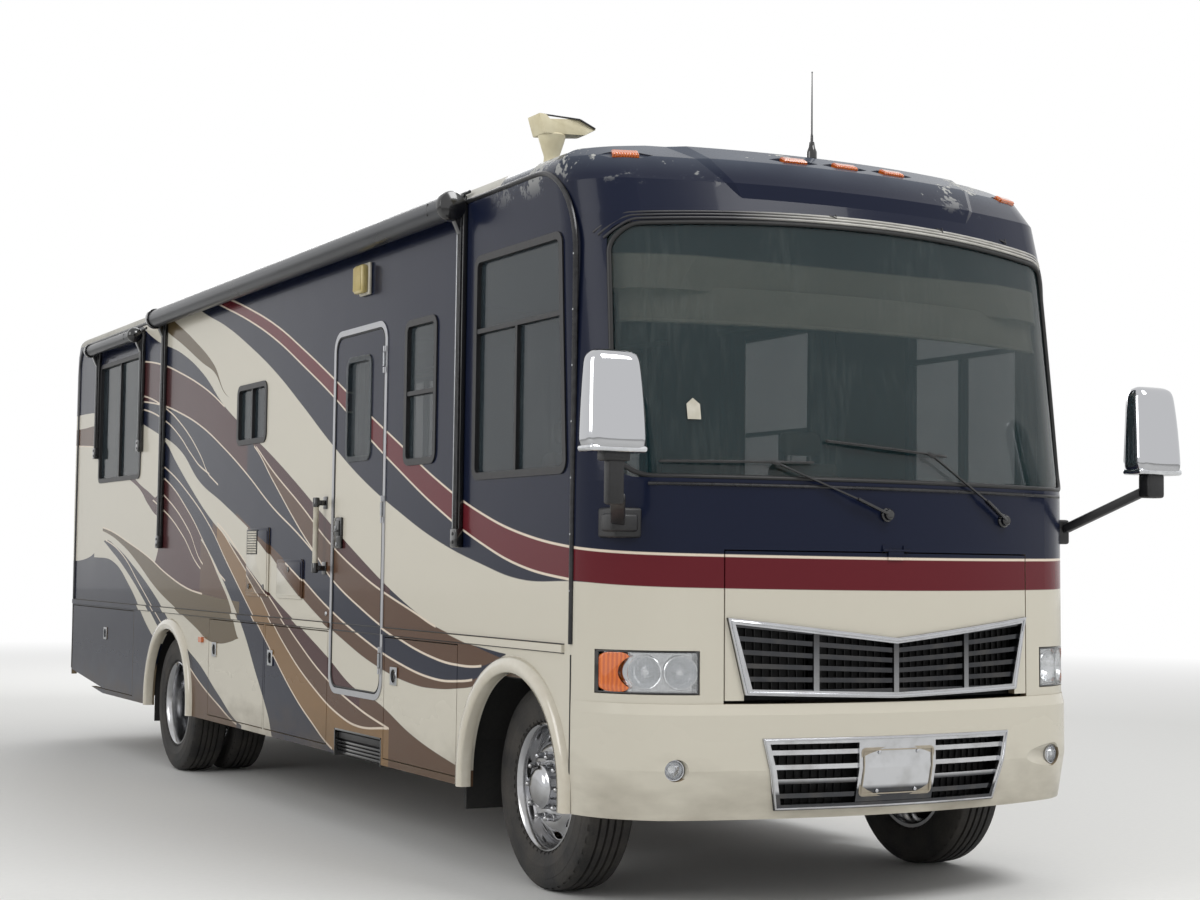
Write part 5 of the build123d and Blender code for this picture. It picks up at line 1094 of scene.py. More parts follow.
def grille_backing():
    """Black screens and fine fins behind both grilles, a bright bead round each, and the blank plate."""
    screen = block(-0.77, 0.77, 0.058, 0.066, 0.905, 1.245, 0, 24)
    settled(wrapped(screen), "upper_grille_screen", "screen", "hood")
    screen = block(-0.63, 0.63, 0.05, 0.058, 0.46, 0.74, 0, 24)
    settled(wrapped(screen), "lower_grille_screen", "screen")
    fins = []
    for number in range(-19, 20):
        x = number * 0.038
        top = 1.175 + abs(x) * 0.107 - 0.02
        fin = block(x - 0.0015, x + 0.0015, 0.046, 0.06, 0.925, top, 0)
        fins.append(wrapped(fin))
    settled(joined(fins), "upper_grille_fins", "seal", "hood")
    fins = []
    for number in range(-15, 16):
        x = number * 0.038
        if abs(x) > 0.21:
            fins.append(wrapped(block(x - 0.0015, x + 0.0015, 0.04, 0.052, 0.475, 0.727, 0)))
    settled(joined(fins), "lower_grille_fins", "seal")

    # A rolled bright bead round each grille
    proud = 0.0135
    slope = (1.25 - 1.165) / 0.791
    upper = [(0, 1.1545), (0.775, 1.1545 + slope * 0.775), (0.7035, 0.9395), (0, 0.9195)]
    ring = upper + [(-x, z) for x, z in reversed(upper[1:3])]
    settled(front_bead(ring, 0.0065, proud, 10), "upper_grille_bead", "chrome", "hood")
    lower = [(-0.569, 0.4575), (0.569, 0.4575), (0.6365, 0.7445), (-0.6365, 0.7445)]
    settled(front_bead(lower, 0.0055, 0.0245, 10), "lower_grille_bead", "chrome")

    # The blank plate: a rolled edge, two screws and a shallow pressed field
    y = -0.018 - 0.0075
    field = wrapped(slab(upright(-0.19, 0.19, y, 0.497, 0.705), (0, 0.004, 0), 0.022, 5, 0.0012))
    settled(field, "plate_field", "plate_blank")
    rim = [(-0.178, 0.508), (0.178, 0.508), (0.178, 0.694), (-0.178, 0.694)]
    settled(front_bead(rim, 0.0028, 0.026, 6), "plate_rim", "plate_blank")
    screws = []
    for x in (-0.1, 0.1):
        for z in (0.52, 0.683):
            spot = (x, nose_y(x, z) - 0.0255, z)
            screws.append(turned(spot, (0, -1, 0),
                                 [(-0.002, 0.008), (0.001, 0.008), (0.003, 0.005), (0.0032, 0)], 16))
    settled(joined(screws), "plate_screws", "chrome")


def front_bead(corners, radius, proud, cuts):
    """A thin bar round an outline in the front view, laid on the body's front."""
    path = []
    ring = corners + corners[:1]
    for (x0, z0), (x1, z1) in zip(ring, ring[1:]):
        for number in range(cuts):
            share = number / cuts
            x, z = x0 + (x1 - x0) * share, z0 + (z1 - z0) * share
            path.append((x, nose_y(x, z) - proud, z))
    return tube(path, radius, smooth=False, closed=True, fineness=2)


def shield_path(margin, proud):
    """Points round the windshield, margin inside its outline, for rubber and trim."""
    path = []
    bottom, top = 1.205 - margin, 1.185 - margin
    low, high, crest = 1.828 + margin, 2.915 - margin, 2.962 - margin
    corner = 0.075
    for number in range(25):
        x = (bottom - corner) * (number / 12 - 1)
        path.append((x, low))
    path += [(bottom - 0.02, low + 0.02), (bottom, low + corner)]
    for number in range(1, 10):
        share = number / 10
        path.append((bottom + (top - bottom) * share, low + corner + (high - corner - low - corner) * share))
    path += [(top, high - corner), (top - 0.02, high - 0.016)]
    for number in range(25):
        x = (top - corner) * (1 - number / 12)
        path.append((x, high + (crest - high) * (1 - (x / top) ** 2)))
    path += [(-x, z) for x, z in path[26:37][::-1]]
    return [(x, nose_y(x, z) - proud, z) for x, z in path]


def windshield_trim():
    """Rubber round the windshield, a ribbed strip with clips over it, the cowl's lip and a blank tag."""
    settled(tube(shield_path(0.006, -0.004), 0.011, closed=True), "windshield_rubber", "seal")
    ribs = []
    for margin, radius, proud in ((-0.012, 0.0065, 0.0025), (-0.0265, 0.0055, 0.001), (-0.039, 0.0055, 0.0)):
        path = shield_path(margin, proud)[37:64]
        ribs.append(tube(path, radius))
    settled(joined(ribs), "brow_strip", "brow_trim")
    lip = [(x * 0.1, nose_y(x * 0.1, 1.802) - 0.002, 1.802) for x in range(-11, 12)]
    settled(tube(lip, 0.0075), "cowl_lip", "moulding")
    tag = wrapped(slab([(-0.93, 0.004, 2.075), (-0.875, 0.004, 2.075), (-0.875, 0.004, 2.14),
                        (-0.903, 0.004, 2.165), (-0.93, 0.004, 2.14)], (0, 0.002, 0)))
    settled(tag, "windshield_tag", "white_plastic")
    clips = []
    for x in (-0.18, 0.42, 0.86):
        z = 3.0
        clips.append(beam((x - 0.018, nose_y(x, z) - 0.003, z + 0.006),
                          (x + 0.018, nose_y(x, z) - 0.003, z - 0.004), 0.006, 0.006, 0.001))
        clips.append(beam((x + 0.02, nose_y(x, z) - 0.003, z - 0.012),
                          (x + 0.012, nose_y(x, z) - 0.004, z + 0.012), 0.004, 0.005, 0.001))
    settled(joined(clips), "brow_clips", "gloss_black")


def mirrors():
    """Chromed heads, narrower at the top, with black arms and brackets on both sides."""
    x0, x1 = 1.287, 1.553
    y0, y1 = NOSE_Y - 0.124, NOSE_Y + 0.024
    z0, z1 = 1.904, 2.316
    middle = (x0 + x1) / 2
    head = block(x0, x1, y0, y1, z0, z1, 0.0)
    alone(head)
    bpy.ops.object.mode_set(mode="EDIT")
    for share in (0.16, 0.5, 0.8):
        bpy.ops.mesh.select_all(action="SELECT")
        bpy.ops.mesh.bisect(plane_co=(0, 0, z0 + share * (z1 - z0)), plane_no=(0, 0, 1))
    leave()
    for vertex in head.data.vertices:
        rise = (vertex.co.z - z0) / (z1 - z0)
        narrow = 1 - 0.16 * rise**2
        vertex.co.x = middle + (vertex.co.x - middle) * narrow
        if vertex.co.y < NOSE_Y - 0.05:
            vertex.co.y += 0.035 * rise**2
    modified(head, "BEVEL", width=0.05, segments=6, angle_limit=0.8)
    modified(head, "SUBSURF", levels=1, render_levels=1)
    both(head, "mirror_head", "chrome", smooth=60)
    ledge = block(x0 + 0.004, x1 - 0.004, y0 + 0.012, y1 - 0.01, z0 + 0.002, z0 + 0.03, 0.013)
    both(ledge, "mirror_ledge", "reflector")
    face = slab([(x0 + 0.03, y1 - 0.004, z0 + 0.045), (x1 - 0.03, y1 - 0.004, z0 + 0.045),
                 (x1 - 0.048, y1 - 0.004, z1 - 0.05), (x0 + 0.048, y1 - 0.004, z1 - 0.05)], (0, 0.003, 0),
                0.03, 6)
    both(face, "mirror_glass", "mirror_glass")
    rim = slab([(x0 + 0.022, y1 - 0.006, z0 + 0.037), (x1 - 0.022, y1 - 0.006, z0 + 0.037),
                (x1 - 0.041, y1 - 0.006, z1 - 0.043), (x0 + 0.041, y1 - 0.006, z1 - 0.043)], (0, 0.004, 0),
               0.034, 6)
    settled(mirrored(rim), "mirror_rim_right", "black_trim")
    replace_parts(settled(rim, "mirror_rim_left", "black_trim"), "mirrors")

    # Driver's side: a box bracket and a thick straight arm; door side: a flat arm down to a box
    arm_y = NOSE_Y - 0.05
    bracket = block(1.14, 1.225, at(0.29), at(0.42), 1.585, 1.70, 0.012)
    arm = beam((1.2, at(0.3), 1.655), (1.405, arm_y + 0.03, 1.835), 0.06, 0.042, 0.012)
    knuckle = block(1.365, 1.465, arm_y - 0.035, arm_y + 0.04, 1.8, 1.912, 0.014)
    bolt = turned((1.16, at(0.288), 1.642), (0, -1, 0),
                  [(-0.01, 0.017), (0.002, 0.017), (0.005, 0.013), (0.005, 0)], 20)
    settled(joined([bracket, arm, knuckle, bolt]), "mirror_arm_left", "black_trim")
    bracket = block(-1.245, -1.115, at(0.245), at(0.40), 1.575, 1.70, 0.012)
    foot = block(-1.27, -1.14, at(0.23), at(0.33), 1.60, 1.675, 0.014)
    arm = beam((-1.225, at(0.26), 1.64), (-1.395, arm_y, 1.73), 0.062, 0.04, 0.012)
    post = block(-1.45, -1.375, arm_y - 0.022, arm_y + 0.022, 1.7, 1.92, 0.012)
    collar = block(-1.475, -1.355, arm_y - 0.032, arm_y + 0.032, 1.872, 1.912, 0.01)
    settled(joined([bracket, foot, arm, post, collar]), "mirror_arm_right", "black_trim")


# Wipers in the front view: pivot, arm's end, outer tip, inner tip
WIPERS = [
    ((-0.048, 1.69), (-0.60, 1.905), (-1.06, 1.895), (-0.40, 1.905)),
    ((0.64, 1.68), (0.19, 1.965), (-0.33, 2.0), (0.30, 1.955)),
]


def wiper_point(x, z, proud):
    return Vector((x, nose_y(x, z) - proud, z))


def wipers():
    """Tapered arms with a spring bar, hubs, and blades on a bridged frame."""
    pieces = []
    for pivot, elbow, tip_out, tip_in in WIPERS:
        hub = wiper_point(*pivot, 0.001)
        pieces.append(turned(hub, (0, -1, 0.06), [(0, 0.03), (0.01, 0.03), (0.016, 0.024), (0.03, 0.022),
                                                   (0.036, 0.016), (0.038, 0.0)], 28))
        third = [first + (last - first) * 0.3 for first, last in zip(pivot, elbow)]
        pieces.append(beam(wiper_point(*pivot, 0.026), wiper_point(*third, 0.03), 0.024, 0.013, 0.004))
        pieces.append(beam(wiper_point(*third, 0.03), wiper_point(*elbow, 0.024), 0.013, 0.008, 0.002))
        spread = [(first * 0.94 + last * 0.06) for first, last in zip(elbow, pivot)]
        pieces.append(beam(wiper_point(*spread, 0.03), wiper_point(*elbow, 0.014), 0.022, 0.018, 0.004))
        run = [[tip_out[axis] + (tip_in[axis] - tip_out[axis]) * number / 12 for axis in (0, 1)]
               for number in range(13)]
        for first, last in zip(run, run[1:]):
            pieces.append(beam(wiper_point(*first, 0.004), wiper_point(*last, 0.004), 0.006, 0.012, 0.001))
        for first, last in ((0, 4), (8, 12)):
            middle = run[(first + last) // 2]
            pieces.append(beam(wiper_point(*run[first], 0.009), wiper_point(*middle, 0.017), 0.011, 0.005,
                               0.001))
            pieces.append(beam(wiper_point(*middle, 0.017), wiper_point(*run[last], 0.009), 0.011, 0.005,
                               0.001))
        pieces.append(beam(wiper_point(*run[2], 0.018), wiper_point(*run[6], 0.022), 0.012, 0.006, 0.001))
        pieces.append(beam(wiper_point(*run[6], 0.022), wiper_point(*run[10], 0.018), 0.012, 0.006, 0.001))
    both_wipers = settled(joined(pieces), "wiper_set", "gloss_black")
    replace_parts(both_wipers, "wipers")


# The sides

def side_x(z):
    """Half the body's width at a height, over the rounded shoulder."""
    if z < 3.165:
        return HALF_WIDTH
    return 1.16 + math.sqrt(max(0.12**2 - (z - 3.165) ** 2, 0))


def side_path(points):
    """A path on the driver's side from (station, height) points."""
    return [(side_x(z), at(station), z) for station, z in points]


def arc_points(station, z, radius, first, last, count=8):
    """Points of an arc in the side view, its angles in degrees."""
    turns = [math.radians(first + (last - first) * number / count) for number in range(count + 1)]
    return [(station + radius * math.cos(turn), z + radius * math.sin(turn)) for turn in turns]


def mouldings():
    """Rounded dark mouldings over the cap's seams, the roof's edge, and the lower seams."""
    path = [(0.56, 1.125), (0.56, 1.8), (0.56, 2.5)] + arc_points(0.96, 2.8, 0.4, 180, 90)
    path += [(1.35, 3.195), (3.0, 3.195), (6.0, 3.195), (9.0, 3.195)] + arc_points(9.28, 2.995, 0.2, 90, 0)
    path += [(9.48, 2.4), (9.48, 1.8), (9.48, 1.125)]
    both(tube(side_path(path), 0.0125), "seam_moulding", "moulding")
    seams = [
        tube(side_path([(0.56, 0.43), (0.56, 1.08)]), 0.0035, smooth=False),
        tube(side_path([(9.52, 0.56), (9.52, 1.08)]), 0.0035, smooth=False),
        tube(side_path([(0.62, 1.0845), (9.5, 1.0845)]), 0.003, smooth=False),
        tube(side_path([(0.62, 1.1225), (9.5, 1.1225)]), 0.003, smooth=False),
    ]
    both(joined(seams), "side_seams", "seal")
    screws = []
    for number in range(7):
        z = 1.35 + number * 0.24
        spot = (HALF_WIDTH + 0.0115, at(0.56), z)
        screws.append(turned(spot, (1, 0, 0), [(0, 0.005), (0.0015, 0.004), (0.002, 0)], 12))
    both(joined(screws), "moulding_screws", "aluminium")


# Bay doors' latches: body, side, latch station
LATCHES = [
    ("bay_door_right_1", -1, 2.52), ("bay_door_right_2", -1, 4.47), ("bay_door_right_3", -1, 5.59),
    ("bay_door_right_4", -1, 8.42), ("bay_door_left_1", 1, 3.3), ("bay_door_left_2", 1, 5.59),
    ("bay_door_left_3", 1, 8.42),
]
LATCH_Z = 0.88


def latches():
    """A pressed plate with a round cup and a paddle with a lock on each bay door."""
    for body, side, station in LATCHES:
        spot = (side * (HALF_WIDTH + 0.0045), at(station), LATCH_Z)
        ring = turned(spot, (side, 0, 0),
                      [(-0.02, 0.0325), (0.002, 0.0335), (0.0035, 0.037), (0.0005, 0.041)], 40)
        plate = block(
            side * (HALF_WIDTH + 0.0045), side * (HALF_WIDTH + 0.0065), at(station) - 0.046,
            at(station) + 0.046, LATCH_Z - 0.046, LATCH_Z + 0.046, 0.0008,
        )
        cutter = rod(spot, (side, 0, 0), 0.036, -0.02, 0.02, 40)
        modified(plate, "BOOLEAN", operation="DIFFERENCE", object=cutter)
        bpy.data.objects.remove(cutter)
        x = side * (HALF_WIDTH - 0.0115)
        paddle = block(x, x + side * 0.009, at(station) - 0.014, at(station) + 0.014, LATCH_Z - 0.026,
                       LATCH_Z + 0.02, 0.003)
        lock = turned((x + side * 0.009, at(station), LATCH_Z - 0.005), (side, 0, 0),
                      [(-0.002, 0.008), (0.003, 0.008), (0.004, 0.006), (0.0035, 0)], 20)
        settled(joined([ring, plate]), body + "_latch", "aluminium", body)
        settled(joined([paddle, lock]), body + "_paddle", "gloss_black", body)


def entry_fittings():
    """The door's handle, locks, seal and hinge covers, the handrail, and the little bolt behind the door."""
    handle = block(-1.279, -1.297, at(3.292), at(3.398), 1.532, 1.702, 0.006)
    paddle = block(-1.296, -1.304, at(3.303), at(3.386), 1.60, 1.685, 0.004)
    grip = beam((-1.303, at(3.31), 1.628), (-1.303, at(3.38), 1.628), 0.02, 0.012, 0.004)
    settled(joined([handle, paddle, grip]), "door_handle", "gloss_black", "entry_door")
    locks = []
    for z in (1.555, 1.645):
        locks.append(turned((-1.297 if z < 1.6 else -1.304, at(3.35), z), (-1, 0, 0),
                            [(-0.003, 0.012), (0.003, 0.012), (0.004, 0.009), (0.003, 0.0)], 24))
    settled(joined(locks), "door_locks", "aluminium", "entry_door")

    y0, y1, z0, z1 = at(2.7185), at(3.4315), 0.7785, 2.6915
    corner = 0.078
    ring = []
    for cy, cz, first in ((y1 - corner, z1 - corner, 0), (y0 + corner, z1 - corner, 90),
                          (y0 + corner, z0 + corner, 180), (y1 - corner, z0 + corner, 270)):
        ring += [(-1.281, y, z) for y, z in arc_points(cy, cz, corner, first, first + 90, 6)]
    seal = tube(ring, 0.0045, smooth=False, closed=True, fineness=2)
    settled(seal, "door_seal", "seal", "entry_door")

    hinge_pins = []
    for z in (0.95, 1.735, 2.52):
        hinge_pins.append(rod((-1.29, at(2.715), z - 0.036), (0, 0, 1), 0.0065, 0, 0.072, 16))
    settled(joined(hinge_pins), "door_hinge_covers", "aluminium", "entry_door")

    rail_x, rail_y = -1.338, at(3.57)
    rail = rod((rail_x, rail_y, 1.435), (0, 0, 1), 0.0155, 0, 0.34, 28)
    settled(rail, "handrail_tube", "white_plastic")
    ends = []
    for z, lift in ((1.395, 0.055), (1.76, 0.055)):
        ends.append(turned((rail_x, rail_y, z), (0, 0, 1),
                           [(0, 0), (0, 0.014), (0.006, 0.019), (lift - 0.006, 0.019), (lift, 0.0165),
                            (lift, 0)], 28))
        ends.append(beam((-1.282, rail_y, z + 0.026), (rail_x, rail_y, z + 0.026), 0.034, 0.03, 0.006))
        ends.append(block(-1.281, -1.288, rail_y - 0.03, rail_y + 0.03, z - 0.008, z + 0.062, 0.004))
    settled(joined(ends), "handrail_ends", "gloss_black")
    bolt = turned((-1.28, at(3.53), 1.17), (-1, 0, 0),
                  [(0, 0.013), (0.003, 0.013), (0.007, 0.008), (0.0075, 0)], 20)
    settled(bolt, "side_bolt", "aluminium")


def hatches():
    """Two framed hatches, one with louvres, and the porch light."""
    made = []
    for front, rear, low, high in ((4.53, 4.95, 1.24, 1.66), (3.92, 4.37, 1.24, 1.47)):
        for inset, x, thick, corner, segments, edge in (
            (0, SKIN_X, 0.0095, 0.022, 5, 0.003),
            (0.018, -1.29, 0.0042, 0.014, 4, 0.0018),
        ):
            y0, y1 = at(front + inset), at(rear - inset)
            z0, z1 = low + inset, high - inset
            outline = [(x, y0, z0), (x, y1, z0), (x, y1, z1), (x, y0, z1)]
            made.append(slab(outline, (-thick, 0, 0), corner, segments, edge))
    plates = settled(joined(made), "hatch_plates", "body_paint")
    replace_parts(plates, "side_hatches")

    vent_frame = block(-1.2935, -1.2965, at(4.725), at(4.925), 1.497, 1.648, 0.0012)
    louvres = []
    for number in range(9):
        z = 1.509 + number * 0.0155
        louvres.append(beam((-1.2965, at(4.74), z), (-1.2965, at(4.91), z), 0.004, 0.0105, 0.001))
    settled(vent_frame, "hatch_vent_frame", "seal")
    settled(joined(louvres), "hatch_vent_louvres", "white_plastic")
    locks = []
    for station, z in ((4.145, 1.41), (4.60, 1.30), (4.88, 1.30)):
        locks.append(turned((-1.2945, at(station), z), (-1, 0, 0),
                            [(-0.002, 0.017), (0.002, 0.017), (0.004, 0.013), (0.0025, 0.011), (0.003, 0.0)],
                            24))
    settled(joined(locks), "hatch_locks", "gloss_black")

    base = block(SKIN_X, -1.30, at(2.928), at(3.072), 2.888, 3.062, 0.008)
    settled(base, "porch_light_base", "white_plastic")
    lens_block = block(-1.298, -1.34, at(2.936), at(3.064), 2.896, 3.05, 0.016)
    bars = [block(-1.338, -1.3425, at(2.945 + 0.0105 * number), at(2.949 + 0.0105 * number), 2.91, 3.036,
                  0.001) for number in range(11)]
    settled(joined([lens_block] + bars), "porch_light_lens", "aged_lens")


# Awnings: front station, rear station, roller height, roller radius, arm foot height
AWNINGS = [(1.67, 6.95, 3.165, 0.06, 1.54), (7.44, 8.85, 3.105, 0.042, 2.25)]
AWNING_X = -1.362


def awnings():
    """Rolled canopies in dark metal covers, with ribbed arms, feet and domed end caps."""
    for number, (front, rear, height, radius, foot) in enumerate(AWNINGS, 1):
        prefix = f"awning_{number}_"
        y0, length = at(front), rear - front
        roll = rod((AWNING_X, y0 + 0.03, height), (0, 1, 0), radius - 0.008, 0, length - 0.06)
        settled(roll, prefix + "roll", "canvas")
        arc = [(AWNING_X + radius * math.sin(math.radians(turn)), y0 + 0.02,
                height + radius * math.cos(math.radians(turn))) for turn in range(-200, 61, 20)]
        cover = drawn(arc)
        bpy.ops.mesh.extrude_region_move(TRANSFORM_OT_translate={"value": (0, length - 0.04, 0)})
        cleaned()
        modified(seated(cover), "SOLIDIFY", thickness=0.0025, offset=0)
        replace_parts(settled(cover, prefix + "cover", "awning_metal", smooth=50), "awnings")
        rim = radius + 0.012
        caps = []
        for end, way in ((y0 + 0.03, -1), (y0 + length - 0.03, 1)):
            caps.append(turned((AWNING_X, end, height), (0, way, 0),
                               [(-0.03, rim - 0.006), (-0.026, rim), (0.004, rim), (0.014, rim - 0.006),
                                (0.024, rim * 0.6), (0.028, rim * 0.25), (0.0285, 0.0)], 40))
        arms, ribs, edges = [], [], []
        for start in (front + 0.02, rear - 0.08):
            a, b = at(start), at(start) + 0.06
            arms.append(block(SKIN_X, -1.306, a, b, foot + 0.02, height + radius * 0.3, 0.004))
            arms.append(block(SKIN_X, -1.322, a - 0.004, b + 0.004, foot - 0.005, foot + 0.085, 0.008))
            for y in (a + 0.006, a + 0.021, a + 0.036):
                ribs.append(block(-1.305, -1.3165, y, y + 0.009, foot + 0.085, height - radius * 0.6, 0.0025))
            edges.append(block(-1.300, -1.3135, b - 0.009, b + 0.001, foot + 0.085, height - radius, 0.002))
            gusset = slab([(SKIN_X, (a + b) / 2 - 0.02, height + radius),
                           (-1.3, (a + b) / 2 - 0.02, height - 0.16),
                           (AWNING_X, (a + b) / 2 - 0.02, height - radius * 0.5),
                           (AWNING_X, (a + b) / 2 - 0.02, height + radius)], (0, 0.04, 0), 0.012, 3, 0.003)
            arms.append(gusset)
            for z in (foot + 0.02, foot + 0.06):
                ribs.append(turned((-1.322, (a + b) / 2, z), (-1, 0, 0),
                                   [(-0.002, 0.009), (0.003, 0.008), (0.0045, 0)], 16))
        settled(joined(arms + caps), prefix + "arms", "gloss_black")
        settled(joined(ribs), prefix + "ribs", "moulding")
        settled(joined(edges), prefix + "arm_edges", "aluminium")
        rail = tube([(-1.283, at(front), height + radius + 0.012),
                     (-1.283, at(rear), height + radius + 0.012)], 0.008, smooth=False)
        strap = tube([(AWNING_X - radius * 0.9, y0 + 0.2, height - radius * 0.5),
                      (AWNING_X - radius, y0 + 0.2, height),
                      (AWNING_X - radius * 0.9, y0 + 0.2, height + radius * 0.5)], 0.004)
        settled(joined([rail, strap]), prefix + "rail", "moulding")


# Roof and rear

# Stations of the air conditioners, and (x, station) of the vents
AIR_CONDITIONERS = (3.8, 7.8)
VENTS = ((0, 2.7), (0, 5.6), (-0.5, 4.8), (0, 6.6))
TAIL = 9.7


def roof_details():
    """Louvres and seams on the air conditioners, lids on the vents, the antenna's wing, and the whip."""
    grilles, lids, seams = [], [], []
    for station in AIR_CONDITIONERS:
        y = at(station)
        for number in range(7):
            z = 3.40 + number * 0.011
            grilles.append(beam((-0.24, y + 0.5035, z), (0.24, y + 0.5035, z), 0.004, 0.008, 0.001))
            grilles.append(beam((-0.24, y - 0.5035, z), (0.24, y - 0.5035, z), 0.004, 0.008, 0.001))
            for side in (-1, 1):
                grilles.append(beam((side * 0.3535, y - 0.3, z), (side * 0.3535, y + 0.3, z), 0.008, 0.004,
                                    0.001))
        for x in (-0.3, 0.3):
            for way in (-0.4, 0.4):
                seams.append(turned((x, y + way, 3.488), (0, 0, 1),
                                    [(0, 0.014), (0.004, 0.014), (0.008, 0.008), (0.009, 0)], 16))
    for x, station in VENTS:
        y = at(station)
        for corner in (-1, 1):
            seams.append(rod((x + corner * 0.09, y - 0.21, 3.405), (1, 0, 0), 0.008, -0.02, 0.02, 16))
        lids.append(block(x - 0.208, x + 0.208, y - 0.208, y + 0.208, 3.398, 3.412, 0.005))
        for offset in (-0.08, 0.0, 0.08):
            lids.append(beam((x + offset, y - 0.15, 3.4515), (x + offset, y + 0.15, 3.4515), 0.012, 0.008,
                             0.003))
    settled(joined(grilles), "roof_unit_louvres", "gloss_black")
    settled(joined(lids), "roof_vent_lids", "white_plastic")
    settled(joined(seams), "roof_unit_fasteners", "aluminium")

    x, y = -1.09, at(1.09)
    outline = [(-0.144, 3.499), (-0.106, 3.497), (-0.088, 3.478), (0.07, 3.497), (0.167, 3.462), (0.1, 3.425),
               (-0.04, 3.414), (-0.115, 3.41)]
    wing = slab([(x + reach, y - 0.06, z) for reach, z in outline], (0, 0.12, 0), 0.004, 2)
    for vertex in wing.data.vertices:
        reach = max(0, vertex.co.x - x) / 0.17
        vertex.co.y = y + (vertex.co.y - y) * (1 - 0.6 * min(reach, 1))
    modified(wing, "BEVEL", width=0.007, segments=3, angle_limit=0.7)
    stem = turned((x - 0.048, y, 3.19), (0, 0, 1),
                  [(0, 0.08), (0.03, 0.078), (0.055, 0.05), (0.11, 0.036), (0.13, 0.036), (0.16, 0.046),
                   (0.222, 0.065), (0.228, 0.062), (0.228, 0)], 36)
    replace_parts(settled(joined([wing, stem]), "television_antenna", "aged_plastic"), "antennas")
    spine = joined([
        beam((x - 0.14, y - 0.056, 3.495), (x + 0.07, y - 0.05, 3.493), 0.006, 0.008, 0.002),
        beam((x + 0.07, y - 0.05, 3.493), (x + 0.16, y - 0.03, 3.464), 0.006, 0.008, 0.002),
    ])
    settled(spine, "antenna_spine", "moulding")
    x, y = -0.105, at(0.51)
    mount = turned((x, y, 3.318), (0, 0, 1),
                   [(0, 0.024), (0.03, 0.024), (0.05, 0.016), (0.075, 0.012), (0.08, 0.007), (0.11, 0.006),
                    (0.11, 0)], 24)
    whip = turned((x, y, 3.42), Vector((0.02, 0.03, 0.31)),
                  [(0, 0.0045), (0.16, 0.0035), (0.307, 0.0022), (0.307, 0)], 12)
    ball = turned((x + 0.0195, y + 0.029, 3.72), (0, 0, 1),
                  [(0, 0), (0.003, 0.0035), (0.007, 0.0035), (0.01, 0)], 12)
    settled(joined([mount, whip, ball]), "whip_antenna", "gloss_black")


def rear_details():
    """Bezels and clear sections on the tail lamps, and the ladder's feet and treads."""
    bezels, clears = [], []
    for side in (-1, 1):
        x0, x1 = sorted((side * 0.94, side * 1.09))
        y = at(TAIL) + 0.0225
        ring = upright(x0 - 0.008, x1 + 0.008, y - 0.004, 1.242, 1.658)
        bezels.append(tube(ring, 0.008, smooth=False, closed=True, fineness=2))
        clears.append(block(x0 + 0.006, x1 - 0.006, y - 0.002, y + 0.004, 1.38, 1.47, 0.0015))
        clears.append(block(x0 + 0.002, x1 - 0.002, y - 0.002, y + 0.002, 1.373, 1.378, 0.0008))
    settled(joined(bezels), "tail_lamp_bezels", "chrome")
    settled(joined(clears), "reversing_lenses", "reflector")
    feet = []
    for x in (0.48, 0.8):
        for z in (1.25, 2.2, 3.05):
            spot = (x, at(TAIL) + 0.001, z)
            feet.append(turned(spot, (0, 1, 0),
                               [(-0.004, 0.032), (0.004, 0.03), (0.008, 0.016), (0.02, 0.0135)], 24))
    settled(joined(feet), "ladder_feet", "gloss_black")
    treads = []
    for number in range(7):
        z = 1.23 + 0.3 * number
        treads.append(block(0.51, 0.77, at(9.79) - 0.012, at(9.79) + 0.012, z + 0.0095, z + 0.016, 0.002))
    settled(joined(treads), "ladder_treads", "seal")


def step_details():
    """Ribbed tread on the entry step, and the black housing that it folds into."""
    ribs = []
    for number in range(9):
        x = -1.245 + 0.044 * number
        ribs.append(block(x, x + 0.012, at(2.71), at(3.34), 0.529, 0.535, 0.0015))
    edge = block(-1.262, -1.252, at(2.70), at(3.35), 0.498, 0.534, 0.003)
    settled(joined(ribs + [edge]), "entry_step_tread", "seal")
    lining = [
        block(-1.2815, -0.9, at(2.682), at(2.692), 0.405, 0.553, 0.001),
        block(-1.2815, -0.9, at(3.358), at(3.368), 0.405, 0.553, 0.001),
        block(-1.2815, -0.9, at(2.682), at(3.368), 0.543, 0.553, 0.001),
    ]
    for number in range(4):
        z = 0.425 + number * 0.019
        lining.append(beam((-1.258, at(2.69), z), (-1.258, at(3.36), z), 0.009, 0.012, 0.002))
    back = block(-1.235, -1.225, at(2.69), at(3.36), 0.405, 0.545, 0.001)
    settled(joined(lining), "step_housing", "gloss_black")
    settled(back, "step_housing_back", "screen")


# Seats and cabin

def reshaped(piece, move):
    """Moves each point by what a function of its place gives."""
    for vertex in piece.data.vertices:
        vertex.co += Vector(move(*vertex.co))
    return piece


# The filling's pressure, and how many frames it swells for
FILLING_PRESSURE = 4
FILLING_FRAMES = 20


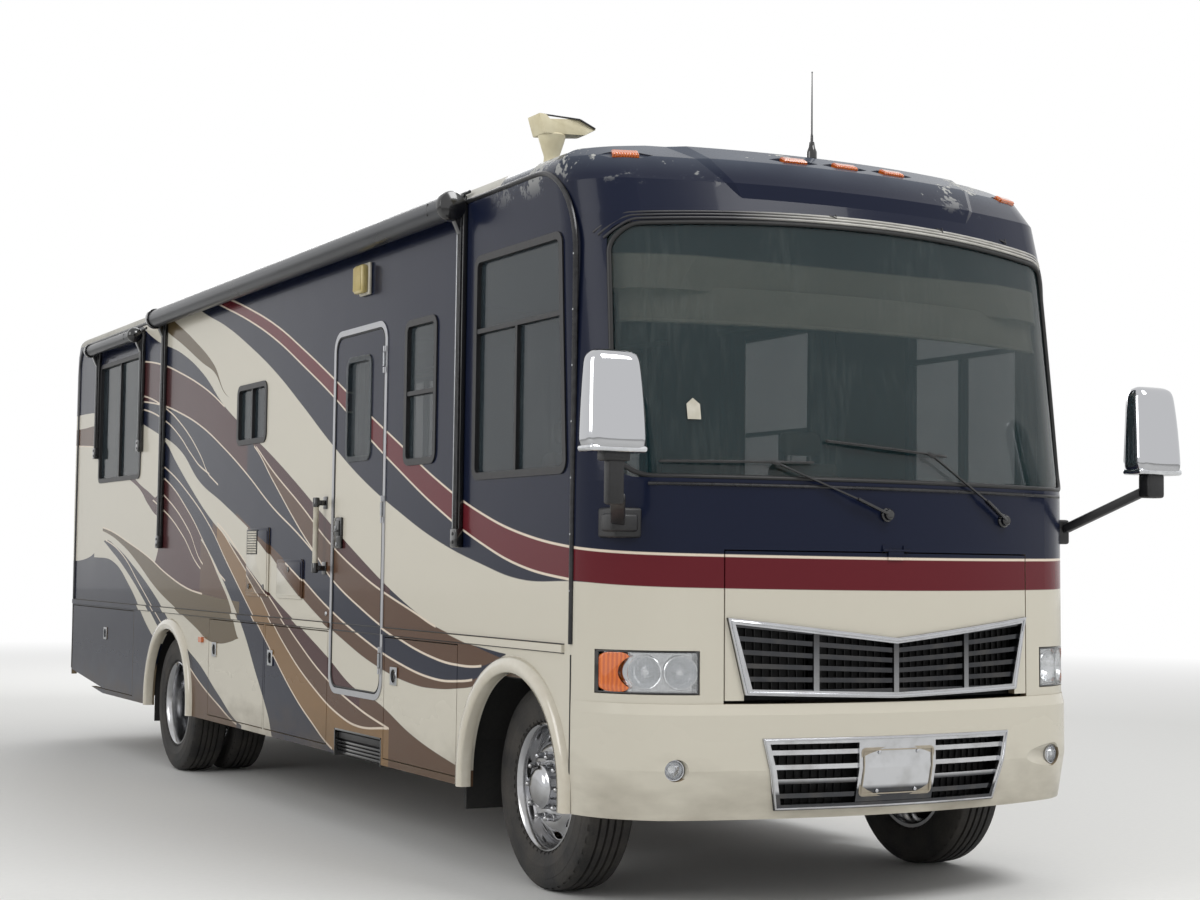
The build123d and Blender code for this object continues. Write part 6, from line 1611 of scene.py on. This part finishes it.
def stuffed(piece, reach=0.012, voxel=0.012):
    """Swells a closed shape as cloth over its filling, with no point moved further than the reach."""
    modified(piece, "REMESH", mode="VOXEL", voxel_size=voxel)
    before = [vertex.co.copy() for vertex in piece.data.vertices]
    workshop = bpy.data.scenes.new("workshop")
    workshop.collection.objects.link(piece)
    cloth = piece.modifiers.new("filling", "CLOTH")
    cloth.settings.use_pressure = True
    cloth.settings.uniform_pressure_force = FILLING_PRESSURE
    cloth.settings.effector_weights.gravity = 0
    cloth.point_cache.frame_start = 1
    cloth.point_cache.frame_end = FILLING_FRAMES
    for number in range(1, FILLING_FRAMES + 1):
        workshop.frame_set(number)
    swollen = piece.evaluated_get(workshop.view_layers[0].depsgraph).data
    after = [vertex.co.copy() for vertex in swollen.vertices]
    piece.modifiers.remove(cloth)
    bpy.data.scenes.remove(workshop)
    for vertex, start, end in zip(piece.data.vertices, before, after):
        move = end - start
        vertex.co = end
        if move.length > reach:
            vertex.co = start + move.normalized() * reach
    modified(piece, "SMOOTH", factor=0.5, iterations=2)
    return modified(piece, "SUBSURF", levels=1, render_levels=1)


def channelled(piece, axis, places, facing, depth=0.007, width=0.01):
    """Presses sewn channels into one side of a pad, at places along an axis."""
    facing = Vector(facing)
    normals = [vertex.normal.copy() for vertex in piece.data.vertices]
    for vertex, normal in zip(piece.data.vertices, normals):
        near = min(abs(vertex.co[axis] - place) for place in places)
        press = depth * math.exp(-((near / width) ** 2)) * max(normal.dot(facing), 0)
        vertex.co -= normal * press
    return piece


def cushioned(piece, name, finish="leather"):
    """Ends a padded piece, with soft shading."""
    settled(piece, name, finish, smooth=60)
    return piece


def leaned(piece, foot, angle):
    """Stands a piece that was made upright at the origin on a place, leaning back."""
    lean = Matrix.Rotation(-angle, 4, "X")
    return seated_at(piece, Matrix.Translation(foot) @ lean)


def seated_at(piece, place):
    """Moves a piece by a matrix, for good."""
    piece.matrix_world = place @ piece.matrix_world
    return seated(piece)


SEAT_X = 0.66


def cab_seats():
    """Two captain's chairs: crowned cushions with bolsters, backs, headrests, armrests and pedestals."""
    x = SEAT_X
    cushion = stuffed(block(x - 0.24, x + 0.24, at(1.11), at(1.59), 1.405, 1.51, 0.038))
    reshaped(cushion, lambda px, py, pz: (0, 0, 0.016 * max(0, min((abs(px - x) - 0.15) / 0.05, 1))
                                          * (pz > 1.46)))
    channelled(cushion, 0, [x - 0.155, x + 0.155], (0, 0, 1), 0.01)
    channelled(cushion, 1, [at(1.24), at(1.35), at(1.46)], (0, 0, 1), 0.006)
    back = stuffed(block(-0.225, 0.225, -0.055, 0.055, 0.03, 0.57, 0.042))
    reshaped(back, lambda px, py, pz: (-px * 0.16 * max(0, (pz - 0.3) / 0.3),
                                       -0.03 * max(0, min((abs(px) - 0.14) / 0.05, 1)) * (py < 0), 0))
    channelled(back, 0, [-0.145, 0.145], (0, -1, 0), 0.01)
    channelled(back, 2, [0.16, 0.27, 0.38, 0.49], (0, -1, 0), 0.006)
    rest = stuffed(block(-0.12, 0.12, -0.045, 0.04, 0.6, 0.725, 0.035), 0.01)
    posts = joined([rod((side * 0.06, 0, 0.5), (0, 0, 1), 0.006, 0, 0.13, 16) for side in (-1, 1)])
    foot = (x, at(1.64), 1.45)
    lean = math.radians(8)
    for piece in (back, rest, posts):
        leaned(piece, foot, lean)
    arms = []
    for side in (-1, 1):
        arm = block(x + side * 0.26 - 0.022, x + side * 0.26 + 0.022, at(1.27), at(1.61), 1.642, 1.692, 0.018,
                    0)
        arms.append(modified(arm, "SUBSURF", levels=1, render_levels=1))
    links = []
    for side in (-1, 1):
        links.append(beam((x + side * 0.25, at(1.58), 1.66), (x + side * 0.24, at(1.64), 1.56), 0.03, 0.016,
                          0.004))
    column = turned((x, at(1.34), FLOOR_Z), (0, 0, 1),
                    [(0, 0), (0, 0.15), (0.012, 0.15), (0.03, 0.11), (0.06, 0.085), (0.2, 0.08),
                     (0.225, 0.13), (0.24, 0.16), (0.25, 0.16), (0.25, 0)], 40)
    rails = [block(x + side * 0.15 - 0.015, x + side * 0.15 + 0.015, at(1.14), at(1.56), 1.34, 1.372, 0.004)
             for side in (-1, 1)]
    plate = block(x - 0.2, x + 0.2, at(1.15), at(1.55), 1.37, 1.402, 0.01)
    base = joined([column, plate] + rails + links)
    made = [(cushion, "seat_cushion", "leather"), (back, "seat_back", "leather"),
            (rest, "headrest", "leather"), (joined(arms), "armrests", "leather"),
            (posts, "headrest_posts", "chrome"), (base, "seat_pedestal", "black_trim")]
    for piece, name, finish in made:
        pair = []
        for end, step in (("_left", 0), ("_right", -2 * x)):
            copy = shifted(piece, step, 0, 0)
            if finish == "leather":
                pair.append(cushioned(copy, name + end, finish))
            else:
                pair.append(settled(copy, name + end, finish))
        bpy.data.objects.remove(piece)
        if name == "seat_cushion":
            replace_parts(pair[0], "cab_seats")


def steering_wheel():
    """A padded rim with four spokes, the horn pad, a shrouded column and its stalks."""
    centre = Vector((0.64, at(0.86), 1.64))
    axis = Vector((0, 0.62, 0.78)).normalized()
    down = axis.cross(Vector((1, 0, 0)))
    ring = [(0.0145 * math.sin(math.tau * number / 12), 0.225 + 0.0145 * math.cos(math.tau * number / 12))
            for number in range(13)]
    rim = turned(centre, axis, ring, 72)
    settled(rim, "steering_rim", "leather", smooth=60)
    spokes = []
    for angle in (-20, 35, 145, 200):
        way = Vector((math.cos(math.radians(angle)), 0, 0)) + down * math.sin(math.radians(angle))
        spokes.append(beam(centre - axis * 0.012 + way * 0.06, centre + way * 0.222, 0.03, 0.011, 0.004))
    hub = turned(centre - axis * 0.03, axis,
                 [(-0.02, 0), (-0.02, 0.05), (0.0, 0.078), (0.03, 0.085), (0.042, 0.075), (0.05, 0.05),
                  (0.053, 0.0)], 40)
    start = centre - axis * 0.05
    end = Vector((0.64, at(0.63), 1.595))
    run = end - start
    column = turned(start, run,
                    [(0, 0), (0, 0.036), (0.03, 0.048), (run.length * 0.8, 0.062), (run.length, 0.07),
                     (run.length, 0)], 32)
    stalks = [
        tube([start + Vector((0.03, 0, 0)), start + Vector((0.1, -0.005, 0.01)),
              start + Vector((0.17, 0.0, 0.03))], 0.006),
        tube([start + Vector((-0.03, 0, 0)), start + Vector((-0.1, -0.01, 0.02)),
              start + Vector((-0.18, 0.0, 0.07))], 0.007),
    ]
    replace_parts(settled(joined([hub, column] + spokes + stalks), "steering_column", "black_trim"),
                "steering_wheel")


def dash_details():
    """Instrument hood and dials, air vents, radio and a seam along the dash's pad."""
    hood = block(0.4, 0.88, at(0.45), at(0.625), 1.768, 1.852, 0.03)
    settled(hood, "instrument_hood", "black_trim")
    dials, vents = [], []
    for x, radius in ((0.50, 0.026), (0.585, 0.04), (0.69, 0.04), (0.775, 0.026)):
        dials.append(turned((x, at(0.625), 1.81), (0, 1, 0),
                            [(-0.004, radius * 0.9), (0.003, radius * 0.9), (0.004, radius * 0.8),
                             (0.0, radius * 0.75), (0.0, 0)], 28))
    settled(joined(dials), "instrument_dials", "aluminium")
    stack = block(-0.19, 0.19, at(0.625), at(0.652), 1.585, 1.752, 0.008)
    for x in (-0.95, -0.35, 0.32, 1.0):
        vents.append(turned((x, at(0.64), 1.69), (0, 1, 0),
                            [(-0.004, 0.045), (0.004, 0.045), (0.007, 0.04), (-0.002, 0.036), (-0.002, 0)],
                            28))
        for number in range(-2, 3):
            vents.append(block(x - 0.034, x + 0.034, at(0.64), at(0.645), 1.688 + number * 0.012,
                               1.692 + number * 0.012, 0.001))
    radio = block(-0.09, 0.09, at(0.65), at(0.6565), 1.68, 1.735, 0.003)
    settled(joined([stack] + vents), "dash_fittings", "black_trim")
    settled(radio, "dash_radio", "gloss_black")
    pad = wrapped(block(-0.98, 0.98, 0.16, 0.19, 1.7695, 1.7765, 0.003, 30))
    settled(pad, "defroster_slots", "seal")


def partition():
    """The wall with the doorway, its trim, and the wardrobe doors beside it."""
    outline = [(-LINING_X, FLOOR_Z), (-0.285, FLOOR_Z), (-0.285, 2.995), (0.285, 2.995), (0.285, FLOOR_Z),
               (LINING_X, FLOOR_Z), (LINING_X, 3.12), (1.13, 3.22), (0.6, 3.265), (0, 3.29), (-0.6, 3.265),
               (-1.13, 3.22), (-LINING_X, 3.12)]
    wall = slab([(x, at(5.604), z) for x, z in outline], (0, 0.034, 0), 0, 4, 0.002)
    panels = []
    for side in (-1, 1):
        for low, high in ((1.2, 2.05), (2.12, 2.98)):
            x0, x1 = sorted((side * 0.42, side * 1.12))
            for y0, y1 in ((5.594, 5.606), (5.636, 5.648)):
                panels.append(block(x0, x1, at(y0), at(y1), low, high, 0.005))
    trim = []
    for side in (-1, 1):
        trim.append(block(side * 0.278, side * 0.318, at(5.592), at(5.65), 1.092, 3.03, 0.005))
    trim.append(block(-0.318, 0.318, at(5.592), at(5.65), 2.985, 3.03, 0.005))
    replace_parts(settled(joined([wall] + panels + trim), "partition", "cabinet_wood"), "cabin_furniture")


def cabinets():
    """Sofa, bench and bed bases, the dinette table, and the galley with its doors, counter and tap."""
    wood = [
        block(0.54, LINING_X, at(2.33), at(4.07), FLOOR_Z, 1.325, 0.006),
        block(0.50, LINING_X, at(4.31), at(4.70), FLOOR_Z, 1.365, 0.006),
        block(0.50, LINING_X, at(5.0), at(5.39), FLOOR_Z, 1.365, 0.006),
        block(-0.69, 0.69, at(7.31), at(9.19), FLOOR_Z, 1.47, 0.006),
        block(-LINING_X, -0.665, at(3.81), at(5.29), 1.17, 1.955, 0.004),
        block(-LINING_X, -0.72, at(3.81), at(5.29), FLOOR_Z, 1.172, 0.002),
    ]
    pulls = []
    for number in range(4):
        front = 3.835 + number * 0.365
        wood.append(block(-0.667, -0.648, at(front), at(front + 0.345), 1.20, 1.70, 0.006))
        wood.append(block(-0.667, -0.648, at(front), at(front + 0.345), 1.72, 1.93, 0.006))
        for z in (1.62, 1.825):
            y = at(front + 0.17)
            pulls.append(tube([(-0.645, y - 0.05, z), (-0.625, y - 0.045, z), (-0.62, y, z),
                               (-0.625, y + 0.045, z), (-0.645, y + 0.05, z)], 0.0045))
    for front in (2.36, 3.22):
        wood.append(block(0.522, 0.545, at(front), at(front + 0.82), 1.13, 1.295, 0.006))
        pulls.append(tube([(0.52, at(front + 0.36), 1.22), (0.50, at(front + 0.37), 1.22),
                           (0.497, at(front + 0.41), 1.22), (0.50, at(front + 0.45), 1.22),
                           (0.52, at(front + 0.46), 1.22)], 0.0045))
    settled(joined(wood), "cabinet_fronts", "cabinet_wood")
    settled(joined(pulls), "cabinet_pulls", "aluminium")
    tops = [
        slab([(-1.237, at(3.8), 1.957), (-0.642, at(3.8), 1.957), (-0.642, at(5.3), 1.957),
              (-1.237, at(5.3), 1.957)], (0, 0, 0.038), 0, 4, 0.008),
        slab([(0.5, at(4.6), 1.795), (LINING_X, at(4.6), 1.795), (LINING_X, at(5.1), 1.795),
              (0.5, at(5.1), 1.795)], (0, 0, 0.032), 0.05, 5, 0.008),
    ]
    settled(joined(tops), "counter_tops", "valance")
    leg = turned((0.86, at(4.85), FLOOR_Z), (0, 0, 1),
                 [(0, 0), (0, 0.12), (0.012, 0.115), (0.03, 0.035), (0.66, 0.03), (0.69, 0.09), (0.706, 0.09),
                  (0.706, 0)], 32)
    sink = turned((-0.95, at(4.9), 1.995), (0, 0, 1),
                  [(-0.02, 0.15), (0.002, 0.165), (0.003, 0.175), (0.0, 0.18)], 40)
    tap = tube([(-1.15, at(4.9), 1.99), (-1.15, at(4.9), 2.13), (-1.13, at(4.9), 2.2), (-1.05, at(4.9), 2.21),
                (-0.99, at(4.9), 2.17), (-0.985, at(4.9), 2.13)], 0.011)
    settled(joined([leg, sink, tap]), "table_leg_and_tap", "chrome")


def cabin_cushions():
    """Sofa and bench cushions, the mattress and two pillows."""
    seat = stuffed(block(0.53, 1.03, at(2.34), at(3.17), 1.335, 1.495, 0.05), 0.014, 0.016)
    channelled(seat, 1, [at(2.61), at(2.9)], (0, 0, 1), 0.008, 0.014)
    cushioned(shifted(seat, 0, 0.875, 0), "sofa_cushion_2")
    cushioned(seat, "sofa_cushion_1")
    back = stuffed(block(1.065, 1.2, at(2.34), at(3.17), 1.50, 1.9, 0.045), 0.012, 0.016)
    channelled(back, 1, [at(2.61), at(2.9)], (-1, 0, 0), 0.008, 0.014)
    cushioned(shifted(back, 0, 0.875, 0), "sofa_back_2")
    cushioned(back, "sofa_back_1")
    bench = stuffed(block(0.515, 1.215, at(4.34), at(4.69), 1.375, 1.485, 0.035), 0.01, 0.014)
    channelled(bench, 0, [0.69, 0.865, 1.04], (0, 0, 1), 0.007, 0.012)
    cushioned(shifted(bench, 0, 0.67, 0), "bench_cushion_2")
    cushioned(bench, "bench_cushion_1")
    rest = stuffed(block(0.515, 1.215, at(4.33), at(4.41), 1.51, 1.81, 0.03), 0.01, 0.014)
    channelled(rest, 0, [0.69, 0.865, 1.04], (0, 1, 0), 0.007, 0.012)
    cushioned(shifted(rest, 0, 0.955, 0), "bench_back_2")
    cushioned(rest, "bench_back_1")
    mattress = stuffed(block(-0.67, 0.67, at(7.34), at(9.16), 1.48, 1.6, 0.05), 0.014, 0.024)
    channelled(mattress, 0, [-0.5, -0.25, 0, 0.25, 0.5], (0, 0, 1), 0.01, 0.02)
    channelled(mattress, 1, [at(7.6 + 0.26 * number) for number in range(6)], (0, 0, 1), 0.01, 0.02)
    cushioned(mattress, "mattress", "bedding")
    pillow = stuffed(block(-0.62, -0.06, at(8.72), at(9.1), 1.625, 1.7, 0.034), 0.014, 0.014)
    reshaped(pillow, lambda x, y, z: (0, 0, (1.655 - z) * 0.75 * min(1, (abs(x + 0.34) / 0.28) ** 4
                                                                    + (abs(y - at(8.91)) / 0.19) ** 4)))
    cushioned(shifted(pillow, 0.68, 0, 0), "pillow_2", "bedding")
    cushioned(pillow, "pillow_1", "bedding")


# A curtain's folds: length of one, half its depth, points along one, rows down the cloth
FOLD_LENGTH = 0.045
FOLD_REACH = 0.019
FOLD_STEPS = 8
CURTAIN_ROWS = 8


def curtain(name, x, front, rear, bottom, top):
    """A gathered curtain hung beside a window."""
    folds = round((rear - front) / FOLD_LENGTH)
    count = folds * FOLD_STEPS
    points = []
    for number in range(count + 1):
        swing = math.sin(math.tau * folds * number / count)
        points.append((x + FOLD_REACH * swing, at(front + (rear - front) * number / count), top))
    cloth = drawn(points)
    down = (0, 0, (bottom - top) / CURTAIN_ROWS)
    for _ in range(CURTAIN_ROWS):
        bpy.ops.mesh.extrude_region_move(TRANSFORM_OT_translate={"value": down})
    cleaned()
    seated(cloth)
    middle = at((front + rear) / 2)
    tall = top - bottom

    def flared(px, py, pz):
        fall = (top - pz) / tall
        return (x - px) * 0.25 * fall, (py - middle) * 0.12 * fall, 0

    reshaped(cloth, flared)
    settled(cloth, name, "curtain", smooth=80)


def curtains():
    """Tracks over the windows with gathered curtains, and the valance over the windshield."""
    tracks = []
    # Window, side, front and rear station, bottom and top
    windows = [("left", 1, 2.25, 3.35, 1.93, 2.88), ("middle", 1, 4.2, 5.3, 1.93, 2.88),
               ("rear_left", 1, 7.52, 8.77, 2.03, 3.02), ("rear_right", -1, 7.52, 8.77, 2.03, 3.02)]
    for name, side, front, rear, bottom, top in windows:
        tracks.append(block(side * 1.185, side * 1.235, at(front - 0.08), at(rear + 0.08), top, top + 0.035,
                            0.005))
    track = settled(joined(tracks), "curtain_tracks", "valance")
    for name, side, front, rear, bottom, top in windows:
        curtain(f"curtain_{name}_1", side * 1.205, front - 0.05, front + 0.2, bottom, top)
        curtain(f"curtain_{name}_2", side * 1.205, rear - 0.2, rear + 0.05, bottom, top)
    for name, side in (("left", 1), ("right", -1)):
        curtain(f"cab_curtain_{name}", side * 1.195, 0.5, 0.64, 1.79, 2.64)
    panel = wrapped(block(-1.13, 1.13, 0.085, 0.11, 2.505, 2.66, 0.006, 30))
    hem = wrapped(block(-1.13, 1.13, 0.078, 0.117, 2.497, 2.512, 0.005, 30))
    settled(joined([panel, hem]), "windshield_valance", "valance")


wheels()
arch_trims()
headlamps()
grille_backing()
windshield_trim()
mirrors()
wipers()
mouldings()
latches()
entry_fittings()
hatches()
awnings()
roof_details()
rear_details()
step_details()
cab_seats()
steering_wheel()
dash_details()
partition()
cabinets()
cabin_cushions()
curtains()


# Camera, floor and light

def stage():
    """The camera at the photograph's place, a pale floor and soft studio light."""
    scene = bpy.context.scene
    bpy.ops.object.camera_add(location=(-5.1023, -11.6891, 1.4694))
    camera = bpy.context.object
    yaw, pitch, roll = math.radians(28.070), math.radians(3.295), math.radians(0.707)
    ahead = Vector((math.sin(yaw) * math.cos(pitch), math.cos(yaw) * math.cos(pitch), math.sin(pitch)))
    turn = ahead.to_track_quat("-Z", "Y").to_matrix() @ Matrix.Rotation(roll, 3, "Z")
    camera.rotation_euler = turn.to_euler()
    camera.data.lens = 58.9
    camera.data.sensor_width = 36
    camera.data.clip_end = 500
    scene.camera = camera

    bpy.ops.mesh.primitive_plane_add(size=160, location=(0, 0, 0))
    floor = bpy.context.object
    floor.name = "studio_floor"
    finish = Finish("studio_floor")
    far = maths("SQRT", finish.x * finish.x + finish.y * finish.y)
    fade = above(far, 16, 14)
    camera_ray = finish.node("ShaderNodeLightPath", output="Is Camera Ray")
    speckle = finish.noise(30, 3.0)
    colour = finish.mix(shade(232, 232, 230), shade(226, 226, 224), speckle)
    matt = finish.node("ShaderNodeBsdfPrincipled", None, {"Base Color": colour, "Roughness": 0.9})
    white = finish.node("ShaderNodeEmission", None, {"Color": (1, 1, 1, 1), "Strength": 1.0})
    blend = finish.node("ShaderNodeMixShader", None, {0: fade * camera_ray, 1: matt, 2: white})
    finish.node("ShaderNodeOutputMaterial", None, {"Surface": blend})
    floor.data.materials.append(finish.material)

    world = bpy.data.worlds.new("studio")
    scene.world = world
    world.use_nodes = True
    nodes, links = world.node_tree.nodes, world.node_tree.links
    nodes.clear()
    path = nodes.new("ShaderNodeLightPath")
    seen = nodes.new("ShaderNodeMath")
    seen.operation = "MAXIMUM"
    links.new(path.outputs["Is Camera Ray"], seen.inputs[0])
    links.new(path.outputs["Is Transmission Ray"], seen.inputs[1])
    mirrored_too = nodes.new("ShaderNodeMath")
    mirrored_too.operation = "MAXIMUM"
    links.new(seen.outputs[0], mirrored_too.inputs[0])
    links.new(path.outputs["Is Glossy Ray"], mirrored_too.inputs[1])
    level = nodes.new("ShaderNodeMapRange")
    level.inputs["To Min"].default_value = 0.56
    level.inputs["To Max"].default_value = 1.0
    links.new(mirrored_too.outputs[0], level.inputs["Value"])
    background = nodes.new("ShaderNodeBackground")
    background.inputs["Color"].default_value = (1, 1, 1, 1)
    links.new(level.outputs[0], background.inputs["Strength"])
    output = nodes.new("ShaderNodeOutputWorld")
    links.new(background.outputs[0], output.inputs["Surface"])

    for name, place, aim, power, size in (
        ("key", (3.5, -12, 13), (0, -3, 1.6), 1050, 6),
        ("side", (-13, -4, 7), (-1, 0, 1.4), 520, 7),
        ("back", (4, 13, 8), (0, 3, 1.5), 500, 7),
    ):
        bpy.ops.object.light_add(type="AREA", location=place)
        lamp = bpy.context.object
        lamp.name = name + "_light"
        lamp.data.energy = power
        lamp.data.size = size
        lamp.rotation_euler = (Vector(aim) - Vector(place)).to_track_quat("-Z", "Y").to_euler()
    scene.view_settings.view_transform = "Standard"


stage()
